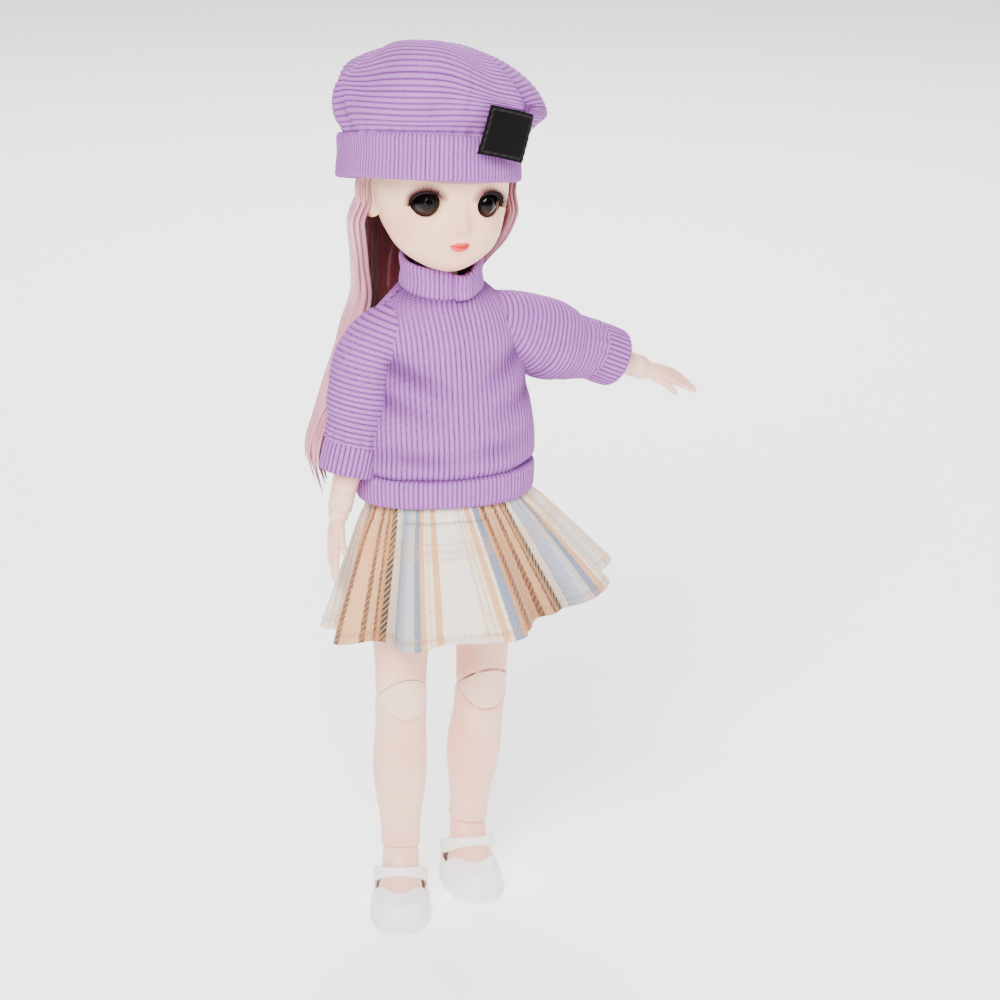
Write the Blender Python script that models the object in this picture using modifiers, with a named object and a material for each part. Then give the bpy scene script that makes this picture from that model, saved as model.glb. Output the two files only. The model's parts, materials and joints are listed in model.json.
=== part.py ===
"""Ball jointed doll of the 30 cm play scale, dressed and standing.

The doll faces -Y, its left side is +X, and its soles rest at z = 0. Each
moving piece hangs from an empty that stands on its joint.
"""

import math

import bmesh
import bpy
from mathutils import Matrix, Vector

RIGHT, LEFT = -1, 1
SIDES = {RIGHT: "right", LEFT: "left"}

# Clearance between pieces that touch or turn on each other
GAP = 0.0003
# How far a cutter reaches past a limb or shoe, and past the head
REACH = 0.03
FAR = 0.09
# Turn of a round cutter, so that none of its edges lies on an edge of the piece
CUTTER_SKEW = math.radians(7)

# Facets around a round piece
FINE, PLAIN, COARSE = 18, 12, 8

# Legs
HIP_SPACING = 0.0306
THIGH_LENGTH = 0.049
KNEE_PIN_SPACING = 0.010
SHIN_LENGTH = 0.0506
ANKLE_HEIGHT = 0.022
THIGH_WIDTH = 0.0236
THIGH_DEPTH = 0.0242
KNEE_WIDTH = 0.0176
KNEE_DEPTH = 0.018
CALF_WIDTH = 0.0186
CALF_DEPTH = 0.0194
ANKLE_WIDTH = 0.0136
HIP_BALL_RADIUS = 0.009
HIP_PEG_RADIUS = 0.0024
HIP_SWEEP_RADIUS = 0.0126
KNEE_DRUM_RADIUS = 0.0076
KNEE_DRUM_WIDTH = 0.0092
KNEE_KNUCKLE_RADIUS = 0.0042
KNEE_PIN_RADIUS = 0.0013
KNEE_PIN_LENGTH = 0.0144
LENS_HALF_HEIGHT = 0.0082
KNEE_BACK_ANGLE = math.radians(50)
KNEE_PIN_FLEX = math.radians(56)
ANKLE_BALL_RADIUS = 0.0062
ANKLE_LINE_RISE = 0.0025
ANKLE_PEG_RADIUS = 0.0014
ANKLE_PEG_LENGTH = 0.014
ANKLE_PIN_LENGTH = 0.0088
ANKLE_ROCK = math.radians(30)

# Stance, as in the photograph
LEG_SWAY = math.radians(2.3)
STRIDE_RIGHT = math.radians(5.5)
KNEE_BEND_LEFT = math.radians(10)
TOE_TURN = {RIGHT: math.radians(-20), LEFT: math.radians(-7.5)}
ARM_SWING = {RIGHT: math.radians(-2), LEFT: math.radians(25.4)}
ARM_RAISE = {RIGHT: math.radians(14), LEFT: math.radians(61.8)}
WRIST_DROP = {RIGHT: math.radians(4), LEFT: math.radians(14)}
HEAD_TILT = math.radians(4.5)
HEAD_TURN = math.radians(-4)

# Feet and shoes
SHOE_WIDTH = 0.0214
SHOE_LENGTH = 0.0372
SOLE_THICKNESS = 0.0028
SHOE_HEIGHT = 0.0114
FOOT_CENTRE_AHEAD = 0.0064
FOOT_WIDTH = 0.0164
FOOT_LENGTH = 0.0326
THROAT_FRONT = 0.0140
THROAT_BACK = 0.0052
THROAT_RISE = 0.0042
STRAP_HEIGHT = 0.0038
STRAP_THICKNESS = 0.0010
STRAP_DROP = 0.0050
STRAP_HALF_WIDTH = 0.0084
STRAP_REACH = 0.0130
STRAP_WRAP = math.radians(200)
STRAP_DIP_SHARE = 0.9

# Trunk
PELVIS_WIDTH = 0.041
PELVIS_DEPTH = 0.026
PELVIS_HEIGHT = 0.017
CROTCH_WIDTH = 0.0052
CROTCH_DEPTH = 0.018
CROTCH_DROP = 0.0120
WAIST_RISE = 0.0325
WAIST_BALL_RADIUS = 0.012
WAIST_RIM_RISE = 0.0035
CHEST_WIDTH = 0.035
CHEST_DEPTH = 0.0256
CHEST_HEIGHT = 0.0535
NECK_BASE_RISE = 0.0505
NECK_SETBACK = 0.002
NECK_BALL_RADIUS = 0.0072
NECK_WIDTH = 0.0144
NECK_LENGTH = 0.0235
NECK_RIM_DROP = 0.0023
SKULL_BALL_RADIUS = 0.0062
SKULL_PEG_RADIUS = 0.0022
SKULL_PEG_LENGTH = 0.012

# Arms
SHOULDER_SPACING = 0.046
SHOULDER_RISE = 0.043
SHOULDER_BALL_RADIUS = 0.0062
SHOULDER_CAP_RADIUS = 0.0078
SHOULDER_PEG_RADIUS = 0.0018
SHOULDER_PEG_LENGTH = 0.0135
UPPER_ARM_LENGTH = 0.031
UPPER_ARM_WIDTH = 0.0112
ELBOW_BALL_RADIUS = 0.005
ELBOW_RIM_RISE = 0.0042
ELBOW_PEG_RADIUS = 0.0016
ELBOW_PEG_LENGTH = 0.012
ELBOW_PIN_RADIUS = 0.0011
ELBOW_PIN_LENGTH = 0.0116
ELBOW_KNUCKLE_RADIUS = 0.0028
ELBOW_FRONT_ANGLE = math.radians(58)
ELBOW_BACK_ANGLE = math.radians(25)
FOREARM_LENGTH = 0.033
FOREARM_WIDTH = 0.0134
WRIST_WIDTH = 0.0082
WRIST_SLEEVE_LENGTH = 0.0084
WRIST_BALL_RADIUS = 0.0035
WRIST_RIM_RISE = 0.0013
WRIST_RIM_DROP = 0.0010
WRIST_PEG_RADIUS = 0.0012
WRIST_PEG_LENGTH = 0.007

# Hands
PALM_LENGTH = 0.0105
PALM_WIDTH = 0.0086
PALM_THICKNESS = 0.0046
PALM_ROUND_SHARE = 1.7
FINGER_LENGTH = 0.0122
FINGER_RADIUS = 0.00125
FINGER_PITCH = 0.0021
FINGER_ROOT_SHARE = 0.2
FINGER_FAN_SHARE = 0.16
FINGER_CURL_SHARE = 0.10
THUMB_LENGTH = 0.0098
THUMB_RADIUS = 0.0014
THUMB_SPREAD = math.radians(26)
THUMB_ROOT_OUT = 0.0005
THUMB_ROOT_AHEAD = 0.0027
THUMB_ROOT_DROP = 0.0040
THUMB_CURL_SHARE = 0.12

# Head
HEAD_WIDTH = 0.048
HEAD_DEPTH = 0.053
HEAD_HEIGHT = 0.0580
CHIN_DROP = 0.0080
HEAD_WALL = 0.0024
HEAD_FLOOR = 0.0100
THROAT_RADIUS = 0.0096
EYE_RADIUS = 0.0062
EYE_SPACING = 0.0214
EYE_RISE = 0.0150
EYE_AHEAD = 0.0158
EYE_OPENING_WIDTH = 0.0090
EYE_OPENING_HEIGHT = 0.0084
NOSE_RISE = 0.0076
NOSE_RADIUS = 0.0021
NOSE_SINK = 0.0007
NOSE_SHARES = (0.85, 1.1, 1.25)
LIP_RISE = 0.0012
LIP_WIDTH = 0.0066
LIP_HEIGHT = 0.0013
LIP_SINK = 0.0006
EAR_RISE = 0.0140
EAR_HEIGHT = 0.0150
EAR_DEPTH = 0.0080
EAR_THICKNESS = 0.0036
EAR_SINK = 0.0004
EAR_BEHIND = 0.0024
EAR_TURN = math.radians(24)
CAP_SLANT = math.radians(38)
CAP_SEAM_SHARE = 0.62

# Wig
WIG_THICKNESS = 0.0016
WIG_FRONT_BEHIND = 0.0090
WIG_LOWER_RISE = 0.0060
HAIR_THICKNESS = 0.0036
HAIR_LENGTH = 0.1085
HAIR_TOP_RISE = 0.0125
HAIR_TOP_SPREAD = math.radians(72)
HAIR_END_SPREAD = math.radians(104)
HAIR_HALF_WIDTH = 0.0385
HAIR_BACK_DEPTH = 0.0330
HAIR_CURL_DEPTH = 0.0108
HAIR_FALL_SPEED = 2.2
HAIR_SPREAD_SPEED = 1.5
HAIR_WAVE = 0.0008
HAIR_WAVES = 11
HAIR_END_RAGGED = 0.0030

# Beret
BERET_TILT = math.radians(5)
BERET_RECLINE = math.radians(-7)
BAND_HEIGHT = 0.0155
BAND_THICKNESS = 0.0028
BAND_EASE_SIDE = 0.0021
BAND_EASE_AHEAD = 0.0032
BAND_WIDTH = HEAD_WIDTH + 2 * (WIG_THICKNESS + GAP + BAND_EASE_SIDE + BAND_THICKNESS)
BAND_DEPTH = HEAD_DEPTH + 2 * (WIG_THICKNESS + GAP + BAND_EASE_AHEAD + BAND_THICKNESS)
BAND_RISE = 0.0190
BAND_BEHIND = 0.0025
CROWN_PUFF_SIDE = 0.0062
CROWN_PUFF_AHEAD = 0.0041
CROWN_WIDTH = BAND_WIDTH + 2 * CROWN_PUFF_SIDE
CROWN_DEPTH = BAND_DEPTH + 2 * CROWN_PUFF_AHEAD
CROWN_HEIGHT = 0.0262
CROWN_SLOUCH = 0.0035
CROWN_FOLDS = 9
CROWN_FOLD_DEPTH = 0.0012
CLOTH = 0.0016
LABEL_WIDTH = 0.0200
LABEL_HEIGHT = 0.0160
LABEL_THICKNESS = 0.0006
LABEL_TURN = math.radians(25)
LABEL_ROLL = math.radians(8)
LABEL_RISE_SHARE = 0.24

# Sweater
HEM_WIDTH = 0.0628
HEM_DEPTH = 0.0470
HEM_HEIGHT = 0.0098
HEM_BELOW_WAIST = 0.0152
SWEATER_HEIGHT = 0.0625
SHOULDER_SHARE = 0.62
SWEATER_BULGE = 0.0640
SWEATER_SHIFT = 0.0015
SWEATER_BULGE_DEPTH = 0.0480
COLLAR_WIDTH = 0.0276
COLLAR_DEPTH = 0.0264
COLLAR_HEIGHT = 0.0092
COLLAR_SLOPE = math.radians(10)
ARMHOLE_INSET = 0.0037
SLEEVE_RADIUS = 0.0116
SLEEVE_END = 0.0385
SLEEVE_PUFF = 0.0121
SLEEVE_TURN = 2.1
SLEEVE_PIVOT_POWER = 1.7
SLEEVE_GATHER_SHARE = 0.86
CUFF_RADIUS = 0.0102
CUFF_LENGTH = 0.0105

# Skirt
WAISTBAND_HEIGHT = 0.006
WAISTBAND_EASE_SIDE = 0.0010
WAISTBAND_EASE_AHEAD = 0.0026
WAISTBAND_WIDTH = PELVIS_WIDTH + 2 * WAISTBAND_EASE_SIDE
WAISTBAND_DEPTH = PELVIS_DEPTH + 2 * WAISTBAND_EASE_AHEAD
WAISTBAND_RISE = 0.0262
SKIRT_EASE_SIDE = 0.0020
SKIRT_EASE_AHEAD = 0.0024
SKIRT_TOP_WIDTH = WAISTBAND_WIDTH + 2 * SKIRT_EASE_SIDE
SKIRT_TOP_DEPTH = WAISTBAND_DEPTH + 2 * SKIRT_EASE_AHEAD
SKIRT_TOP_RISE = 0.0225
SKIRT_HEM_WIDTH = 0.0980
SKIRT_HEM_DEPTH = 0.0760
SKIRT_LENGTH = 0.0560
SKIRT_LIFT = 0.0120
SKIRT_LIFT_POWER = 3
SKIRT_SHIFT = 0.0090
SKIRT_FOLDS = 9
SKIRT_FOLD_DEPTH = 0.0030
SKIRT_FOLD_DRIFT = 0.8
SKIRT_FOLD_PHASE = 0.5
SKIRT_CLOTH = 0.0011
SKIRT_FLARE_POWER = 0.9

COLOURS = {
    "skin": ((0.83, 0.70, 0.64, 1.0), 0.42, 0.0),
    "joint": ((0.80, 0.66, 0.60, 1.0), 0.38, 0.0),
    "eye": ((0.03, 0.02, 0.022, 1.0), 0.08, 0.0),
    "knit": ((0.47, 0.29, 0.60, 1.0), 0.9, 0.0),
    "plaid": ((0.75, 0.62, 0.47, 1.0), 0.85, 0.0),
    "hair": ((0.68, 0.42, 0.46, 1.0), 0.55, 0.0),
    "shoe": ((0.86, 0.85, 0.81, 1.0), 0.35, 0.0),
    "label": ((0.02, 0.018, 0.02, 1.0), 0.8, 0.0),
}

places = {}
pieces = bpy.data.collections.new("ball_jointed_doll")
cutters = bpy.data.collections.new("doll_cutters")


def empty_scene():
    """Remove what is there and link the doll's two collections."""
    for thing in list(bpy.data.objects):
        bpy.data.objects.remove(thing, do_unlink=True)
    bpy.context.scene.collection.children.link(pieces)
    bpy.context.scene.collection.children.link(cutters)


def turn(axis, angle):
    """Rotation matrix about a local axis."""
    return Matrix.Rotation(angle, 4, axis)


def shift(x, y, z):
    """Translation matrix."""
    return Matrix.Translation(Vector((x, y, z)))


def place(name, parent, local):
    """Stand an empty on a joint, given in its parent's frame."""
    empty = bpy.data.objects.new(name, None)
    empty.empty_display_size = GAP
    pieces.objects.link(empty)
    if parent:
        empty.parent = bpy.data.objects[parent]
        places[name] = places[parent] @ local
    else:
        places[name] = local
    empty.location = local.to_translation()
    empty.rotation_euler = local.to_euler()
    return name


def finish(name, role):
    """Material of one piece."""
    colour, roughness, metallic = COLOURS[role]
    material = bpy.data.materials.new(name + "_material")
    material.use_nodes = True
    shader = material.node_tree.nodes["Principled BSDF"]
    shader.inputs["Base Color"].default_value = colour
    shader.inputs["Roughness"].default_value = roughness
    shader.inputs["Metallic"].default_value = metallic
    material.diffuse_color = colour
    return material


def make(name, shape, parent, role=None, local=None, smooth=True):
    """Object from a bmesh: a piece where it has a role, else a cutter."""
    bmesh.ops.recalc_face_normals(shape, faces=shape.faces)
    mesh = bpy.data.meshes.new(name)
    shape.to_mesh(mesh)
    shape.free()
    thing = bpy.data.objects.new(name, mesh)
    if role:
        pieces.objects.link(thing)
        mesh.materials.append(finish(name, role))
        mesh.polygons.foreach_set("use_smooth", [smooth] * len(mesh.polygons))
    else:
        cutters.objects.link(thing)
        thing.hide_render = True
        thing.display_type = "WIRE"
    thing.parent = bpy.data.objects[parent]
    if local:
        thing.location = local.to_translation()
        thing.rotation_euler = local.to_euler()
    return thing


def combine(piece, tool, operation):
    """Exact Boolean of a piece with a cutter."""
    step = piece.modifiers.new(tool.name, "BOOLEAN")
    step.operation = operation
    step.solver = "EXACT"
    step.object = tool
    return piece


def cut(piece, *tools):
    """Take each tool's volume from the piece."""
    for tool in tools:
        combine(piece, tool, "DIFFERENCE")


def add(piece, *tools):
    """Join each tool's volume to the piece."""
    for tool in tools:
        combine(piece, tool, "UNION")


def keep(piece, tool):
    """Keep only what lies inside the tool."""
    combine(piece, tool, "INTERSECT")


def closed_rings(rings, ends=True):
    """Bmesh with quads between equal rings, closed by flat ends or onto itself."""
    shape = bmesh.new()
    rows = [[shape.verts.new(point) for point in ring] for ring in rings]
    count = len(rows[0])
    pairs = list(zip(rows, rows[1:]))
    if not ends:
        pairs.append((rows[-1], rows[0]))
    for lower, upper in pairs:
        for i in range(count):
            j = (i + 1) % count
            shape.faces.new((lower[i], lower[j], upper[j], upper[i]))
    if ends:
        shape.faces.new(rows[0])
        shape.faces.new(rows[-1])
    return shape


def oval(half_x, half_y, centre, count, slope=0.0, roundness=2.0):
    """Ring of a superellipse around centre; slope raises it along Y."""
    points = []
    for i in range(count):
        angle = math.tau * i / count
        c, s = math.cos(angle), math.sin(angle)
        x = half_x * math.copysign(abs(c) ** (2 / roundness), c)
        y = half_y * math.copysign(abs(s) ** (2 / roundness), s)
        points.append(Vector((centre[0] + x, centre[1] + y, centre[2] + slope * y)))
    return points


def loft_rings(table, length, width, depth, count=PLAIN + 2, grow=0.0, roundness=2.0):
    """Rings down local Z from rows of shares.

    Each row holds the share of the length, of the width, of the depth, and
    the share of the depth by which the ring stands back.
    """
    rings = []
    for along, width_share, depth_share, back_share in table:
        centre = (0, back_share * depth / 2, -along * length)
        half_x = width_share * width / 2 + grow
        half_y = depth_share * depth / 2 + grow
        rings.append(oval(half_x, half_y, centre, count, roundness=roundness))
    return rings


def loft(name, parent, role, table, length, width, depth, local=None, **options):
    """Closed loft of a table of shares."""
    shape = closed_rings(loft_rings(table, length, width, depth, **options))
    return make(name, shape, parent, role, local)


def around(radius, facets):
    """Radius whose facets, not corners, lie on a round hole's radius."""
    return radius / math.cos(math.pi / facets)


def ball(name, parent, radius, role=None, local=None, scale=(1, 1, 1), detail=PLAIN, hole=False):
    """Ball or ellipsoid; a hole's facets stay outside its radius."""
    shape = bmesh.new()
    if hole:
        radius = around(around(radius, detail), detail + 4)
    bmesh.ops.create_uvsphere(shape, u_segments=detail, v_segments=detail // 2 + 2, radius=radius)
    if not role:
        askew = turn("Z", CUTTER_SKEW) @ turn("X", CUTTER_SKEW)
        bmesh.ops.rotate(shape, matrix=askew.to_3x3(), verts=shape.verts)
    bmesh.ops.scale(shape, vec=scale, verts=shape.verts)
    return make(name, shape, parent, role, local)


def rod(name, parent, radius, start, end, role=None, detail=COARSE, axis="Z", hole=False):
    """Cylinder along a local axis between two places on it."""
    shape = bmesh.new()
    if hole:
        radius = around(radius, detail)
    bmesh.ops.create_cone(
        shape, cap_ends=True, segments=detail, radius1=radius, radius2=radius, depth=abs(end - start)
    )
    bmesh.ops.translate(shape, vec=(0, 0, (start + end) / 2), verts=shape.verts)
    if axis == "X":
        bmesh.ops.rotate(shape, matrix=turn("Y", math.pi / 2).to_3x3(), verts=shape.verts)
    if axis == "Y":
        bmesh.ops.rotate(shape, matrix=turn("X", -math.pi / 2).to_3x3(), verts=shape.verts)
    return make(name, shape, parent, role)


def block(name, parent, low, high, local=None):
    """Box cutter between two corners."""
    shape = bmesh.new()
    bmesh.ops.create_cube(shape, size=1)
    size = Vector(high) - Vector(low)
    bmesh.ops.scale(shape, vec=size, verts=shape.verts)
    bmesh.ops.translate(shape, vec=(Vector(high) + Vector(low)) / 2, verts=shape.verts)
    return make(name, shape, parent, None, local)


def prism(name, parent, outline, half_width, local=None):
    """Prism cutter across X from an outline of (y, z) points."""
    rings = [[Vector((x, y, z)) for y, z in outline] for x in (-half_width, half_width)]
    return make(name, closed_rings(rings), parent, None, local)


def wedge(name, parent, rise, front_angle, back_angle, up):
    """Prism above (up 1) or below (up -1) two planes that meet on an X line."""
    front = REACH * math.tan(front_angle)
    back = REACH * math.tan(back_angle)
    top = max(front, back) + REACH
    outline = [
        (0, rise + up * GAP / 2),
        (-REACH, rise + up * (GAP / 2 + front)),
        (-REACH, rise + up * top),
        (REACH, rise + up * top),
        (REACH, rise + up * (GAP / 2 + back)),
    ]
    return prism(name, parent, outline, REACH)


def lens_angle():
    """Slope of the cut that draws the knee's lens line."""
    return math.atan2(LENS_HALF_HEIGHT, KNEE_DEPTH / 2)


# Legs

THIGH_SHARES = (
    (0.010, 0.97, 0.98, 0.0),
    (0.14, 1.00, 1.00, 0.0),
    (0.37, 0.955, 0.97, 0.0),
    (0.57, 0.89, 0.90, 0.0),
    (0.77, 0.80, 0.81, 0.0),
    (0.90, 0.755, 0.76, 0.0),
    (1.00, 0.745, 0.744, 0.0),
    (1.16, 0.745, 0.744, 0.0),
)
SHIN_SHARES = (
    (0.00, 0.945, 0.925, 0.0),
    (0.13, 0.935, 0.925, 0.01),
    (0.24, 0.965, 0.96, 0.06),
    (0.37, 1.00, 1.00, 0.10),
    (0.50, 0.985, 0.98, 0.11),
    (0.64, 0.90, 0.89, 0.09),
    (0.78, 0.79, 0.77, 0.05),
    (0.90, 0.725, 0.70, 0.01),
    (1.00, 0.731, 0.701, 0.0),
)


def leg_reach(bend):
    """How far down and back the ankle lies from the hip of an upright bent leg."""
    down = THIGH_LENGTH + KNEE_PIN_SPACING * math.cos(bend / 2) + SHIN_LENGTH * math.cos(bend)
    back = KNEE_PIN_SPACING * math.sin(bend / 2) + SHIN_LENGTH * math.sin(bend)
    return down * math.cos(LEG_SWAY), back


def stance():
    """Height of the hips, and the swing of each leg that puts both soles level."""
    down, _ = leg_reach(0)
    drop = down * math.cos(STRIDE_RIGHT)
    down, back = leg_reach(KNEE_BEND_LEFT)
    swing_left = math.acos(drop / math.hypot(down, back)) - math.atan2(back, down)
    return ANKLE_HEIGHT + drop, {RIGHT: -STRIDE_RIGHT, LEFT: swing_left}


def leg(side, swing, bend):
    """Hip ball, thigh, knee, shin, ankle peg, foot and shoe of one side."""
    tag = SIDES[side]
    hip = place(f"hip_swing_{tag}", "pelvis_frame", shift(side * HIP_SPACING / 2, 0, 0) @ turn("X", swing))
    spread = place(f"hip_spread_{tag}", hip, turn("Y", LEG_SWAY))
    hip_ball = ball(f"hip_ball_{tag}", hip, HIP_BALL_RADIUS, "joint")
    peg_end = HIP_SPACING / 2 - GAP
    peg = rod(f"hip_peg_{tag}", hip, HIP_PEG_RADIUS, 0, -side * peg_end, axis="X")
    add(hip_ball, peg)

    thigh = loft(
        f"thigh_{tag}", spread, "skin", THIGH_SHARES, THIGH_LENGTH, THIGH_WIDTH, THIGH_DEPTH, count=FINE
    )
    knee_line = -THIGH_LENGTH - KNEE_PIN_SPACING / 2
    frame = place(f"knee_upper_{tag}", spread, shift(0, 0, -THIGH_LENGTH) @ turn("X", bend / 2))
    seat = ball(f"thigh_socket_{tag}", spread, HIP_BALL_RADIUS + GAP, detail=PLAIN, hole=True)
    drum_line = -THIGH_LENGTH
    end = wedge(f"thigh_end_{tag}", spread, knee_line, lens_angle(), KNEE_BACK_ANGLE, 1)
    knuckle = across(KNEE_KNUCKLE_RADIUS, THIGH_WIDTH, PLAIN)
    add(end, make(f"thigh_knuckle_{tag}", knuckle, spread, local=shift(0, 0, drum_line)))
    blunt = block(
        f"thigh_blunt_{tag}",
        spread,
        (-REACH, -REACH, drum_line - REACH),
        (REACH, REACH, drum_line - KNEE_KNUCKLE_RADIUS),
    )
    cut(end, blunt)
    keep(thigh, end)
    slot = knee_slot(f"thigh_slot_{tag}", spread, drum_line, 1)
    hole = make(
        f"thigh_pin_hole_{tag}",
        across(around(KNEE_PIN_RADIUS + GAP, COARSE), KNEE_PIN_LENGTH / 2 + GAP, COARSE),
        spread,
        local=shift(0, 0, drum_line),
    )
    notch = rod(
        f"thigh_notch_{tag}", spread, HIP_PEG_RADIUS + 4 * GAP, 0, -side * THIGH_WIDTH, axis="X", hole=True
    )
    cut(thigh, seat, notch, slot, hole)

    knee(tag, frame)
    lower = place(
        f"knee_lower_{tag}", frame, shift(0, 0, -KNEE_PIN_SPACING) @ turn("X", bend / 2)
    )
    shin(tag, lower)

    turn_frame = place(f"ankle_turn_{tag}", lower, shift(0, 0, -SHIN_LENGTH) @ turn("Z", TOE_TURN[side]))
    ankle = places[turn_frame]
    flat = shift(*ankle.to_translation()) @ turn("Z", TOE_TURN[side])
    flex = place(f"ankle_flex_{tag}", turn_frame, ankle.inverted() @ flat)
    foot(tag, turn_frame, flex)


def knee_slot(name, parent, level, up):
    """Room for the drum from straight to fully bent, over (up 1) or under (up -1) a pin."""
    radius = around(KNEE_DRUM_RADIUS + GAP, PLAIN)
    turns = [KNEE_PIN_FLEX + (math.pi - KNEE_PIN_FLEX) * i / COARSE for i in range(COARSE + 1)]
    outline = [(radius * math.cos(a), radius * math.sin(a)) for a in turns]
    y, z = outline[0]
    outline.append((-radius, -REACH))
    outline.append((y + REACH * math.sin(KNEE_PIN_FLEX), z - REACH * math.cos(KNEE_PIN_FLEX)))
    outline = [(y, level + up * z) for y, z in outline]
    return prism(name, parent, outline, KNEE_DRUM_WIDTH / 2 + GAP)


def half_round(radius, level, up, count=PLAIN // 2):
    """Outline of (y, z) points over a level (up 1) or under it (up -1)."""
    angles = [math.pi * i / count for i in range(count + 1)]
    return [(radius * math.cos(a), level + up * radius * math.sin(a)) for a in angles]


def across(radius, half_width, detail):
    """Cylinder bmesh along X."""
    shape = bmesh.new()
    bmesh.ops.create_cone(
        shape, cap_ends=True, segments=detail, radius1=radius, radius2=radius, depth=2 * half_width
    )
    lie = turn("X", CUTTER_SKEW) @ turn("Y", math.pi / 2)
    bmesh.ops.rotate(shape, matrix=lie.to_3x3(), verts=shape.verts)
    return shape


def knee(tag, frame):
    """Double pinned knee: a drum on two pins, faced by the lens."""
    middle = -KNEE_PIN_SPACING / 2
    rows = (1.0, 0.5, 0.0, -0.5, -1.0)
    rings = []
    for share in rows:
        centre = (0, 0, middle + share * (LENS_HALF_HEIGHT + GAP))
        rings.append(oval(KNEE_WIDTH / 2, KNEE_DEPTH / 2, centre, FINE))
    piece = make(f"knee_{tag}", closed_rings(rings), frame, "joint")
    front = prism(
        f"knee_lens_{tag}",
        frame,
        [
            (-GAP, middle),
            (-REACH, middle + REACH * math.tan(lens_angle())),
            (-REACH, middle - REACH * math.tan(lens_angle())),
        ],
        REACH,
    )
    keep(piece, front)
    for level, name in ((0, "upper"), (-KNEE_PIN_SPACING, "lower")):
        room = make(
            f"knee_room_{name}_{tag}",
            across(around(KNEE_KNUCKLE_RADIUS + GAP, PLAIN), KNEE_WIDTH, PLAIN),
            frame,
            local=shift(0, 0, level),
        )
        cut(piece, room)
    drum = prism(
        f"knee_drum_{tag}",
        frame,
        half_round(KNEE_DRUM_RADIUS, 0, 1)
        + list(reversed(half_round(KNEE_DRUM_RADIUS, -KNEE_PIN_SPACING, -1))),
        KNEE_DRUM_WIDTH / 2,
    )
    add(piece, drum)
    for level, name in ((0, "upper"), (-KNEE_PIN_SPACING, "lower")):
        pin = make(
            f"knee_pin_{name}_{tag}",
            across(KNEE_PIN_RADIUS, KNEE_PIN_LENGTH / 2, COARSE),
            frame,
            local=shift(0, 0, level),
        )
        add(piece, pin)


def shin(tag, frame):
    """Lower leg with its fork for the knee and its cup for the foot."""
    tip = SHIN_LENGTH - ANKLE_LINE_RISE
    head = KNEE_PIN_SPACING / 2 + GAP
    piece = make(f"shin_{tag}", shin_shape(tip, head), frame, "skin")
    end = wedge(f"shin_end_{tag}", frame, KNEE_PIN_SPACING / 2, lens_angle(), KNEE_BACK_ANGLE, -1)
    add(end, make(f"shin_knuckle_{tag}", across(KNEE_KNUCKLE_RADIUS, THIGH_WIDTH, PLAIN), frame))
    cut(
        end,
        block(f"shin_blunt_{tag}", frame, (-REACH, -REACH, KNEE_KNUCKLE_RADIUS), (REACH, REACH, REACH)),
    )
    keep(piece, end)
    slot = knee_slot(f"shin_slot_{tag}", frame, 0, -1)
    pin_hole = across(around(KNEE_PIN_RADIUS + GAP, COARSE), KNEE_PIN_LENGTH / 2 + GAP, COARSE)
    hole = make(f"shin_pin_hole_{tag}", pin_hole, frame)
    ankle = shift(0, 0, -SHIN_LENGTH)
    cup = ball(f"shin_cup_{tag}", frame, ANKLE_BALL_RADIUS + GAP, local=ankle, detail=PLAIN, hole=True)
    bore = rod(
        f"shin_bore_{tag}",
        frame,
        ANKLE_PEG_RADIUS + GAP,
        -SHIN_LENGTH,
        -SHIN_LENGTH + ANKLE_PEG_LENGTH + GAP,
        hole=True,
    )
    cut(piece, slot, hole, cup, bore)


def shin_shape(tip, head):
    """Loft of the lower leg from just above its pin to the ankle line."""
    table = ((-head / tip, 0.945, 0.925, 0.0),) + SHIN_SHARES[1:]
    return closed_rings(loft_rings(table, tip, CALF_WIDTH, CALF_DEPTH, count=FINE))


FOOT_SHARES = (
    (0.00, 0.74, 0.37, 0.39),
    (0.13, 0.77, 0.42, 0.35),
    (0.30, 0.78, 0.50, 0.28),
    (0.47, 0.84, 0.66, 0.16),
    (0.63, 0.90, 0.82, 0.07),
    (0.80, 0.97, 0.95, 0.02),
    (1.00, 0.98, 0.97, 0.0),
)
SHOE_SHARES = (
    (0.00, 0.80, 0.70, 0.10),
    (0.22, 0.90, 0.84, 0.05),
    (0.50, 0.965, 0.94, 0.01),
    (1.00, 0.985, 0.985, 0.0),
)
SOLE_SHARES = ((0.0, 1.0, 1.0, 0.0), (1.0, 0.98, 0.985, 0.0))


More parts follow.
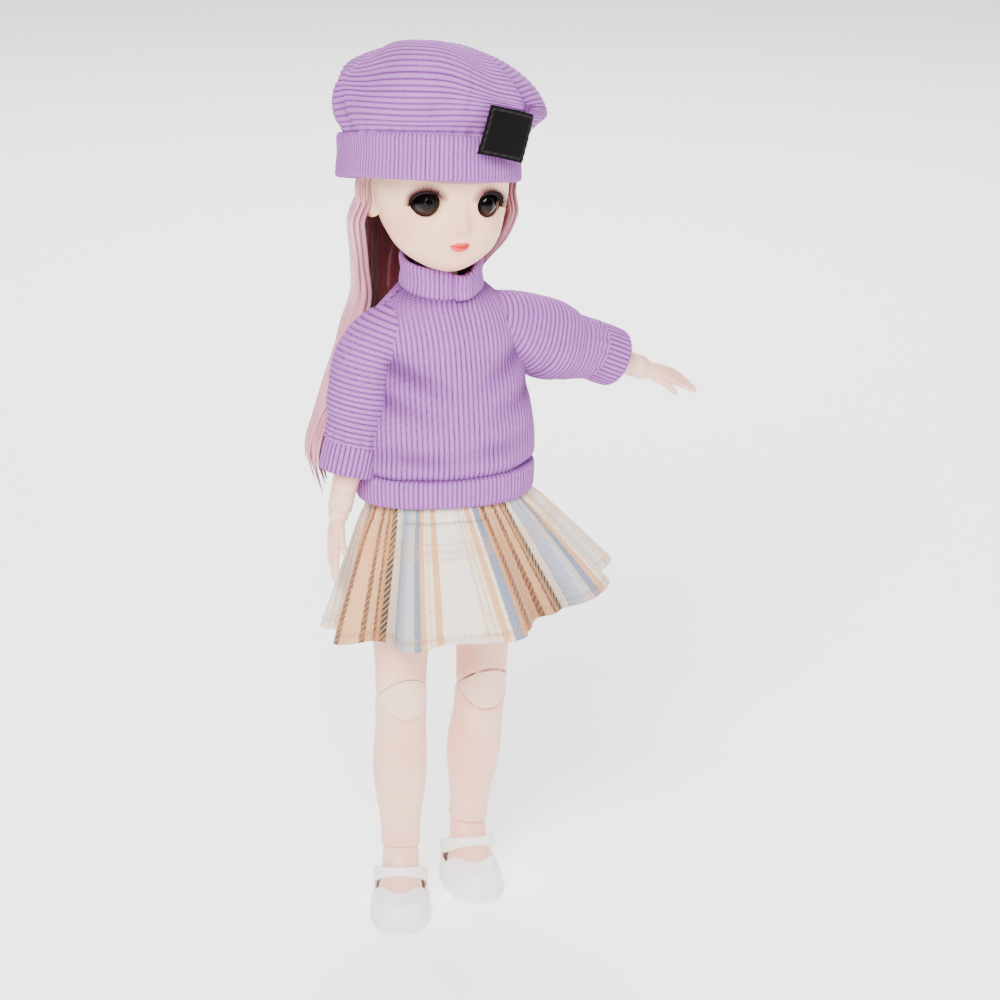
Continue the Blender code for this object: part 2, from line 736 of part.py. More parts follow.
def foot(tag, turn_frame, flex):
    """Ankle peg, foot, and the shoe with its sole and strap."""
    peg = rod(f"ankle_peg_{tag}", turn_frame, ANKLE_PEG_RADIUS, 0, ANKLE_PEG_LENGTH, "joint")
    half_pin = ANKLE_PIN_LENGTH / 2
    pin = rod(f"ankle_pin_{tag}", turn_frame, ANKLE_PEG_RADIUS, -half_pin, half_pin, axis="X")
    eye = ball(f"ankle_eye_{tag}", turn_frame, ANKLE_PEG_RADIUS + GAP)
    add(peg, pin, eye)

    floor = ANKLE_HEIGHT - SOLE_THICKNESS - GAP
    ahead = shift(0, -FOOT_CENTRE_AHEAD, 0)
    body = loft(
        f"foot_{tag}", flex, "skin", FOOT_SHARES, floor, FOOT_WIDTH, FOOT_LENGTH, local=ahead, count=FINE
    )
    top = ball(f"foot_ball_{tag}", turn_frame, ANKLE_BALL_RADIUS, detail=PLAIN)
    add(body, top)
    slot_half = ANKLE_PEG_RADIUS + 2 * GAP
    fan = REACH * math.tan(ANKLE_ROCK)
    slot = prism(
        f"foot_slot_{tag}",
        turn_frame,
        [
            (-slot_half, -slot_half),
            (-slot_half, 0),
            (-fan, REACH),
            (fan, REACH),
            (slot_half, 0),
            (slot_half, -slot_half),
        ],
        slot_half,
    )
    hole = rod(
        f"foot_pin_hole_{tag}",
        turn_frame,
        ANKLE_PEG_RADIUS + GAP,
        -half_pin - GAP,
        half_pin + GAP,
        axis="X",
        hole=True,
    )
    cut(body, slot, hole)

    sole_top = ANKLE_HEIGHT - SOLE_THICKNESS
    loft(
        f"shoe_sole_{tag}",
        flex,
        "shoe",
        SOLE_SHARES,
        SOLE_THICKNESS,
        SHOE_WIDTH,
        SHOE_LENGTH,
        local=ahead @ shift(0, 0, -sole_top),
        count=FINE,
        roundness=2.3,
    )
    upper = loft(
        f"shoe_upper_{tag}",
        flex,
        "shoe",
        SHOE_SHARES,
        SHOE_HEIGHT,
        SHOE_WIDTH,
        SHOE_LENGTH,
        local=ahead @ shift(0, 0, SHOE_HEIGHT - sole_top + GAP),
        count=FINE,
        roundness=2.3,
    )
    inside = make(
        f"shoe_inside_{tag}",
        closed_rings(
            loft_rings(FOOT_SHARES, sole_top, FOOT_WIDTH, FOOT_LENGTH, count=FINE, grow=GAP)
        ),
        flex,
        local=ahead,
    )
    throat = prism(
        f"shoe_throat_{tag}",
        flex,
        [
            (-THROAT_FRONT, -sole_top + THROAT_RISE),
            (-THROAT_FRONT, REACH),
            (THROAT_BACK, REACH),
            (THROAT_BACK, -sole_top + THROAT_RISE),
        ],
        REACH,
    )
    cut(upper, inside, throat)
    strap(tag, flex, sole_top)


def strap(tag, flex, sole_top):
    """Band over the instep whose ends reach down to the sides of the shoe."""
    low = -sole_top + THROAT_RISE + GAP + STRAP_HEIGHT / 2
    rings = []
    steps = PLAIN
    for i in range(steps + 1):
        angle = STRAP_WRAP * (i / steps - 0.5)
        rise = math.cos(angle * STRAP_DIP_SHARE)
        middle = low + (-STRAP_DROP - low) * rise
        ring = []
        for out, up in ((0, -0.5), (1, -0.5), (1, 0.5), (0, 0.5)):
            wide = STRAP_HALF_WIDTH + out * STRAP_THICKNESS
            deep = STRAP_REACH + out * STRAP_THICKNESS
            ring.append(
                Vector((wide * math.sin(angle), -deep * math.cos(angle), middle + up * STRAP_HEIGHT))
            )
        rings.append(ring)
    make(f"shoe_strap_{tag}", closed_rings(rings), flex, "shoe")


# Trunk

PELVIS_SHARES = (
    (0.0, 0.74, 0.96, 0.0),
    (0.35, 0.86, 1.0, 0.0),
    (0.70, 1.00, 1.03, 0.06),
    (1.0, 0.98, 0.98, 0.08),
)
CHEST_SHARES = (
    (0.00, 0.56, 0.62, 0.16),
    (0.06, 0.72, 0.74, 0.12),
    (0.16, 0.90, 0.90, 0.06),
    (0.35, 1.00, 1.00, 0.0),
    (0.60, 1.00, 1.00, 0.0),
    (0.82, 0.96, 0.98, 0.0),
    (1.00, 0.90, 0.97, 0.0),
)


def trunk():
    """Pelvis, waist ball and chest."""
    pelvis_top = WAIST_RISE - WAIST_RIM_RISE
    pelvis = loft(
        "pelvis",
        "pelvis_frame",
        "skin",
        PELVIS_SHARES,
        PELVIS_HEIGHT,
        PELVIS_WIDTH,
        PELVIS_DEPTH,
        local=shift(0, 0, pelvis_top),
        count=FINE,
    )
    fork = block(
        "pelvis_fork",
        "pelvis_frame",
        (-CROTCH_WIDTH / 2, -CROTCH_DEPTH / 2, -CROTCH_DROP),
        (CROTCH_WIDTH / 2, CROTCH_DEPTH / 2, pelvis_top - WAIST_BALL_RADIUS),
    )
    add(pelvis, fork)
    for side, tag in SIDES.items():
        room = ball(
            f"pelvis_room_{tag}",
            "pelvis_frame",
            HIP_SWEEP_RADIUS,
            local=shift(side * HIP_SPACING / 2, 0, 0),
            detail=PLAIN,
            hole=True,
        )
        side_cut = block(
            f"pelvis_room_core_{tag}",
            "pelvis_frame",
            (min(0, side * (CROTCH_WIDTH / 2 + GAP)), -REACH, -REACH),
            (max(0, side * (CROTCH_WIDTH / 2 + GAP)), REACH, REACH),
        )
        cut(room, side_cut)
        cut(pelvis, room)
    axle_hole = rod(
        "pelvis_hole",
        "pelvis_frame",
        HIP_PEG_RADIUS + GAP,
        -HIP_SPACING / 2,
        HIP_SPACING / 2,
        axis="X",
        hole=True,
    )
    waist = shift(0, 0, WAIST_RISE)
    cup = ball("pelvis_cup", "pelvis_frame", WAIST_BALL_RADIUS + GAP, local=waist, detail=FINE, hole=True)
    cut(pelvis, axle_hole, cup)

    place("waist_turn", "pelvis_frame", shift(0, 0, WAIST_RISE))
    place("waist_bend", "waist_turn", Matrix.Identity(4))
    ball("waist_ball", "waist_turn", WAIST_BALL_RADIUS, "joint", detail=FINE)
    chest = loft(
        "chest",
        "waist_bend",
        "skin",
        CHEST_SHARES,
        CHEST_HEIGHT - WAIST_RIM_RISE,
        CHEST_WIDTH,
        CHEST_DEPTH,
        local=shift(0, 0, CHEST_HEIGHT),
        count=FINE,
    )
    cup = ball("chest_cup", "waist_bend", WAIST_BALL_RADIUS + GAP, detail=FINE, hole=True)
    cut(chest, cup)
    for side, tag in SIDES.items():
        room = ball(
            f"chest_room_{tag}",
            "waist_bend",
            SHOULDER_CAP_RADIUS + 2 * GAP,
            local=shift(side * SHOULDER_SPACING / 2, 0, SHOULDER_RISE),
            detail=PLAIN,
            hole=True,
        )
        inner = side * (SHOULDER_SPACING / 2 - SHOULDER_PEG_LENGTH - GAP)
        hole = rod(
            f"chest_hole_{tag}",
            "waist_bend",
            SHOULDER_PEG_RADIUS + GAP,
            inner,
            side * SHOULDER_SPACING / 2,
            axis="X",
            hole=True,
        )
        hole.location = (0, 0, SHOULDER_RISE)
        cut(chest, room, hole)
    neck_cup = ball(
        "chest_neck_cup",
        "waist_bend",
        NECK_BALL_RADIUS + GAP,
        local=shift(0, NECK_SETBACK, NECK_BASE_RISE),
        detail=PLAIN,
        hole=True,
    )
    cut(chest, neck_cup)


# Arms

UPPER_ARM_SHARES = (
    (0.03, 1.37, 1.37, 0.0),
    (0.18, 1.18, 1.18, 0.0),
    (0.32, 1.06, 1.06, 0.0),
    (0.60, 0.98, 0.98, 0.0),
    (1.00, 0.95, 0.95, 0.0),
)
FOREARM_SHARES = (
    (-0.12, 0.95, 0.90, 0.0),
    (0.0, 1.00, 0.92, 0.0),
    (0.18, 0.96, 0.92, 0.0),
    (0.45, 0.82, 0.84, 0.0),
    (0.80, 0.68, 0.70, 0.0),
    (1.0, 0.63, 0.65, 0.0),
)


def arm(side):
    """Shoulder ball, upper arm, elbow, forearm, wrist and hand of one side."""
    tag = SIDES[side]
    swing = place(
        f"shoulder_swing_{tag}",
        "waist_bend",
        shift(side * SHOULDER_SPACING / 2, 0, SHOULDER_RISE) @ turn("X", ARM_SWING[side]),
    )
    lift = place(f"shoulder_raise_{tag}", swing, turn("Y", -side * ARM_RAISE[side]))
    shoulder = ball(f"shoulder_ball_{tag}", swing, SHOULDER_BALL_RADIUS, "joint")
    peg_end = -side * SHOULDER_PEG_LENGTH
    add(shoulder, rod(f"shoulder_peg_{tag}", swing, SHOULDER_PEG_RADIUS, 0, peg_end, axis="X"))

    end = UPPER_ARM_LENGTH - ELBOW_RIM_RISE
    upper = loft(
        f"upper_arm_{tag}", lift, "skin", UPPER_ARM_SHARES, end, UPPER_ARM_WIDTH, UPPER_ARM_WIDTH
    )
    socket = ball(f"upper_arm_socket_{tag}", lift, SHOULDER_BALL_RADIUS + GAP, detail=PLAIN, hole=True)
    round_top = ball(f"upper_arm_round_{tag}", lift, SHOULDER_CAP_RADIUS, detail=PLAIN)
    lower_half = block(
        f"upper_arm_round_half_{tag}", lift, (-REACH, -REACH, 0), (REACH, REACH, REACH)
    )
    cut(round_top, lower_half)
    add(upper, round_top)
    elbow_place = shift(0, 0, -UPPER_ARM_LENGTH)
    cup = ball(
        f"upper_arm_cup_{tag}", lift, ELBOW_BALL_RADIUS + GAP, local=elbow_place, detail=FINE + 2, hole=True
    )
    bore = rod(
        f"upper_arm_bore_{tag}",
        lift,
        ELBOW_PEG_RADIUS + GAP,
        -UPPER_ARM_LENGTH,
        -UPPER_ARM_LENGTH + ELBOW_PEG_LENGTH + GAP,
        hole=True,
    )
    notch_radius = SHOULDER_PEG_RADIUS + 2 * GAP
    notch = rod(
        f"upper_arm_notch_{tag}", lift, notch_radius, 0, -side * UPPER_ARM_WIDTH, axis="X", hole=True
    )
    cut(upper, socket, notch, cup, bore)

    twist = place(f"elbow_twist_{tag}", lift, elbow_place)
    bend = place(f"elbow_bend_{tag}", twist, Matrix.Identity(4))
    elbow = ball(f"elbow_{tag}", twist, ELBOW_BALL_RADIUS, "joint")
    add(
        elbow,
        rod(f"elbow_peg_{tag}", twist, ELBOW_PEG_RADIUS, 0, ELBOW_PEG_LENGTH),
        make(f"elbow_pin_{tag}", across(ELBOW_PIN_RADIUS, ELBOW_PIN_LENGTH / 2, COARSE), twist),
    )

    tip = FOREARM_LENGTH - WRIST_SLEEVE_LENGTH
    forearm = loft(f"forearm_{tag}", bend, "skin", FOREARM_SHARES, tip, FOREARM_WIDTH, FOREARM_WIDTH)
    end = wedge(f"forearm_end_{tag}", bend, 0, ELBOW_FRONT_ANGLE, ELBOW_BACK_ANGLE, -1)
    add(end, make(f"forearm_round_{tag}", across(ELBOW_KNUCKLE_RADIUS, FOREARM_WIDTH, PLAIN), bend))
    keep(forearm, end)
    pin_hole = across(around(ELBOW_PIN_RADIUS + GAP, COARSE), ELBOW_PIN_LENGTH / 2 + GAP, COARSE)
    cut(
        forearm,
        ball(f"forearm_cup_{tag}", bend, ELBOW_BALL_RADIUS + GAP, hole=True),
        make(f"forearm_hole_{tag}", pin_hole, bend),
        rod(
            f"forearm_bore_{tag}",
            bend,
            WRIST_PEG_RADIUS + GAP,
            -tip - GAP,
            -tip + WRIST_PEG_LENGTH + GAP,
            detail=COARSE,
            hole=True,
        ),
    )

    wrist_turn = place(f"wrist_turn_{tag}", bend, shift(0, 0, -FOREARM_LENGTH))
    sleeve_top = WRIST_SLEEVE_LENGTH - GAP
    wrist_shares = FOREARM_SHARES[-1][1:3]
    wrist = ball(f"wrist_{tag}", wrist_turn, WRIST_BALL_RADIUS, "skin", detail=COARSE)
    tube = make(
        f"wrist_tube_{tag}",
        closed_rings(
            [
                oval(*(share * FOREARM_WIDTH / 2 for share in wrist_shares), (0, 0, sleeve_top), PLAIN),
                oval(WRIST_WIDTH / 2, WRIST_WIDTH / 2, (0, 0, WRIST_RIM_RISE), PLAIN),
            ]
        ),
        wrist_turn,
    )
    peg = rod(
        f"wrist_peg_{tag}", wrist_turn, WRIST_PEG_RADIUS, 0, sleeve_top + WRIST_PEG_LENGTH, detail=COARSE
    )
    add(wrist, tube, peg)
    wrist_bend = place(f"wrist_bend_{tag}", wrist_turn, turn("Y", side * WRIST_DROP[side]))
    hand(side, wrist_bend)


PALM_SHARES = (
    (0.00, 0.92, 0.80, 0.0),
    (0.25, 0.86, 0.90, 0.0),
    (0.60, 0.86, 1.00, 0.0),
    (1.00, 0.70, 0.96, 0.0),
)
FINGER_LENGTH_SHARES = (0.90, 1.00, 0.95, 0.78)
FINGER_RADIUS_SHARES = (1.0, 1.0, 0.97, 0.86)


DIGIT_SHARES = ((0.0, 1.0), (0.75, 0.92), (0.93, 0.68), (1.0, 0.3))


def digit(name, parent, start, end, radius, facets=6):
    """Tapered finger with a rounded tip."""
    along = Vector(end) - Vector(start)
    rings = []
    for share, size in DIGIT_SHARES:
        rings.append(oval(radius * size, radius * size, (0, 0, -share * along.length), facets))
    tilt = Vector((0, 0, -1)).rotation_difference(along).to_matrix().to_4x4()
    return make(name, closed_rings(rings), parent, None, shift(*start) @ tilt)


def hand(side, frame):
    """Palm with four fingers and a thumb that points forward."""
    tag = SIDES[side]
    palm = loft(
        f"hand_{tag}",
        frame,
        "skin",
        PALM_SHARES,
        PALM_LENGTH,
        PALM_THICKNESS * PALM_ROUND_SHARE,
        PALM_WIDTH,
        local=shift(0, 0, -WRIST_RIM_DROP),
        count=20,
    )
    slim = block(
        f"hand_slim_{tag}",
        frame,
        (-PALM_THICKNESS / 2, -REACH, -REACH),
        (PALM_THICKNESS / 2, REACH, REACH),
    )
    keep(palm, slim)
    start = (-side * THUMB_ROOT_OUT, -THUMB_ROOT_AHEAD, -THUMB_ROOT_DROP)
    end = (
        start[0] - side * THUMB_LENGTH * THUMB_CURL_SHARE,
        start[1] - THUMB_LENGTH * math.sin(THUMB_SPREAD),
        start[2] - THUMB_LENGTH * math.cos(THUMB_SPREAD),
    )
    add(palm, digit(f"thumb_{tag}", frame, start, end, THUMB_RADIUS, facets=7))
    root = PALM_LENGTH * FINGER_ROOT_SHARE
    knuckle_line = -WRIST_RIM_DROP - (PALM_LENGTH - root)
    middle = (len(FINGER_LENGTH_SHARES) - 1) / 2
    for i, (length, size) in enumerate(zip(FINGER_LENGTH_SHARES, FINGER_RADIUS_SHARES)):
        y = (i - middle) * FINGER_PITCH
        curl = -side * FINGER_LENGTH * FINGER_CURL_SHARE
        start = (0, y, knuckle_line)
        end = (curl, y * (1 + FINGER_FAN_SHARE), knuckle_line - FINGER_LENGTH * length - root)
        add(palm, digit(f"finger_{i}_{tag}", frame, start, end, FINGER_RADIUS * size))
    cut(palm, ball(f"hand_cup_{tag}", frame, WRIST_BALL_RADIUS + GAP, detail=COARSE, hole=True))


# Head

NECK_SHARES = ((0.0, 0.72), (0.42, 0.72), (0.75, 0.86), (1.0, 1.0))
HEAD_SHARES = (
    (0.000, 0.28, 0.20, 0.12),
    (0.025, 0.62, 0.60, 0.12),
    (0.060, 0.86, 0.82, 0.12),
    (0.120, 0.975, 0.94, 0.12),
    (0.220, 1.00, 1.00, 0.11),
    (0.360, 1.00, 1.00, 0.10),
    (0.500, 0.985, 0.965, 0.04),
    (0.620, 0.945, 0.905, -0.03),
    (0.730, 0.885, 0.830, -0.10),
    (0.830, 0.775, 0.710, -0.20),
    (0.900, 0.640, 0.560, -0.33),
    (0.955, 0.470, 0.390, -0.46),
    (1.000, 0.250, 0.200, -0.58),
)


def head_rings(grow=0.0, floor=None, count=FINE + 2):
    """Rings of the head from crown to chin; a floor cuts the loft short."""
    table = HEAD_SHARES
    if floor is not None:
        table = [row for row in table if HEAD_HEIGHT * (1 - row[0]) > floor + CHIN_DROP]
    rings = loft_rings(table, HEAD_HEIGHT, HEAD_WIDTH, HEAD_DEPTH, count=count, grow=grow)
    lift = Vector((0, 0, HEAD_HEIGHT - CHIN_DROP))
    rings = [[point + lift for point in ring] for ring in rings]
    rings[0] = [point + Vector((0, 0, grow)) for point in rings[0]]
    return rings


def head():
    """Neck, neck ball, face shell, skull cap and eyes."""
    place("neck_nod", "waist_bend", shift(0, NECK_SETBACK, NECK_BASE_RISE))
    neck = ball("neck", "neck_nod", NECK_BALL_RADIUS, "skin", detail=PLAIN)
    rim = NECK_LENGTH - NECK_RIM_DROP
    column = make(
        "neck_column",
        closed_rings(
            [
                oval(share * NECK_WIDTH / 2, share * NECK_WIDTH / 2, (0, 0, rim * along), PLAIN)
                for along, share in NECK_SHARES
            ]
        ),
        "neck_nod",
        local=turn("Z", CUTTER_SKEW),
    )
    add(neck, column)
    cup = ball(
        "neck_cup",
        "neck_nod",
        SKULL_BALL_RADIUS + GAP,
        local=shift(0, 0, NECK_LENGTH),
        detail=PLAIN,
        hole=True,
    )
    cut(neck, cup)

    place("head_tilt", "neck_nod", shift(0, 0, NECK_LENGTH) @ turn("Y", HEAD_TILT))
    place("head_turn", "head_tilt", turn("Z", HEAD_TURN))
    skull_ball = ball("neck_ball", "head_tilt", SKULL_BALL_RADIUS, "joint")
    add(skull_ball, rod("neck_ball_peg", "head_tilt", SKULL_PEG_RADIUS, 0, SKULL_PEG_LENGTH))

    face = make("face_shell", closed_rings(head_rings()), "head_turn", "skin")
    cap = make("skull_cap", closed_rings(head_rings()), "head_turn", "skin")
    hollow = make("head_hollow", closed_rings(head_rings(grow=-HEAD_WALL, floor=HEAD_FLOOR)), "head_turn")
    seam = shift(0, 0, HEAD_HEIGHT * CAP_SEAM_SHARE) @ turn("X", -CAP_SLANT)
    over = block("skull_above", "head_turn", (-FAR, -FAR, 0), (FAR, FAR, FAR), seam)
    under = block("skull_below", "head_turn", (-FAR, -FAR, -FAR), (FAR, FAR, GAP), seam)
    cut(cap, hollow, under)
    add_features(face)
    cut(
        face,
        hollow,
        over,
        ball("head_cup", "head_tilt", SKULL_BALL_RADIUS + GAP, detail=PLAIN, hole=True),
        rod("head_throat", "head_tilt", THROAT_RADIUS, -REACH, GAP, detail=FINE, hole=True),
        rod("head_bore", "head_tilt", SKULL_PEG_RADIUS + GAP, 0, SKULL_PEG_LENGTH + GAP, hole=True),
    )
    for side, tag in SIDES.items():
        centre = shift(side * EYE_SPACING / 2, -EYE_AHEAD, EYE_RISE)
        ball(f"eye_{tag}", "head_turn", EYE_RADIUS, "eye", centre)
        socket = ball(f"eye_socket_{tag}", "head_turn", EYE_RADIUS + GAP, None, centre, hole=True)
        add(socket, make(f"eye_window_{tag}", eye_window(), "head_turn", local=centre))
        cut(face, socket)


def eye_window():
    """Oval shaft from the middle of the eye out through the face."""
    rings = []
    for y in (0, -REACH):
        ring = []
        for point in oval(EYE_OPENING_WIDTH / 2, EYE_OPENING_HEIGHT / 2, (0, 0, 0), PLAIN):
            ring.append(Vector((point.x, y, point.y)))
        rings.append(ring)
    return closed_rings(rings)


def head_shares(rise):
    """Shares of width, depth and setback of the head at a height above its joint."""
    along = 1 - (rise + CHIN_DROP) / HEAD_HEIGHT
    for upper, lower in zip(HEAD_SHARES, HEAD_SHARES[1:]):
        if upper[0] <= along <= lower[0]:
            share = (along - upper[0]) / (lower[0] - upper[0])
            return [a + (b - a) * share for a, b in zip(upper[1:], lower[1:])]
    return list(HEAD_SHARES[-1][1:])


def face_front(rise):
    """How far ahead of the head joint the face lies at a height above it."""
    _, depth, back = head_shares(rise)
    return (back - depth) * HEAD_DEPTH / 2


def add_features(face):
    """Nose, lips and ears, joined to the face shell."""
    nose = ball(
        "face_nose",
        "head_turn",
        NOSE_RADIUS,
        local=shift(0, face_front(NOSE_RISE) + NOSE_SINK, NOSE_RISE),
        scale=NOSE_SHARES,
        detail=COARSE,
    )
    lips = ball(
        "face_lips",
        "head_turn",
        LIP_HEIGHT,
        local=shift(0, face_front(LIP_RISE) + LIP_SINK, LIP_RISE),
        scale=(LIP_WIDTH / (2 * LIP_HEIGHT), 1, 1),
        detail=COARSE,
    )
    add(face, nose, lips)
    for side, tag in SIDES.items():
        ear = ball(
            f"face_ear_{tag}",
            "head_turn",
            EAR_HEIGHT / 2,
            local=shift(side * (HEAD_WIDTH / 2 - EAR_SINK), EAR_BEHIND, EAR_RISE)
            @ turn("Z", side * EAR_TURN),
            scale=(EAR_THICKNESS / EAR_HEIGHT, EAR_DEPTH / EAR_HEIGHT, 1),
            detail=COARSE,
        )
        add(face, ear)


# Wig

def wig():
    """Wig cap and the long hair behind it."""
    cap = make("wig_cap", closed_rings(head_rings(grow=GAP + WIG_THICKNESS)), "head_turn", "hair")
    inside = make("wig_inside", closed_rings(head_rings(grow=GAP)), "head_turn")
    brow = max(BAND_RISE, EAR_RISE + EAR_HEIGHT / 2 + 2 * GAP)
    front = block("wig_front", "head_turn", (-FAR, -FAR, -REACH), (FAR, WIG_FRONT_BEHIND, brow))
    under = block("wig_under", "head_turn", (-FAR, -FAR, -REACH), (FAR, FAR, WIG_LOWER_RISE))
    cut(cap, inside, front, under)

    columns, rows = 2 * COARSE, COARSE
    shape = bmesh.new()
    grid = []
    width_share, depth_share, back_share = head_shares(HAIR_TOP_RISE)
    seat = WIG_THICKNESS + 2 * GAP + HAIR_THICKNESS / 2
    top_wide = width_share * HEAD_WIDTH / 2 + seat
    top_deep = depth_share * HEAD_DEPTH / 2 + seat
    top_middle = back_share * HEAD_DEPTH / 2
    for j in range(rows + 1):
        v = j / rows
        fall = smooth(v * HAIR_FALL_SPEED)
        wide = top_wide + (HAIR_HALF_WIDTH - top_wide) * smooth(v * HAIR_SPREAD_SPEED)
        deep = top_deep + (HAIR_CURL_DEPTH - top_deep) * fall
        middle = top_middle + (HAIR_BACK_DEPTH - HAIR_CURL_DEPTH - top_middle) * fall
        spread = HAIR_TOP_SPREAD + (HAIR_END_SPREAD - HAIR_TOP_SPREAD) * fall
        z = HAIR_TOP_RISE - HAIR_LENGTH * v
        row = []
        for i in range(columns + 1):
            u = i / columns * 2 - 1
            angle = spread * u
            wave = HAIR_WAVE * math.cos(HAIR_WAVES * angle + v) * smooth(v * HAIR_FALL_SPEED)
            lift = HAIR_END_RAGGED * math.cos(HAIR_WAVES * angle / 2) * v
            point = Vector((wide * math.sin(angle), middle + deep * math.cos(angle) + wave, z + lift))
            row.append(shape.verts.new(point))
        grid.append(row)
    for upper, lower in zip(grid, grid[1:]):
        for i in range(columns):
            shape.faces.new((upper[i], upper[i + 1], lower[i + 1], lower[i]))
    hair = make("hair_back", shape, "head_turn", "hair")
    thicken(hair, HAIR_THICKNESS)


def smooth(t):
    """Ease from 0 to 1."""
    t = min(max(t, 0.0), 1.0)
    return t * t * (3 - 2 * t)


def thicken(piece, thickness):
    """Give an open sheet its thickness, half on each side."""
    step = piece.modifiers.new("thickness", "SOLIDIFY")
    step.thickness = thickness
    step.offset = 0
    step.use_even_offset = True


# Beret

CROWN_SHARES = (
    (0.00, 0.840, 0.0),
    (0.14, 0.940, 0.3),
    (0.36, 1.000, 0.8),
    (0.56, 0.965, 1.0),
    (0.74, 0.850, 0.9),
    (0.88, 0.650, 0.6),
    (0.97, 0.380, 0.3),
    (1.00, 0.120, 0.0),
)


def shell(name, parent, role, outer, inner, local=None):
    """Closed wall between an outer and an inner run of rings."""
    return make(name, closed_rings(outer + list(reversed(inner)), ends=False), parent, role, local)


def beret():
    """Ribbed band, slouched crown and a blank sewn label."""
    local = (
        shift(0, BAND_BEHIND, BAND_RISE) @ turn("Y", BERET_TILT) @ turn("X", BERET_RECLINE)
    )
    place("beret_lift", "head_turn", local)
    rings = {}
    for name, inset in (("outer", 0), ("inner", BAND_THICKNESS)):
        rings[name] = [
            oval(BAND_WIDTH / 2 - inset, BAND_DEPTH / 2 - inset, (0, 0, z), FINE + 8)
            for z in (0, BAND_HEIGHT / 2, BAND_HEIGHT)
        ]
    shell("beret_band", "beret_lift", "knit", rings["outer"], rings["inner"])
    crown()
    label = bmesh.new()
    grid = []
    columns, rows = COARSE, 2
    across_crown = math.sin(LABEL_TURN) / (CROWN_WIDTH / 2)
    along_crown = math.cos(LABEL_TURN) / (CROWN_DEPTH / 2)
    bow = -1 / math.hypot(across_crown, along_crown) - 2 * GAP
    for j in range(rows + 1):
        row = []
        for i in range(columns + 1):
            u = (i / columns - 0.5) * LABEL_WIDTH
            y = bow + (u * u) / CROWN_DEPTH
            row.append(label.verts.new(Vector((u, y, (0.5 - j / rows) * LABEL_HEIGHT))))
        grid.append(row)
    for upper, lower in zip(grid, grid[1:]):
        for i in range(columns):
            label.faces.new((upper[i], upper[i + 1], lower[i + 1], lower[i]))
    rise = BAND_HEIGHT + CROWN_HEIGHT * LABEL_RISE_SHARE
    local = shift(0, 0, rise) @ turn("Z", LABEL_TURN) @ turn("Y", LABEL_ROLL)
    piece = make("beret_label", label, "beret_lift", "label", local)
    thicken(piece, LABEL_THICKNESS)


def crown():
    """Puffed crown, closed at the top, with soft radial folds."""
    count = 3 * CROWN_FOLDS
    runs = {}
    for name, inset in (("outer", 0), ("inner", CLOTH)):
        run = []
        for along, size, fold in CROWN_SHARES:
            z = BAND_HEIGHT + GAP + along * CROWN_HEIGHT
            if along > 0:
                z -= inset * smooth(along / CROWN_SHARES[-2][0])
            centre = Vector((CROWN_SLOUCH * along, 0, z))
            ring = []
            for i in range(count):
                angle = math.tau * i / count
                dent = fold * size * CROWN_FOLD_DEPTH * (1 + math.cos(CROWN_FOLDS * angle))
                x = (CROWN_WIDTH / 2 * size - inset - dent) * math.cos(angle)
                y = (CROWN_DEPTH / 2 * size - inset - dent) * math.sin(angle)
                ring.append(centre + Vector((x, y, 0)))
            run.append(ring)
        runs[name] = run
    make("beret_crown", closed_rings(list(reversed(runs["outer"])) + runs["inner"]), "beret_lift", "knit")


# Sweater

HEM_SHARES = ((0.0, 0.985), (0.5, 1.0), (1.0, 0.975))
COLLAR_SHARES = ((0.0, 1.0), (0.5, 0.97), (1.0, 1.0))
CUFF_SHARES = ((0.0, 0.97), (0.5, 1.0), (1.0, 0.98))
BODY_SHARES = (
    (0.00, 0.92, 0.93, 0.0),
    (0.12, 1.00, 1.00, 0.0),
    (0.40, 0.93, 0.93, 0.0),
    (0.62, 0.85, 0.85, 0.0),
    (0.78, 0.81, 0.76, 0.2),
    (0.87, 0.72, 0.66, 0.5),
    (0.94, 0.57, 0.56, 0.8),
    (1.00, 0.43, 0.54, 1.0),
)


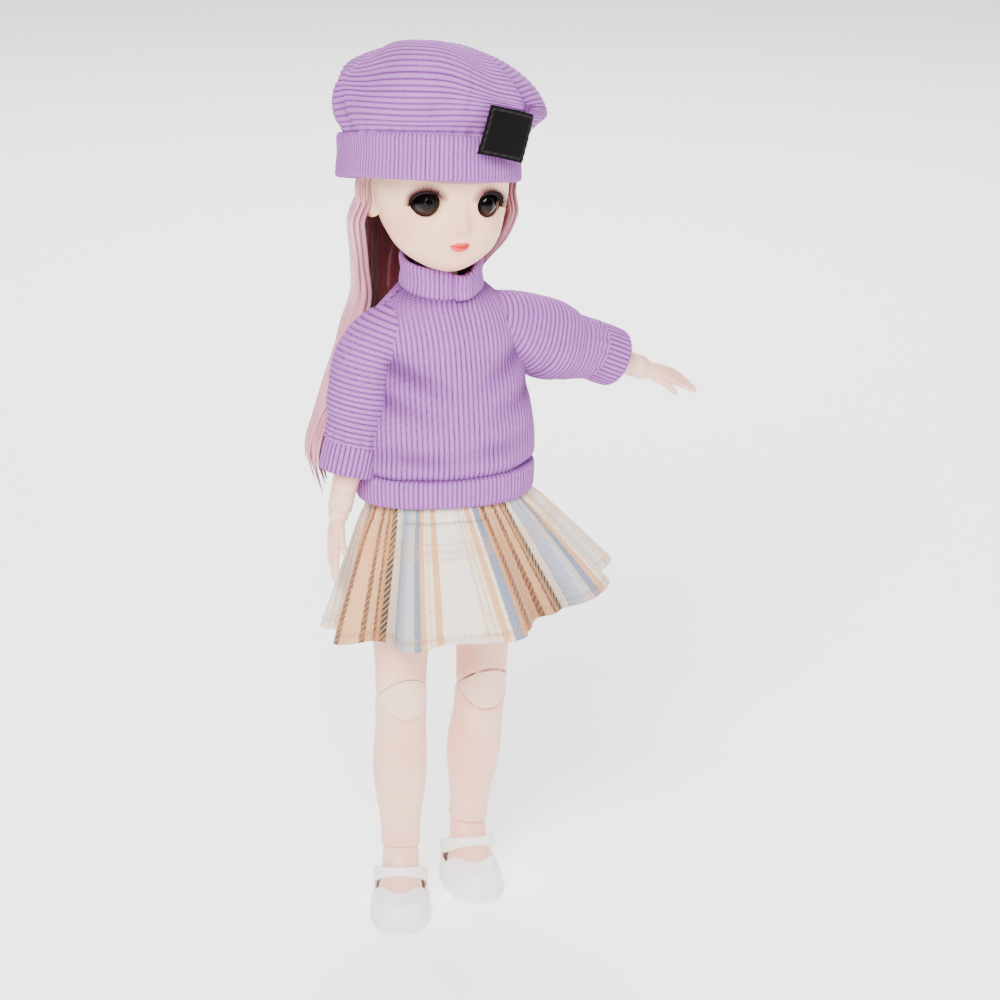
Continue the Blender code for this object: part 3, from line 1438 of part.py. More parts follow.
def sweater():
    """Body, hem band, collar, and a sleeve with its cuff on each side."""
    bottom = -HEM_BELOW_WAIST
    rings = {}
    for name, inset in (("outer", 0), ("inner", CLOTH)):
        rings[name] = [
            oval(
                HEM_WIDTH / 2 * size - inset,
                HEM_DEPTH / 2 * size - inset,
                (SWEATER_SHIFT, 0, bottom + HEM_HEIGHT * along),
                FINE + 8,
            )
            for along, size in HEM_SHARES
        ]
    hem = shell("sweater_hem", "waist_bend", "knit", rings["outer"], rings["inner"])

    start = bottom + HEM_HEIGHT + GAP
    slope = math.tan(COLLAR_SLOPE)
    for name, inset in (("outer", 0), ("inner", CLOTH)):
        run = []
        for along, width, depth, lean in BODY_SHARES:
            sink = inset * smooth((along - SHOULDER_SHARE) / (1 - SHOULDER_SHARE))
            rise = start + along * SWEATER_HEIGHT - sink
            centre = (SWEATER_SHIFT * (1 - along), NECK_SETBACK * lean, rise)
            half_x = SWEATER_BULGE / 2 * width - inset
            half_y = SWEATER_BULGE_DEPTH / 2 * depth - inset
            run.append(oval(half_x, half_y, centre, FINE + 6, slope=slope * lean))
        rings[name] = run
    body = shell("sweater_body", "waist_bend", "knit", rings["outer"], rings["inner"])

    top = start + SWEATER_HEIGHT + GAP
    for name, inset in (("outer", 0), ("inner", CLOTH)):
        rings[name] = [
            oval(
                COLLAR_WIDTH / 2 * size - inset,
                COLLAR_DEPTH / 2 * size - inset,
                (0, NECK_SETBACK, top + COLLAR_HEIGHT * along),
                FINE + 4,
                slope=slope,
            )
            for along, size in COLLAR_SHARES
        ]
    shell("sweater_collar", "waist_bend", "knit", rings["outer"], rings["inner"])

    for side in SIDES:
        sleeve_room, cuff_room = sleeve(side)
        cut(body, sleeve_room, cuff_room)
        cut(hem, cuff_room)


def sleeve(side):
    """Sleeve along the arm and the cuff at its end; the room that both take up."""
    tag = SIDES[side]
    chest_to_world = places["waist_bend"]
    arm_to_chest = chest_to_world.inverted() @ places[f"shoulder_raise_{tag}"]
    shoulder = arm_to_chest.to_translation()
    down = -(arm_to_chest.to_3x3() @ Vector((0, 0, 1)))
    armpit = Vector((shoulder.x - side * ARMHOLE_INSET, 0, shoulder.z - CLOTH - SLEEVE_RADIUS))
    end = shoulder + down * SLEEVE_END - above(down) * CUFF_RADIUS
    steps = COARSE + 2
    runs = {"room": [], "outer": [], "inner": []}
    for i in range(steps + 1):
        t = i / steps
        ahead = Vector((side, 0, 0)).slerp(down, smooth(t * SLEEVE_TURN))
        puff = SLEEVE_RADIUS + (SLEEVE_PUFF - SLEEVE_RADIUS) * math.sin(math.pi * t) ** 2
        size = puff - (puff - CUFF_RADIUS) * smooth((t - SLEEVE_GATHER_SHARE) / (1 - SLEEVE_GATHER_SHARE))
        upward = above(ahead)
        centre = armpit.lerp(end, t**SLEEVE_PIVOT_POWER) + upward * size
        sideways = ahead.cross(upward)
        for name, inset in (("room", -GAP), ("outer", 0), ("inner", CLOTH)):
            ring = []
            for k in range(PLAIN + 2):
                angle = math.tau * k / (PLAIN + 2)
                spot = upward * math.cos(angle) + sideways * math.sin(angle)
                ring.append(centre + spot * (size - inset))
            runs[name].append(ring)
    shell(f"sleeve_{tag}", "waist_bend", "knit", runs["outer"], runs["inner"])
    sleeve_room = make(f"sleeve_room_{tag}", closed_rings(runs["room"]), "waist_bend")

    cuff_start = UPPER_ARM_LENGTH - SLEEVE_END
    rings = {}
    for name, inset in (("outer", 0), ("inner", CLOTH)):
        rings[name] = []
        for along, share in CUFF_SHARES:
            radius = CUFF_RADIUS * share - inset
            rings[name].append(oval(radius, radius, (0, 0, cuff_start - GAP - CUFF_LENGTH * along), FINE))
    shell(f"cuff_{tag}", f"elbow_bend_{tag}", "knit", rings["outer"], rings["inner"])
    cuff_room = rod(
        f"cuff_room_{tag}",
        f"elbow_bend_{tag}",
        CUFF_RADIUS + GAP,
        cuff_start + GAP,
        cuff_start - CUFF_LENGTH - 2 * GAP,
        detail=FINE,
        hole=True,
    )
    return sleeve_room, cuff_room


def above(ahead):
    """Upward direction square to a direction."""
    upright = Vector((0, 0, 1))
    return (upright - ahead * ahead.z).normalized()


# Skirt

def skirt():
    """Waistband and the gathered skirt with its folds."""
    rings = {}
    for name, inset in (("outer", 0), ("inner", CLOTH)):
        rings[name] = [
            oval(WAISTBAND_WIDTH / 2 - inset, WAISTBAND_DEPTH / 2 - inset, (0, 0, z), FINE + 8)
            for z in (WAISTBAND_RISE - WAISTBAND_HEIGHT, WAISTBAND_RISE)
        ]
    shell("skirt_waistband", "pelvis_frame", "plaid", rings["outer"], rings["inner"])

    columns, rows = 6 * SKIRT_FOLDS, 5
    shape = bmesh.new()
    grid = []
    for j in range(rows + 1):
        t = j / rows
        row = []
        for i in range(columns):
            angle = math.tau * i / columns
            row.append(shape.verts.new(skirt_point(angle, t)))
        grid.append(row)
    for upper, lower in zip(grid, grid[1:]):
        for i in range(columns):
            j = (i + 1) % columns
            shape.faces.new((upper[i], upper[j], lower[j], lower[i]))
    piece = make("skirt", shape, "pelvis_frame", "plaid")
    thicken(piece, SKIRT_CLOTH)


def skirt_point(angle, t):
    """Point of the skirt at an angle around it and a share t down it."""
    flare = t**SKIRT_FLARE_POWER
    half_x = SKIRT_TOP_WIDTH / 2 + (SKIRT_HEM_WIDTH - SKIRT_TOP_WIDTH) / 2 * flare
    half_y = SKIRT_TOP_DEPTH / 2 + (SKIRT_HEM_DEPTH - SKIRT_TOP_DEPTH) / 2 * flare
    wave = math.cos(SKIRT_FOLDS * angle + SKIRT_FOLD_DRIFT * math.sin(2 * angle) + SKIRT_FOLD_PHASE)
    out = SKIRT_FOLD_DEPTH * t * wave
    side = (1 + math.cos(angle)) / 2
    x = (half_x + out) * math.cos(angle) + SKIRT_SHIFT * t
    y = (half_y + out) * math.sin(angle)
    z = SKIRT_TOP_RISE - SKIRT_LENGTH * t + SKIRT_LIFT * t * side**SKIRT_LIFT_POWER
    return Vector((x, y, z))


def centre_over_origin():
    """Slide the whole doll so that the middle of its bounding box stands over the origin."""
    bpy.context.view_layer.update()
    graph = bpy.context.evaluated_depsgraph_get()
    low, high = Vector((math.inf,) * 3), Vector((-math.inf,) * 3)
    for thing in pieces.objects:
        if thing.type != "MESH":
            continue
        copy = thing.evaluated_get(graph)
        for vertex in copy.to_mesh().vertices:
            point = copy.matrix_world @ vertex.co
            low = Vector(map(min, low, point))
            high = Vector(map(max, high, point))
        copy.to_mesh_clear()
    middle = (low + high) / 2
    bpy.data.objects["doll"].location = (-middle.x, -middle.y, -low.z)


def main():
    """Build the doll from the floor up."""
    empty_scene()
    place("doll", None, Matrix.Identity(4))
    hip_height, swing = stance()
    place("pelvis_frame", "doll", shift(0, 0, hip_height))
    trunk()
    for side, bend in ((RIGHT, 0.0), (LEFT, KNEE_BEND_LEFT)):
        leg(side, swing[side], bend)
        arm(side)
    head()
    wig()
    beret()
    sweater()
    skirt()
    centre_over_origin()


main()
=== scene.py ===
"""Ball jointed doll in a ribbed lilac sweater, a plaid skirt, a beret and long pink hair.

The doll stands on its soles at z = 0 and faces -Y, with its left side at +X.
Lengths are metres, and tables of shares give a size along a piece as a
share of the piece's own length, width or depth.
"""

import json
import logging
import math
from dataclasses import dataclass, field
from enum import Enum
from typing import Any

import bpy
import numpy as np
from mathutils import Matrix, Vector


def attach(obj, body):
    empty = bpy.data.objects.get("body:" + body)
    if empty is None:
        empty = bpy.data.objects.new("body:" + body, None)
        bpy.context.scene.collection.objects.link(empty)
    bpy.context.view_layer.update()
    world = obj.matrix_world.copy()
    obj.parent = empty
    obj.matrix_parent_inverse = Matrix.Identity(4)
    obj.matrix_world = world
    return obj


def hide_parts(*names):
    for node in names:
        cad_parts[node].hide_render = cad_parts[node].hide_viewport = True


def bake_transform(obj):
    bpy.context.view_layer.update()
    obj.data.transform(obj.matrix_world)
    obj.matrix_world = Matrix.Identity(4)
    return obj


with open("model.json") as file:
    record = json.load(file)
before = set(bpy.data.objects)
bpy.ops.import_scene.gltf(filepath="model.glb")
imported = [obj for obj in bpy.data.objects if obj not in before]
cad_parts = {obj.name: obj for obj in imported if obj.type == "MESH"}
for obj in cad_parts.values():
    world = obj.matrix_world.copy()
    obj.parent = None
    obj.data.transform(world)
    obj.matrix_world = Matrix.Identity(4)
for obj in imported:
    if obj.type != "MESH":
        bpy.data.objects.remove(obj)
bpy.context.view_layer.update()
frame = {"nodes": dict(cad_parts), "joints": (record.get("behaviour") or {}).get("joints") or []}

log = logging.getLogger("doll")
Array = np.ndarray
TAU = math.tau
FRONT = -math.pi / 2  # angle of the doll's front, with its left side at 0

# Half width of the round nose where a knee's two cuts meet
CUT_NOSE = 0.0011
# Height of a knitted rib, and the power that squares its crest
RIB_HEIGHT = 0.00034
RIB_POWER = 0.8
# Angle of the faces of a rounded rim, past which an edge stays sharp
SHARP_RIM = 50


class Side(Enum):
    """Side of the doll; the value is the sign of X."""

    RIGHT = -1
    LEFT = 1

    @property
    def tag(self) -> str:
        """Ending of the names of this side's nodes."""
        return self.name.lower()


# Numbers and matrices


def ease(t: Array) -> Array:
    """Smooth step from 0 to 1: three t squared less two t cubed."""
    t = np.clip(t, 0.0, 1.0)
    return t * t * (3 - 2 * t)


def bump(x: Array, middle: float, width: float) -> Array:
    """Bell curve of height 1: e to the minus square of the distance in widths."""
    return np.exp(-(((x - middle) / width) ** 2))


def through(knots: Any, t: Array) -> Array:
    """Smooth curve through rows of knots.

    Cubic pieces between the knots; the slope at each knot is that of its neighbours.

    Args:
        knots: Rows of a place followed by the values there.
        t: Places to work out, of any shape.

    Returns:
        The values, with one more axis than t.
    """
    knots = np.asarray(knots, float)
    x, y = knots[:, 0], knots[:, 1:]
    slopes = np.gradient(y, x, axis=0)
    i = np.clip(np.searchsorted(x, t, side="right") - 1, 0, len(x) - 2)
    step = (x[i + 1] - x[i])[..., None]
    s = np.clip((t - x[i])[..., None] / step, 0.0, 1.0)
    return (
        (1 + 2 * s) * (1 - s) ** 2 * y[i] + s * (1 - s) ** 2 * step * slopes[i] + s * s * (3 - 2 * s)
        * y[i + 1] - s * s * (1 - s) * step * slopes[i + 1]
    )


def about(axis: str, degrees: float) -> Array:
    """4 by 4 turn about a local axis."""
    c, s = math.cos(math.radians(degrees)), math.sin(math.radians(degrees))
    turned = np.eye(4)
    i, j = {"X": (1, 2), "Y": (2, 0), "Z": (0, 1)}[axis]
    turned[i, i], turned[i, j], turned[j, i], turned[j, j] = c, -s, s, c
    return turned


def at(x: float, y: float, z: float) -> Array:
    """4 by 4 shift."""
    moved = np.eye(4)
    moved[:3, 3] = x, y, z
    return moved


def put(matrix: Array, points: Array) -> Array:
    """Points of any grid shape, moved by a 4 by 4 matrix."""
    return points @ matrix[:3, :3].T + matrix[:3, 3]


def unit(v: Array) -> Array:
    """Vectors scaled to length 1."""
    return v / np.maximum(np.linalg.norm(v, axis=-1, keepdims=True), 1e-12)


def circle(columns: int, start: float = 0.0) -> Array:
    """Even angles once round, from a start angle."""
    return np.linspace(start, start + TAU, columns, endpoint=False)


def disc(columns: int, power: float = 2.0) -> Array:
    """Cosine and sine of even angles, to the power 2 / power: 2 gives a circle, more a squarer ring."""
    wave = np.stack([np.cos(circle(columns)), np.sin(circle(columns))], -1)
    return np.sign(wave) * np.abs(wave) ** (2 / power)


class Skeleton:
    """Places and axes of the joints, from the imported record."""

    def __init__(self, joints: list[dict[str, Any]]) -> None:
        """Keeps the joints by name."""
        self.joints = {joint["name"]: joint for joint in joints}

    def place(self, joint: str) -> Array:
        """Pivot of a joint."""
        return np.array(self.joints[joint]["pos_m"], float)

    def axis(self, joint: str) -> Array:
        """Unit axis of a joint."""
        return unit(np.array(self.joints[joint]["axis"], float))

    def limb(self, start: Array, end: Array, across: Array) -> Array:
        """Frame of a limb.

        Z runs from end to start, and X is the across axis made square to it,
        on the side of the doll's left.

        Args:
            start: Upper pivot, the frame's origin.
            end: Lower pivot.
            across: Axis of the pin through the limb.

        Returns:
            4 by 4 matrix from the limb to the row frame.
        """
        z = unit(start - end)
        x = unit(across - z * (across @ z))
        x = x * math.copysign(1, x[0])
        matrix = np.eye(4)
        matrix[:3, 0], matrix[:3, 1], matrix[:3, 2], matrix[:3, 3] = x, np.cross(z, x), z, start
        return matrix


# Meshes


def grid_normals(grid: Array, closed: bool) -> Array:
    """Unit normals of a grid: cross product of its two differences.

    Args:
        grid: Points, rows by columns by 3.
        closed: Whether the last column joins the first.

    Returns:
        Normals that point right of the way from row to row.
    """
    along = np.gradient(grid, axis=0)
    if closed:
        around = np.roll(grid, -1, axis=1) - np.roll(grid, 1, axis=1)
    else:
        around = np.gradient(grid, axis=1)
    return unit(np.cross(around, along))


def make_object(
    name: str, points: Array, faces: list[Any], uv: Array | None = None,
    marks: dict[str, Array] | None = None,
) -> bpy.types.Object:
    """Mesh object at the origin from points and faces.

    Args:
        name: Object's name.
        points: Vertices, n by 3.
        faces: Vertex indices of each face.
        uv: One pair per face corner.
        marks: Named point values for the finish to read.

    Returns:
        The smooth shaded object.
    """
    mesh = bpy.data.meshes.new(name)
    mesh.from_pydata(points.tolist(), [], faces)
    mesh.update()
    if uv is not None:
        mesh.uv_layers.new(name="UVMap").data.foreach_set("uv", np.asarray(uv, np.float32).ravel())
    for key, values in (marks or {}).items():
        layer = mesh.attributes.new(key, "FLOAT", "POINT")
        layer.data.foreach_set("value", np.asarray(values, np.float32).ravel())
    mesh.shade_smooth()
    made = bpy.data.objects.new(name, mesh)
    bpy.context.scene.collection.objects.link(made)
    return made


def surface(
    name: str, grid: Array, closed: bool = True, ends: bool = True, uv: Array | None = None,
    marks: dict[str, Array] | None = None, ring: bool = False,
) -> bpy.types.Object:
    """Quads over a grid of points, with each end closed by a fan.

    Args:
        name: Object's name.
        grid: Points, rows by columns by 3.
        closed: Whether the last column joins the first.
        ends: Whether the first and last rows are closed by a point at their middle.
        uv: Rows by columns (one more where closed) by 2.
        marks: Named values, rows by columns each.
        ring: Whether the last row joins the first.

    Returns:
        The object, with its faces outwards where it is a closed body.
    """
    rows, columns = grid.shape[:2]
    last_row = rows if ring else rows - 1
    last_column = columns if closed else columns - 1
    i, j = np.meshgrid(np.arange(last_row), np.arange(last_column), indexing="ij")
    k, n = (i + 1) % rows, (j + 1) % columns
    quads = np.stack(
        [i * columns + j, i * columns + n, k * columns + n, k * columns + j], -1,
    ).reshape(-1, 4)
    points = grid.reshape(-1, 3)
    corner = None
    if uv is not None:
        m = j + 1
        corner = np.stack([uv[i, j], uv[i, m], uv[k, m], uv[k, j]], -2).reshape(-1, 4, 2)
    values = {key: np.asarray(mark, float).ravel() for key, mark in (marks or {}).items()}
    faces: list[Any] = []
    fans = []
    if ends:
        total = len(points)
        points = np.vstack([points, grid[0].mean(0), grid[-1].mean(0)])
        step = np.arange(columns)
        after = (step + 1) % columns
        first = np.stack([np.full(columns, total), after, step], -1)
        base = (rows - 1) * columns
        final = np.stack([np.full(columns, total + 1), base + step, base + after], -1)
        fans = [first, final]
        for key in values:
            mark = np.asarray(marks[key], float)
            values[key] = np.append(values[key], [mark[0].mean(), mark[-1].mean()])
    if closed and not (ends or ring):
        a, b, c = (points[quads[:, q]] for q in (0, 1, 3))
        away = a - np.repeat(grid.mean(1), columns, 0).reshape(rows, columns, 3)[i, j].reshape(-1, 3)
        if float(np.einsum("ij,ij->", np.cross(b - a, c - a), away)) < 0:
            quads = quads[:, ::-1]
            corner = None if corner is None else corner[:, ::-1]
    if ends or ring:
        triangles = np.vstack([quads[:, [0, 1, 2]], quads[:, [0, 2, 3]]] + fans)
        a, b, c = (points[triangles[:, q]] for q in range(3))
        if float(np.einsum("ij,ij->i", a, np.cross(b, c)).sum()) < 0:
            quads = quads[:, ::-1]
            corner = None if corner is None else corner[:, ::-1]
            fans = [fan[:, ::-1] for fan in fans]
    faces = quads.tolist()
    for fan in fans:
        faces += fan.tolist()
    pairs = None
    if corner is not None:
        pairs = corner.reshape(-1, 2)
        for fan, row in zip(fans, (0, -1)):
            edge = np.repeat(uv[row].mean(0)[None], len(fan) * 3, 0)
            pairs = np.vstack([pairs, edge])
    return make_object(name, points, faces, pairs, values)


def joined(name: str, parts: list[bpy.types.Object]) -> bpy.types.Object:
    """One object from several, in the order given."""
    bpy.ops.object.select_all(action="DESELECT")
    for part in parts:
        part.select_set(True)
    bpy.context.view_layer.objects.active = parts[0]
    bpy.ops.object.join()
    parts[0].name = name
    parts[0].data.name = name
    return parts[0]


def settle(piece: bpy.types.Object) -> bpy.types.Object:
    """Applies the modifiers of a piece to its mesh."""
    bpy.context.view_layer.update()
    graph = bpy.context.evaluated_depsgraph_get()
    mesh = bpy.data.meshes.new_from_object(piece.evaluated_get(graph))
    old = piece.data
    piece.modifiers.clear()
    piece.data = mesh
    bpy.data.meshes.remove(old)
    mesh.name = piece.name
    mesh.shade_smooth()
    return piece


def thicken(piece: bpy.types.Object, thickness: float) -> bpy.types.Object:
    """Gives a sheet its wall on the inner side."""
    wall = piece.modifiers.new("wall", "SOLIDIFY")
    wall.thickness = thickness
    wall.offset = -1
    return piece


def sharpen(piece: bpy.types.Object, degrees: float = 40) -> bpy.types.Object:
    """Marks the edges sharper than an angle."""
    piece.data.set_sharp_from_angle(angle=math.radians(degrees))
    return piece


# Finishes


def srgb(code: str) -> tuple[float, ...]:
    """Linear colour of an sRGB hex value."""
    shown = np.array([int(code[i : i + 2], 16) for i in (1, 3, 5)]) / 255
    linear = np.where(shown <= 0.04045, shown / 12.92, ((shown + 0.055) / 1.055) ** 2.4)
    return (*map(float, linear), 1.0)


def per_mm(size: float) -> float:
    """Scale of a pattern whose cells are this many millimetres wide."""
    return 1000.0 / size


def waves(size: float) -> float:
    """Scale of a wave that repeats at this many millimetres of cloth; a wave has 20 / tau turns in a unit."""
    return TAU / size / 20


# Sockets of the Mix node that blends two colours
MIX_A, MIX_B, MIX_OUT = 6, 7, 2


def fill(tree: bpy.types.NodeTree, node: bpy.types.Node, settings: dict[Any, Any]) -> None:
    """Gives a node's sockets a value, a hex colour or a link to a source written as "node.socket"."""
    for key, value in settings.items():
        if not isinstance(value, str):
            node.inputs[key].default_value = value
        elif value.startswith("#"):
            node.inputs[key].default_value = srgb(value)
        else:
            name, _, socket = value.partition(".")
            source = tree.nodes[name]
            first = MIX_OUT if source.bl_idname == "ShaderNodeMix" else 0
            tree.links.new(source.outputs[socket or first], node.inputs[key])


def add_node(
    tree: bpy.types.NodeTree, name: str, kind: str, settings: dict[Any, Any] | None = None,
    **properties: Any,
) -> str:
    """Adds one node.

    Args:
        tree: Node tree.
        name: The node's name, for links.
        kind: Node type, without its ShaderNode prefix.
        settings: What each socket takes, by the socket's name or number.
        properties: Settings of the node itself; stops are a ramp's places, each with a hex colour or a grey.

    Returns:
        The node's name.
    """
    made = tree.nodes.new("ShaderNode" + kind)
    made.name = name
    if kind == "Mix":
        made.data_type = "RGBA"
    if "stops" in properties:
        stops, ramp = properties.pop("stops"), made.color_ramp
        ramp.interpolation = properties.pop("interpolation", "LINEAR")
        while len(ramp.elements) < len(stops):
            ramp.elements.new(1.0)
        for element, (place, colour) in zip(ramp.elements, stops):
            element.position = place
            element.color = srgb(colour) if isinstance(colour, str) else (colour, colour, colour, 1.0)
    for key, value in properties.items():
        setattr(made, key, value)
    fill(tree, made, settings or {})
    return name


@dataclass(frozen=True)
class Finish:
    """Base of every finish: a principled surface whose nodes a subclass adds."""

    title: str

    def material(self) -> bpy.types.Material:
        """The finish's material, made once."""
        made = bpy.data.materials.get(self.title)
        if made is None:
            made = bpy.data.materials.new(self.title)
            made.use_nodes = True
            tree = made.node_tree
            tree.nodes.clear()
            add_node(tree, "shader", "BsdfPrincipled")
            add_node(tree, "output", "OutputMaterial", {"Surface": "shader"})
            add_node(tree, "at", "TexCoord")
            fill(tree, tree.nodes["shader"], self.paint(tree))
        return made

    def paint(self, tree: bpy.types.NodeTree) -> dict[str, Any]:
        """Adds the finish's nodes and gives what the shader's sockets take."""
        raise NotImplementedError

    def dress(self, piece: bpy.types.Object, slot: str) -> None:
        """Puts the finish on a piece."""
        piece.data.materials.clear()
        piece.data.materials.append(self.material())


@dataclass(frozen=True)
class MouldedVinyl(Finish):
    """Matt rotocast vinyl: a soft, slightly waxy skin that lets some light in."""

    colour: str = "#F5C4AE"
    warm: str = "#EBAB98"
    roughness: float = 0.44

    def paint(self, tree: bpy.types.NodeTree) -> dict[str, Any]:
        """Mottling of two tones, a faint moulded grain and light under the skin."""
        low, high = self.roughness - 0.05, self.roughness + 0.07
        add_node(
            tree, "mottle", "TexNoise",
            {"Scale": per_mm(14), "Detail": 3.0, "Roughness": 0.5, "Vector": "at.Object"},
        )
        add_node(tree, "tone", "ValToRGB", {"Fac": "mottle"}, stops=[(0.3, self.colour), (0.85, self.warm)])
        # The grain of the mould is near 0.1 mm, and is drawn at 0.35 mm to show
        add_node(tree, "grain", "TexNoise", {"Scale": per_mm(0.35), "Detail": 2.0, "Vector": "at.Object"})
        add_node(tree, "lift", "Bump", {"Strength": 0.12, "Distance": 0.00003, "Height": "grain"})
        add_node(tree, "satin", "MapRange", {"To Min": low, "To Max": high, "Value": "mottle"})
        return {
            "Base Color": self.tint(tree, "tone"), "Roughness": "satin", "Normal": "lift", "IOR": 1.48,
            "Subsurface Weight": 0.16, "Subsurface Radius": (0.9, 0.35, 0.22), "Subsurface Scale": 0.0022,
        }

    def tint(self, tree: bpy.types.NodeTree, colour: str) -> str:
        """Colour after any painting; plain vinyl has none."""
        return colour


@dataclass(frozen=True)
class PaintedVinyl(MouldedVinyl):
    """Face vinyl with airbrushed lips, cheeks and eyelids, and painted shade on the chin and ears, read from
    the mesh's marks.
    """

    colour: str = "#F8CDAA"
    warm: str = "#F0B896"
    roughness: float = 0.40
    # The blush paint also lays painted shade on the chin and in the ears' hollows; the ear paint is a painted
    # shadow along the rim
    paints: tuple[tuple[str, str], ...] = (
        ("blush", "#EE9E88"), ("lid_shade", "#84474F"), ("lips", "#DE2320"), ("lip_line", "#960F1C"),
        ("brow", "#A87A68"), ("ear_line", "#8E3F18"),
    )

    def tint(self, tree: bpy.types.NodeTree, colour: str) -> str:
        """Lays each paint over the last, as thick as its mark says."""
        for mark, paint in self.paints:
            add_node(tree, mark, "Attribute", attribute_name=mark)
            colour = add_node(tree, f"over_{mark}", "Mix", {0: f"{mark}.Fac", MIX_A: colour, MIX_B: paint})
        return colour


@dataclass(frozen=True)
class CastEye(Finish):
    """Cast acrylic eye: a dark iris, lighter at its foot, under a clear gloss."""

    def paint(self, tree: bpy.types.NodeTree) -> dict[str, Any]:
        """Rings by the distance from the pupil, which the mesh carries as a mark."""
        add_node(tree, "ring", "Attribute", attribute_name="from_pupil")
        add_node(tree, "foot", "Attribute", attribute_name="iris_foot")
        add_node(tree, "fleck", "TexNoise", {"Scale": per_mm(0.5), "Detail": 3.0, "Vector": "at.Object"})
        add_node(
            tree, "iris", "ValToRGB", {"Fac": "foot.Fac"}, stops=[(0.15, "#050404"), (0.95, "#2A1712")],
        )
        add_node(
            tree, "flecked", "Mix", {0: 0.25, MIX_A: "iris", MIX_B: "fleck.Color"}, blend_type="MULTIPLY",
        )
        # Pupil, iris and its dark outer ring, then the white
        bands = [(0.0, 0), (0.22, 0), (0.27, 1), (0.74, 1), (0.82, 0)]
        add_node(tree, "bands", "ValToRGB", {"Fac": "ring.Fac"}, stops=bands)
        add_node(tree, "dark", "Mix", {0: "bands", MIX_A: "#020202", MIX_B: "flecked"})
        add_node(tree, "white", "ValToRGB", {"Fac": "ring.Fac"}, stops=[(0.90, 0), (0.93, 1)])
        add_node(tree, "whole", "Mix", {0: "white", MIX_A: "dark", MIX_B: "#D9C4BC"})
        return {
            "Base Color": "whole", "Roughness": 0.06, "IOR": 1.49, "Specular IOR Level": 0.10,
            "Coat Weight": 0.10, "Coat Roughness": 0.03,
        }


@dataclass(frozen=True)
class CordedJersey(Finish):
    """Brushed ribbed jersey: rounded wales with painted shade in their grooves and a fine fuzz that scatters
    light.
    """

    crest: str = "#A96CB4"
    flank: str = "#884A9A"
    groove: str = "#4A2260"

    def paint(self, tree: bpy.types.NodeTree) -> dict[str, Any]:
        """Colour by the height on the wale, painted shade in folds, a mottled yarn and knit stitches along
        each wale.
        """
        # The darker groove and flank colours are painted shade in the ribs' recesses
        wale = [(0.0, self.groove), (0.42, self.flank), (0.9, self.crest)]
        add_node(tree, "wale", "Attribute", attribute_name="wale")
        add_node(tree, "dyed", "ValToRGB", {"Fac": "wale.Fac"}, stops=wale)
        # Single fibres are near 0.03 mm, and the yarn's mottling is drawn at 0.7 mm to show
        add_node(tree, "yarn", "TexNoise", {"Scale": per_mm(0.7), "Detail": 4.0, "Vector": "at.Object"})
        add_node(tree, "worn", "TexNoise", {"Scale": per_mm(22), "Detail": 2.0, "Vector": "at.Object"})
        add_node(tree, "speck", "ValToRGB", {"Fac": "yarn"}, stops=[(0.3, "#C9BCD2"), (0.7, 1)])
        add_node(tree, "mottled", "Mix", {0: 0.55, MIX_A: "dyed", MIX_B: "speck"}, blend_type="MULTIPLY")
        # Painted shade: darker where the mesh's shade mark says, in folds, tucks and below the collar
        add_node(tree, "deep", "Attribute", attribute_name="shade")
        add_node(
            tree, "folded", "Mix", {0: "deep.Fac", MIX_A: "mottled", MIX_B: "#5B3B6C"},
            blend_type="MULTIPLY",
        )
        add_node(tree, "tone", "MapRange", {"To Min": 0.93, "To Max": 1.07, "Value": "worn"})
        add_node(tree, "shaded", "HueSaturation", {"Value": "tone", "Color": "folded"})
        # Stitches are near 0.4 mm long, and are drawn at 0.8 mm to show
        stitch = {
            "Scale": waves(0.8), "Distortion": 1.2, "Detail": 1.0, "Detail Scale": 1.5, "Vector": "at.UV",
        }
        add_node(tree, "stitch", "TexWave", stitch, bands_direction="Y")
        add_node(tree, "rough", "Mix", {0: 0.5, MIX_A: "yarn.Color", MIX_B: "stitch"})
        add_node(tree, "lift", "Bump", {"Strength": 0.5, "Distance": 0.00018, "Height": "rough"})
        return {
            "Base Color": "shaded", "Normal": "lift", "Roughness": 0.92, "Sheen Weight": 0.10,
            "Sheen Roughness": 0.5, "Sheen Tint": "#D9B8E2", "Specular IOR Level": 0.12,
        }


class Warp(Enum):
    """Yarn colours of the plaid."""

    CREAM = "#E9DCC8"
    WHITE = "#EEE6DE"
    TAN = "#DCA87C"
    ORANGE = "#CB9060"
    BROWN = "#774631"
    BLUE = "#A0A8BC"
    SLATE = "#7C849A"
    GREY = "#BDB5B8"
    CHARCOAL = "#2C2826"
    BLUSH = "#E4C3A8"


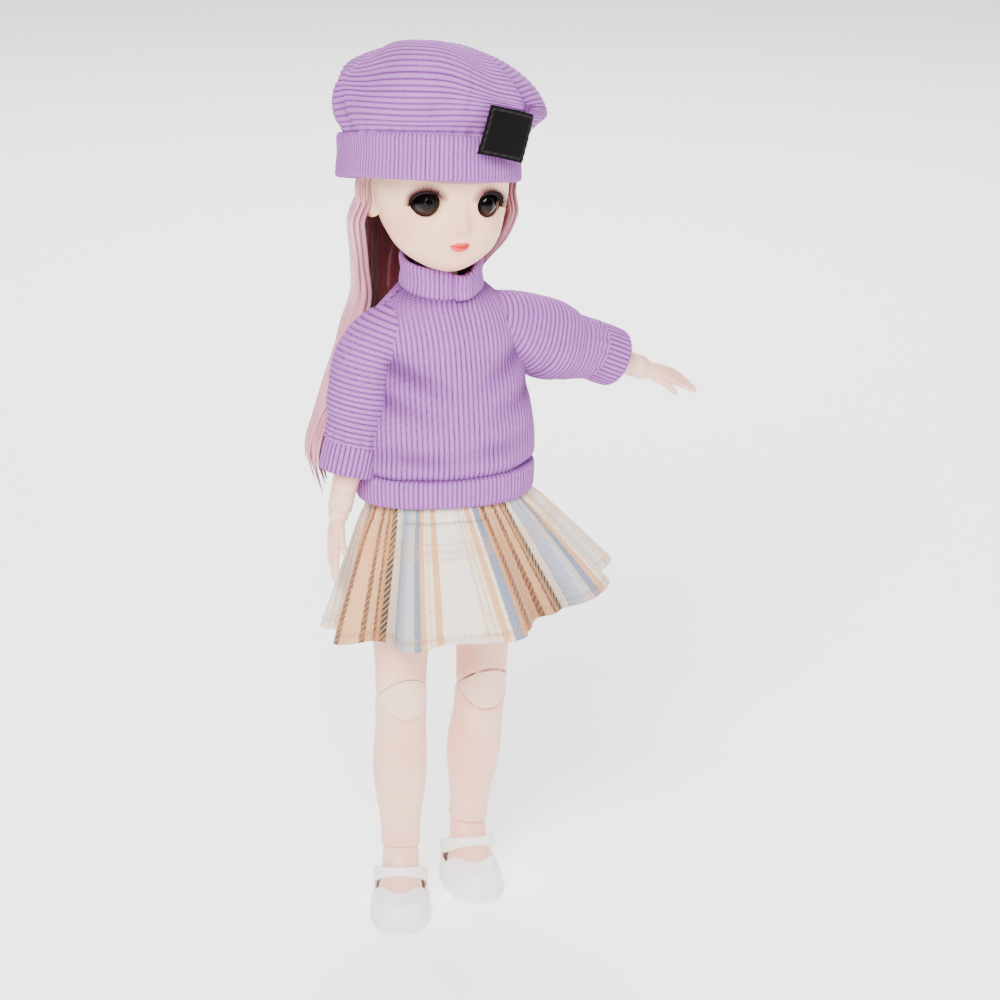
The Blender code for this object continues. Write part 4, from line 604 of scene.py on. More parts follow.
@dataclass(frozen=True)
class BrushedPlaid(Finish):
    """Brushed cotton plaid: soft stripes of dyed yarn, two of them in a slanted twill."""

    # One repeat of the warp, as yarns and the widths of their stripes in millimetres
    yarns: str = (
        "CHARCOAL CREAM BLUE GREY SLATE TAN CREAM BLUSH CREAM TAN WHITE BLUSH CREAM "
        "BLUSH CREAM TAN CREAM SLATE ORANGE BROWN TAN BROWN TAN BROWN ORANGE"
    )
    widths: tuple[float, ...] = (
        (2.8, 3.4, 6.0, 3.2, 2.6, 2.4, 1.4, 1.0, 1.6, 3.2, 14.2, 1.1, 1.6)
        + (1.1, 1.2, 2.8, 1.6, 4.2, 3.2, 2.4, 5.6, 2.0, 3.4, 1.0, 2.0)
    )
    # Weft bars, as places in millimetres down the cloth and strengths, within a length of 60 mm
    bars: tuple[tuple[float, float], ...] = (
        ((0.0, 0), (17.5, 0), (18.0, 0.5), (18.8, 0), (20.5, 0.35), (21.5, 0.1))
        + ((23.5, 0.3), (24.2, 0), (49.0, 0), (50.5, 0.35), (53.0, 0))
    )
    length: float = 60.0

    def ramp_stops(self, chosen: dict[Warp, float] | None = None) -> list[tuple[float, Any]]:
        """Stops of the warp: each stripe starts at the sum of the widths before it.

        Args:
            chosen: Greys that stand in for the yarns' colours, black where one is missing.

        Returns:
            Places along one repeat and their colours.
        """
        places = np.cumsum((0.0,) + self.widths[:-1]) / sum(self.widths)
        yarns = [Warp[name] for name in self.yarns.split()]
        return [
            (float(place), yarn.value if chosen is None else chosen.get(yarn, 0.0))
            for place, yarn in zip(places, yarns)
        ]

    def paint(self, tree: bpy.types.NodeTree) -> dict[str, Any]:
        """Warp stripes across the cloth, faint weft bars, twill slants, seam stitches, nap and painted shade
        in the folds.
        """
        # Yarns stray from side to side by about 0.5 mm, which softens each stripe's edge
        add_node(
            tree, "stray", "TexNoise", {"Scale": 1.1, "Detail": 6.0, "Roughness": 0.8, "Vector": "at.UV"},
        )
        add_node(tree, "parts", "SeparateXYZ", {"Vector": "at.UV"})
        add_node(tree, "wander", "Math", {0: "stray", 1: 3.2, 2: -1.6}, operation="MULTIPLY_ADD")
        add_node(tree, "across", "Math", {0: "parts.X", 1: "wander"}, operation="ADD")
        add_node(tree, "share", "Math", {0: "across", 1: sum(self.widths)}, operation="DIVIDE")
        add_node(tree, "turn", "Math", {0: "share"}, operation="FRACT")
        twills = self.ramp_stops({Warp.CHARCOAL: 1.0, Warp.BROWN: 0.55})
        for name, stops in (("warp", self.ramp_stops()), ("twill_at", twills)):
            add_node(tree, name, "ValToRGB", {"Fac": "turn"}, stops=stops, interpolation="CONSTANT")
        # Twill slants are near 0.6 mm apart, and are drawn at 1.1 mm to show
        slant = {"Scale": waves(1.1), "Distortion": 0.6, "Detail": 1.0, "Vector": "at.UV"}
        add_node(tree, "slant", "TexWave", slant, bands_direction="DIAGONAL")
        add_node(tree, "twill", "Math", {0: "slant.Fac", 1: "twill_at"}, operation="MULTIPLY")
        add_node(tree, "twilled", "Mix", {0: "twill", MIX_A: "warp", MIX_B: "#B08E70"})
        add_node(tree, "down", "Math", {0: "parts.Y", 1: self.length}, operation="DIVIDE")
        bars = [(place / self.length, strength) for place, strength in self.bars]
        add_node(tree, "bars", "ValToRGB", {"Fac": "down"}, stops=bars)
        add_node(tree, "barred", "Mix", {0: "bars", MIX_A: "twilled", MIX_B: "#D09458"})
        # The nap is near 0.2 mm, and is drawn at 0.6 mm to show
        nap = {"Scale": per_mm(0.6), "Detail": 4.0, "Roughness": 0.65, "Vector": "at.Object"}
        add_node(tree, "nap", "TexNoise", nap)
        add_node(tree, "worn", "ValToRGB", {"Fac": "nap"}, stops=[(0.28, "#D6CEC8"), (0.62, 1)])
        add_node(tree, "napped", "Mix", {0: 0.8, MIX_A: "barred", MIX_B: "worn"}, blend_type="MULTIPLY")
        add_node(tree, "seam", "Attribute", attribute_name="stitch")
        dash = {"Scale": waves(1.5), "Distortion": 0.3, "Vector": "at.UV"}
        add_node(tree, "dash", "TexWave", dash, bands_direction="X")
        add_node(tree, "thread", "Math", {0: "seam.Fac", 1: "dash.Fac"}, operation="MULTIPLY")
        add_node(tree, "sewn", "Mix", {0: "thread", MIX_A: "napped", MIX_B: "#5F5044"})
        # Painted shade: the folds, by the mesh's shade mark, are darker than the crests
        add_node(tree, "shade", "Attribute", attribute_name="shade")
        add_node(tree, "dust", "Math", {0: "shade.Fac", 1: 0.55}, operation="MULTIPLY")
        add_node(tree, "folded", "Mix", {0: "dust", MIX_A: "sewn", MIX_B: "#8E7466"}, blend_type="MULTIPLY")
        # Yarns of the weave are 0.3 mm apart, and are drawn at 0.55 mm to show
        weave = {"Scale": 1 / 0.55, "Color1": (1, 1, 1, 1), "Color2": (0, 0, 0, 1), "Vector": "at.UV"}
        add_node(tree, "weave", "TexChecker", weave)
        add_node(tree, "height", "Mix", {0: 0.6, MIX_A: "weave", MIX_B: "nap.Color"})
        add_node(tree, "lift", "Bump", {"Strength": 0.45, "Distance": 0.00012, "Height": "height"})
        return {
            "Base Color": "folded", "Normal": "lift", "Roughness": 0.88, "Sheen Weight": 0.10,
            "Sheen Roughness": 0.5, "Specular IOR Level": 0.25,
        }


@dataclass(frozen=True)
class WigFibre(Finish):
    """Heat-set synthetic hair: fine glossy strands with painted shade, darker and redder, where they lie deep.
    """

    light: str = "#E3A6B2"
    body: str = "#CB8597"
    dark: str = "#A05A6C"
    deep: str = "#66262E"

    def paint(self, tree: bpy.types.NodeTree) -> dict[str, Any]:
        """Strands across the lock's width, and painted shade by the depth that the mesh carries as a mark."""
        add_node(tree, "depth", "Attribute", attribute_name="depth")
        add_node(tree, "stretched", "Mapping", {"Scale": (60.0, 1.6, 1.0), "Vector": "at.UV"})
        strand = {"Scale": 1.0, "Detail": 3.0, "Roughness": 0.6, "Vector": "stretched"}
        add_node(tree, "strand", "TexNoise", strand)
        tones = [(0.28, self.dark), (0.5, self.body), (0.72, self.light)]
        add_node(tree, "tone", "ValToRGB", {"Fac": "strand"}, stops=tones)
        # Painted shade towards the deep colour, as the depth mark says
        add_node(tree, "shaded", "Mix", {0: "depth.Fac", MIX_A: "tone", MIX_B: self.deep})
        add_node(tree, "lift", "Bump", {"Strength": 0.5, "Distance": 0.00025, "Height": "strand"})
        return {
            "Base Color": "shaded", "Normal": "lift", "Roughness": 0.42, "IOR": 1.55, "Sheen Weight": 0.15,
            "Anisotropic": 0.5,
        }


@dataclass(frozen=True)
class ShoeVinyl(Finish):
    """Soft injection-moulded vinyl: clean white, satin, a little darker in blotches near the floor."""

    def paint(self, tree: bpy.types.NodeTree) -> dict[str, Any]:
        """Satin white that darkens in blotches towards the sole."""
        add_node(tree, "place", "SeparateXYZ", {"Vector": "at.Object"})
        near_floor = {"From Min": 0.009, "From Max": 0.0, "To Min": 0.0, "To Max": 0.5, "Value": "place.Z"}
        add_node(tree, "low", "MapRange", near_floor)
        add_node(tree, "scuff", "TexNoise", {"Scale": per_mm(3.0), "Detail": 4.0, "Vector": "at.Object"})
        add_node(tree, "dull", "Math", {0: "low", 1: "scuff"}, operation="MULTIPLY")
        add_node(tree, "white", "Mix", {0: "dull", MIX_A: "#F2F1EE", MIX_B: "#D3CDC4"})
        add_node(tree, "satin", "MapRange", {"To Min": 0.30, "To Max": 0.42, "Value": "scuff"})
        # Leather-like grain is near 0.3 mm, and is drawn at 0.45 mm to show
        add_node(tree, "grain", "TexVoronoi", {"Scale": per_mm(0.45), "Vector": "at.Object"})
        add_node(tree, "lift", "Bump", {"Strength": 0.08, "Distance": 0.00003, "Height": "grain"})
        return {
            "Base Color": "white", "Roughness": "satin", "Normal": "lift", "IOR": 1.5,
            "Subsurface Weight": 0.06, "Subsurface Scale": 0.001,
        }


@dataclass(frozen=True)
class WovenTape(Finish):
    """Woven damask tape: near black satin threads with a paler sewn edge."""

    def paint(self, tree: bpy.types.NodeTree) -> dict[str, Any]:
        """Fine cross threads, and stitches where the mesh's mark says."""
        add_node(tree, "sewn", "Attribute", attribute_name="stitch")
        # Threads are near 0.15 mm apart, and are drawn at 0.4 mm to show
        thread = {"Scale": waves(0.4), "Distortion": 0.4, "Vector": "at.UV"}
        add_node(tree, "thread", "TexWave", thread, bands_direction="X")
        add_node(
            tree, "black", "ValToRGB", {"Fac": "thread.Fac"}, stops=[(0.1, "#050405"), (0.9, "#0E0C0D")],
        )
        add_node(tree, "edged", "Mix", {0: "sewn.Fac", MIX_A: "black", MIX_B: "#3A3438"})
        add_node(tree, "lift", "Bump", {"Strength": 0.4, "Distance": 0.00006, "Height": "thread.Fac"})
        return {"Base Color": "edged", "Normal": "lift", "Roughness": 0.8, "Specular IOR Level": 0.06}


@dataclass(frozen=True)
class NylonLash(Finish):
    """Nylon eyelash: matt dark brown bristle."""

    def paint(self, tree: bpy.types.NodeTree) -> dict[str, Any]:
        """Dark brown that varies a little from bristle to bristle."""
        add_node(tree, "vary", "TexNoise", {"Scale": per_mm(0.8), "Vector": "at.Object"})
        add_node(tree, "tone", "ValToRGB", {"Fac": "vary"}, stops=[(0.3, "#0E0709"), (0.8, "#2A161B")])
        return {"Base Color": "tone", "Roughness": 0.75, "Specular IOR Level": 0.15}


@dataclass(frozen=True)
class PaperSweep(Finish):
    """Matt studio paper: an even pale sweep with a barely seen tooth, lit through from behind."""

    def paint(self, tree: bpy.types.NodeTree) -> dict[str, Any]:
        """Near white with a faint mottling."""
        add_node(tree, "tooth", "TexNoise", {"Scale": per_mm(4), "Detail": 3.0, "Vector": "at.Object"})
        add_node(tree, "tone", "ValToRGB", {"Fac": "tooth"}, stops=[(0.0, "#F7F6F5"), (1.0, "#FBFBFA")])
        return {
            "Base Color": "tone", "Roughness": 0.95, "Specular IOR Level": 0.1,
            "Emission Color": (1.0, 1.0, 1.0, 1.0), "Emission Strength": 1.0,
        }


SKIN = MouldedVinyl("moulded_vinyl_limb")
JOINT = MouldedVinyl("moulded_vinyl_joint", colour="#F4CDB9", warm="#EAB8A4", roughness=0.38)
FACE = PaintedVinyl("painted_vinyl_face")
EYE = CastEye("cast_acrylic_eye")
JERSEY = CordedJersey("brushed_ribbed_jersey")
PLAID = BrushedPlaid("brushed_cotton_plaid")
FIBRE = WigFibre("heat_set_wig_fibre")
SHOE = ShoeVinyl("moulded_shoe_vinyl")
TAPE = WovenTape("woven_label_tape")
LASH = NylonLash("nylon_eyelash")


def fit(piece: bpy.types.Object, finish: Finish, slot: str, body: str, *nodes: str) -> bpy.types.Object:
    """Dresses a piece, lets it stand for its nodes and makes it ride a body.

    Args:
        piece: The finished piece.
        finish: Its finish.
        slot: The record's slot of that finish; not used.
        body: The body that it rides, or nothing where it rides none.
        nodes: The nodes that it stands for.

    Returns:
        The same piece.
    """
    finish.dress(piece, slot)
    if nodes:
        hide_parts(*nodes)
    if body:
        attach(piece, body)
    return piece


# Legs


def ring_points(
    half_x: Array, half_y: Array, back: Array, z: Array, columns: int, power: float = 2.0,
) -> Array:
    """Rings of superellipses: the cosine and sine to the power 2 / power, times the half widths.

    Args:
        half_x: Half width of each ring.
        half_y: Half depth of each ring.
        back: Setback of each ring's centre.
        z: Height of each ring.
        columns: Points in a ring.
        power: 2 for an ellipse, more for a squarer ring.

    Returns:
        Grid of points, rings by columns by 3.
    """
    c, s = disc(columns, power).T
    x = half_x[:, None] * c
    y = back[:, None] + half_y[:, None] * s
    return np.stack([x, y, np.broadcast_to(z[:, None], x.shape)], -1)


@dataclass
class Limb:
    """Round limb whose ends are cut by two planes that meet on its pin's line.

    Sizes are in metres; a row of shares holds a place along the limb, the
    share of the width, the share of the depth, and the setback's share.
    """

    shares: tuple[tuple[float, ...], ...]
    length: float
    width: float
    depth: float
    columns: int = 96

    def cut_line(self, y: Array, level: float, front: float, back: float, up: int) -> Array:
        """Height of the cut at a distance ahead or behind: level plus the distance times the plane's slope."""
        away = np.sqrt(y * y + CUT_NOSE**2) - CUT_NOSE
        slope = np.where(y < 0, math.tan(front), math.tan(back))
        return level + up * away * slope

    def radius_at(self, along: Array) -> Array:
        """Half width, half depth and setback at places along the limb."""
        shares = through(self.shares, along)
        return shares * np.array([self.width / 2, self.depth / 2, self.depth / 2])

    def side_wall(self, start: Any, end: Any, rows: int) -> Array:
        """Wall of the limb between two end lines.

        Each column runs from its start height to its end height, and the heights
        are found by turns, because the cut depends on the depth and the depth on
        the height.

        Args:
            start: Function of y that gives the upper end's height, or a number.
            end: Function of y that gives the lower end's height, or a number.
            rows: Rows of the wall.

        Returns:
            Wall points, rows by columns by 3.
        """
        angle = circle(self.columns)
        edges = []
        for line in (start, end):
            if not callable(line):
                edges.append(np.full(self.columns, float(line)))
                continue
            z = line(np.zeros(self.columns))
            for _ in range(8):
                half = self.radius_at(-z / self.length)
                z = 0.5 * z + 0.5 * line(half[:, 2] + half[:, 1] * np.sin(angle))
            edges.append(z)
        t = np.linspace(0, 1, rows)[:, None]
        z = edges[0] + (edges[1] - edges[0]) * t
        half = self.radius_at(-z / self.length)
        x = half[..., 0] * np.cos(angle)
        y = half[..., 2] + half[..., 1] * np.sin(angle)
        return np.stack([x, y, z], -1)

    def seat(self, edge: Array, steps: tuple[tuple[float, float], ...]) -> Array:
        """Rows that close the lower end: the wall's last ring by each step's share, at its height."""
        share, height = np.array(steps).T
        centre = edge.mean(0)
        rows = centre + (edge - centre)[None] * share[:, None, None]
        rows[..., 2] = -self.length + height[:, None]
        return rows

    def cap(self, edge: Array, line: Any, up: int, rounding: float = 0.00035) -> Array:
        """Rows that close an end, from its edge to the middle, with a rounded rim.

        Args:
            edge: Last ring of the wall.
            line: Function of y that gives the cut's height.
            up: 1 where the end faces up, -1 where it faces down.
            rounding: Radius of the rim.

        Returns:
            Rings, the last one a point.
        """
        shrink = np.concatenate([[0.985, 0.95], np.linspace(0.9, 0.0, 14)])[:, None]
        x = edge[None, :, 0] * shrink
        middle = edge[:, 1].mean()
        y = middle + (edge[None, :, 1] - middle) * shrink
        z = line(y) + up * rounding * ease((1 - shrink) * 12)
        return np.stack([x, y, z], -1)


def bar(
    name: str, matrix: Array, outline: Array, half_width: float, rounding: float = 0.0004,
) -> bpy.types.Object:
    """Rounded prism along X: the outline, shrunk by the rim's quarter circle at both ends.

    Args:
        name: Object's name.
        matrix: Frame of the outline.
        outline: Points of y and z around the bar.
        half_width: Half the bar's length.
        rounding: Radius of the rims.

    Returns:
        The closed bar.
    """
    turn = np.linspace(0, math.pi / 2, 5)
    inset = rounding * (1 - np.sin(turn))
    place = -half_width + rounding * (1 - np.cos(turn))
    inset = np.concatenate([inset, inset[::-1]])
    place = np.concatenate([place, -place[::-1]])
    middle = outline.mean(0)
    reach = np.linalg.norm(outline - middle, axis=1)
    scale = 1 - inset[:, None] / reach[None, :]
    yz = middle + (outline - middle)[None] * scale[..., None]
    x = np.broadcast_to(place[:, None], scale.shape)
    return surface(name, put(matrix, np.concatenate([x[..., None], yz], -1)))


@dataclass
class Leg:
    """Thigh, double-pinned knee, shin, foot and shoe of one side."""

    bones: Skeleton
    side: Side
    pin_spacing: float = 0.010
    knee_width: float = 0.0176
    knee_depth: float = 0.0180
    lens_half: float = 0.0082
    back_angle: float = math.radians(50)
    drum_radius: float = 0.0076
    drum_half: float = 0.0046
    knuckle_radius: float = 0.0042
    knuckle_half: float = 0.0012
    pin_radius: float = 0.0013
    pin_half: float = 0.0072
    gap: float = 0.0003
    thigh: Limb = field(
        default_factory=lambda: Limb(
            (
                (-0.14, 0.42, 0.45, 0.0), (-0.11, 0.72, 0.75, 0.0), (-0.05, 0.90, 0.92, 0.0),
                (0.010, 0.97, 0.98, 0.0), (0.14, 1.00, 1.00, 0.0), (0.37, 0.955, 0.97, 0.0),
                (0.57, 0.89, 0.90, 0.0), (0.77, 0.80, 0.81, 0.0), (0.90, 0.755, 0.76, 0.0),
                (1.00, 0.745, 0.744, 0.0), (1.16, 0.745, 0.744, 0.0),
            ),
            0.049, 0.0236, 0.0242,
        )
    )
    calf: Limb = field(
        default_factory=lambda: Limb(
            (
                (-0.22, 0.945, 0.925, 0.0), (0.00, 0.945, 0.925, 0.0), (0.13, 0.935, 0.925, 0.01),
                (0.24, 0.965, 0.96, 0.06), (0.37, 1.00, 1.00, 0.10), (0.50, 0.985, 0.98, 0.11),
                (0.64, 0.90, 0.89, 0.09), (0.78, 0.79, 0.77, 0.05), (0.90, 0.725, 0.70, 0.01),
                (1.00, 0.731, 0.701, 0.0),
            ),
            0.0481, 0.0186, 0.0194,
        )
    )

    @property
    def front_angle(self) -> float:
        """Slope of the cut that draws the lens."""
        return math.atan2(self.lens_half, self.knee_depth / 2)

    def build(self) -> None:
        """Builds and dresses every piece of the leg."""
        tag = self.side.tag
        hip = self.bones.place(f"hip_swing_{tag}")
        upper = self.bones.place(f"knee_upper_{tag}")
        lower = self.bones.place(f"knee_lower_{tag}")
        ankle = self.bones.place(f"ankle_flex_{tag}")
        pin = self.bones.axis(f"knee_upper_{tag}")
        self.build_thigh(self.bones.limb(hip, upper, pin))
        self.build_knee(self.bones.limb(upper, lower, pin))
        self.build_shin(self.bones.limb(lower, ankle, pin))
        foot = self.bones.limb(
            ankle, ankle - np.array([0.0, 0.0, 1.0]), self.bones.axis(f"ankle_flex_{tag}"),
        )
        Shoe(self.side, foot).build()

    def knuckles(self, name: str, matrix: Array, level: float) -> list[bpy.types.Object]:
        """The two round ears that turn on a pin, one on each side of the drum."""
        outline = self.knuckle_radius * disc(40)
        made = []
        for way in (-1, 1):
            middle = way * (self.drum_half + self.gap + self.knuckle_half)
            made.append(bar(f"{name}_{way}", matrix @ at(middle, 0, level), outline, self.knuckle_half))
        return made

    def build_thigh(self, matrix: Array) -> None:
        """Thigh: the limb's wall from the hip to the lens line, with its knuckles."""
        level = -self.thigh.length - self.pin_spacing / 2 + self.gap / 2

        def line(y: Array) -> Array:
            return self.thigh.cut_line(y, level, self.front_angle, self.back_angle, 1)

        wall = self.thigh.side_wall(0.14 * self.thigh.length, line, 90)
        grid = np.concatenate([wall, self.thigh.cap(wall[-1], line, 1)])
        body = surface("thigh_body", put(matrix, grid))
        piece = joined(
            f"thigh_vinyl_{self.side.tag}", [body] + self.knuckles("ear", matrix, -self.thigh.length),
        )
        fit(piece, SKIN, "skin", f"thigh_{self.side.tag}", f"thigh_{self.side.tag}")

    def build_knee(self, matrix: Array) -> None:
        """Knee: the lens in front and the drum that both pins run through."""
        middle = -self.pin_spacing / 2
        columns = 64
        angle = np.linspace(math.pi, TAU, columns)
        x = self.knee_width / 2 * np.cos(angle)
        y = self.knee_depth / 2 * np.sin(angle)
        half = np.abs(np.sqrt(y * y + CUT_NOSE**2) - CUT_NOSE) * math.tan(self.front_angle)
        half = np.maximum(half - self.gap / 2, 0.0)
        v = np.linspace(-1, 1, 24)[:, None]
        swell = 1 + 0.012 * (1 - v * v)
        outer = np.stack([np.broadcast_to(x, (24, columns)) * swell, y * swell, middle + half * v], -1)
        rings = []
        for way in (1, -1):
            s = np.linspace(0.97, 0.0, 10)[:, None]
            if way < 0:
                s = s[::-1][1:]
            edge = half * s * way
            rings.append(np.stack([np.broadcast_to(x, edge.shape), y * s, middle + edge], -1))
        lens = surface(
            "knee_lens", put(matrix, np.concatenate([outer] + rings)), closed=False, ends=False, ring=True,
        )
        turn = np.linspace(0, math.pi, 33)
        top = self.drum_radius * np.stack([np.cos(turn), np.sin(turn)], -1)
        bottom = -top - np.array([0.0, self.pin_spacing])
        drum = bar("knee_drum", matrix, np.concatenate([top, bottom]), self.drum_half)
        pin = self.pin_radius * disc(24)
        pins = [bar("knee_pin", matrix @ at(0, 0, z), pin, self.pin_half) for z in (0.0, -self.pin_spacing)]
        piece = sharpen(joined(f"knee_vinyl_{self.side.tag}", [lens, drum] + pins))
        fit(piece, JOINT, "joint", f"knee_{self.side.tag}", f"knee_{self.side.tag}")

    def build_shin(self, matrix: Array) -> None:
        """Shin: from the lens line to the ankle line, with its knuckles and the cup for the foot."""
        level = self.pin_spacing / 2 - self.gap / 2

        def line(y: Array) -> Array:
            return self.calf.cut_line(y, level, self.front_angle, self.back_angle, -1)

        wall = self.calf.side_wall(line, -self.calf.length, 90)
        top = self.calf.cap(wall[0], line, -1)[::-1]
        cup = (
            (0.985, -0.00025), (0.95, -0.0003), (0.86, 0.0), (0.7, 0.0018), (0.45, 0.0036), (0.2, 0.0043),
        )
        bottom = self.calf.seat(wall[-1], cup)
        body = surface("shin_body", put(matrix, np.concatenate([top, wall, bottom])))
        piece = joined(f"shin_vinyl_{self.side.tag}", [body] + self.knuckles("ear", matrix, 0.0))
        fit(piece, SKIN, "skin", f"shin_{self.side.tag}", f"shin_{self.side.tag}")


@dataclass
class Shoe:
    """Foot in a low shoe with a scalloped strap over the instep."""

    side: Side
    matrix: Array
    ankle_height: float = 0.022
    sole_thickness: float = 0.0028
    width: float = 0.0214
    length: float = 0.0372
    ahead: float = 0.0064
    foot_width: float = 0.0164
    foot_length: float = 0.0326
    squareness: float = 2.3

    def build(self) -> None:
        """Builds and dresses the foot, sole, upper and strap."""
        tag = self.side.tag
        fit(self.foot(), SKIN, "skin", f"foot_{tag}", f"foot_{tag}")
        for piece, name in ((self.sole(), "sole"), (self.upper(), "upper"), (self.strap(), "strap")):
            fit(piece, SHOE, "shoe", f"foot_{tag}", f"shoe_{name}_{tag}")

    def foot(self) -> bpy.types.Object:
        """Foot: rings from the ankle's ball down to the sole, with the instep running forward."""
        floor = self.ankle_height - self.sole_thickness - 0.0003
        shares = (
            (-0.320, 0.06, 0.030, 0.39), (-0.315, 0.20, 0.100, 0.39), (-0.27, 0.42, 0.212, 0.39),
            (-0.17, 0.635, 0.320, 0.39), (0.00, 0.74, 0.372, 0.39), (0.13, 0.77, 0.42, 0.35),
            (0.30, 0.78, 0.50, 0.28), (0.47, 0.84, 0.66, 0.16), (0.63, 0.90, 0.82, 0.07),
            (0.80, 0.97, 0.95, 0.02), (1.00, 0.98, 0.97, 0.0),
        )
        t = np.linspace(shares[0][0], 1.0, 70)
        half = through(shares, t) * np.array(
            [self.foot_width / 2, self.foot_length / 2, self.foot_length / 2]
        )
        grid = ring_points(half[:, 0], half[:, 1], half[:, 2] - self.ahead, -t * floor, 72)
        return surface(f"foot_vinyl_{self.side.tag}", put(self.matrix, grid))

    def sole(self) -> bpy.types.Object:
        """Sole: superellipse rings whose rims are rounded by quarter circles."""
        rise = np.array([0.0, 0.04, 0.16, 0.5, 0.80, 0.93, 1.0])
        size = np.array([0.975, 0.988, 0.997, 1.0, 0.997, 0.985, 0.965])
        z = -self.ankle_height + rise * self.sole_thickness
        ahead = np.full(len(z), -self.ahead)
        grid = ring_points(size * self.width / 2, size * self.length / 2, ahead, z, 96, self.squareness)
        return sharpen(surface(f"shoe_sole_vinyl_{self.side.tag}", put(self.matrix, grid)), SHARP_RIM)

    def upper(self) -> bpy.types.Object:
        """Upper: a bowed wall from the sole's edge to the rim of the opening.

        Each column is a quadratic curve with its middle control point above the
        sole's edge, so that the toe is full and the sides are upright.
        """
        columns, rows = 120, 26
        s = np.sin(circle(columns))
        cx, sy = disc(columns, self.squareness).T
        base_z = -self.ankle_height + self.sole_thickness * 0.9
        foot = np.stack(
            [
                0.975 * self.width / 2 * cx, 0.975 * self.length / 2 * sy - self.ahead,
                np.full(columns, base_z),
            ],
            -1,
        )
        toe = ease((-s - 0.15) / 0.75)
        heel = ease((s - 0.1) / 0.8)
        rim_z = base_z + 0.0052 + 0.0044 * toe + 0.0046 * heel
        rim = np.stack([0.0091 * cx, np.where(s < 0, 0.0108 * sy, 0.0096 * sy) - 0.0008, rim_z], -1)
        lean = np.stack(
            [0.99 * foot[:, 0], 0.995 * (foot[:, 1] + self.ahead) - self.ahead, rim_z + 0.0018 * toe], -1,
        )
        lean[:, 2] = base_z + (rim_z - base_z) * (0.75 + 0.35 * toe)
        t = np.linspace(0, 1, rows)[:, None, None]
        grid = (1 - t) ** 2 * foot + 2 * t * (1 - t) * lean + t * t * rim
        piece = surface(f"shoe_upper_vinyl_{self.side.tag}", put(self.matrix, grid), ends=False)
        out = grid_normals(grid, True)
        if float((out[0] * (grid[0] - grid[0].mean(0))).sum()) < 0:
            piece.data.flip_normals()
        thicken(piece, 0.0008)
        rim_round = piece.modifiers.new("rim", "BEVEL")
        rim_round.width = 0.0002
        rim_round.segments = 2
        rim_round.limit_method = "ANGLE"
        return settle(piece)

    def strap(self) -> bpy.types.Object:
        """Strap: narrow over the instep and deeper at both ends, where it meets the shoe."""
        columns, rows = 64, 10
        turn = np.linspace(-1.0, 1.0, columns)
        angle = turn * math.radians(104)
        over = np.cos(turn * math.pi / 2)
        low_end = -self.ankle_height + self.sole_thickness + 0.0058
        top = -0.0030 + (low_end + 0.0046 + 0.0030) * (1 - over**0.8)
        deep = 0.0030 + 0.0030 * ease(np.abs(turn) * 1.5 - 0.2) * (1 - ease(np.abs(turn) * 3 - 2))
        v = np.linspace(0, 1, rows)[:, None]
        z = top - deep * v
        out = 0.0008 * ease((0.0 - z - 0.003) / 0.006)
        wide = 0.0079 + out * 2.2
        long = 0.0086 + 0.0024 * over + out
        x = wide * np.sin(angle)
        y = -long * np.cos(angle) + 0.0004
        grid = np.stack([x, y, z], -1)
        piece = surface(
            f"shoe_strap_vinyl_{self.side.tag}", put(self.matrix, grid), closed=False, ends=False,
        )
        if float((grid_normals(grid, False)[5, columns // 2] * np.array([0, -1, 0])).sum()) < 0:
            piece.data.flip_normals()
        thicken(piece, 0.0009)
        soft = piece.modifiers.new("edge", "BEVEL")
        soft.width = 0.00025
        soft.segments = 3
        soft.limit_method = "ANGLE"
        return settle(piece)


# Arms


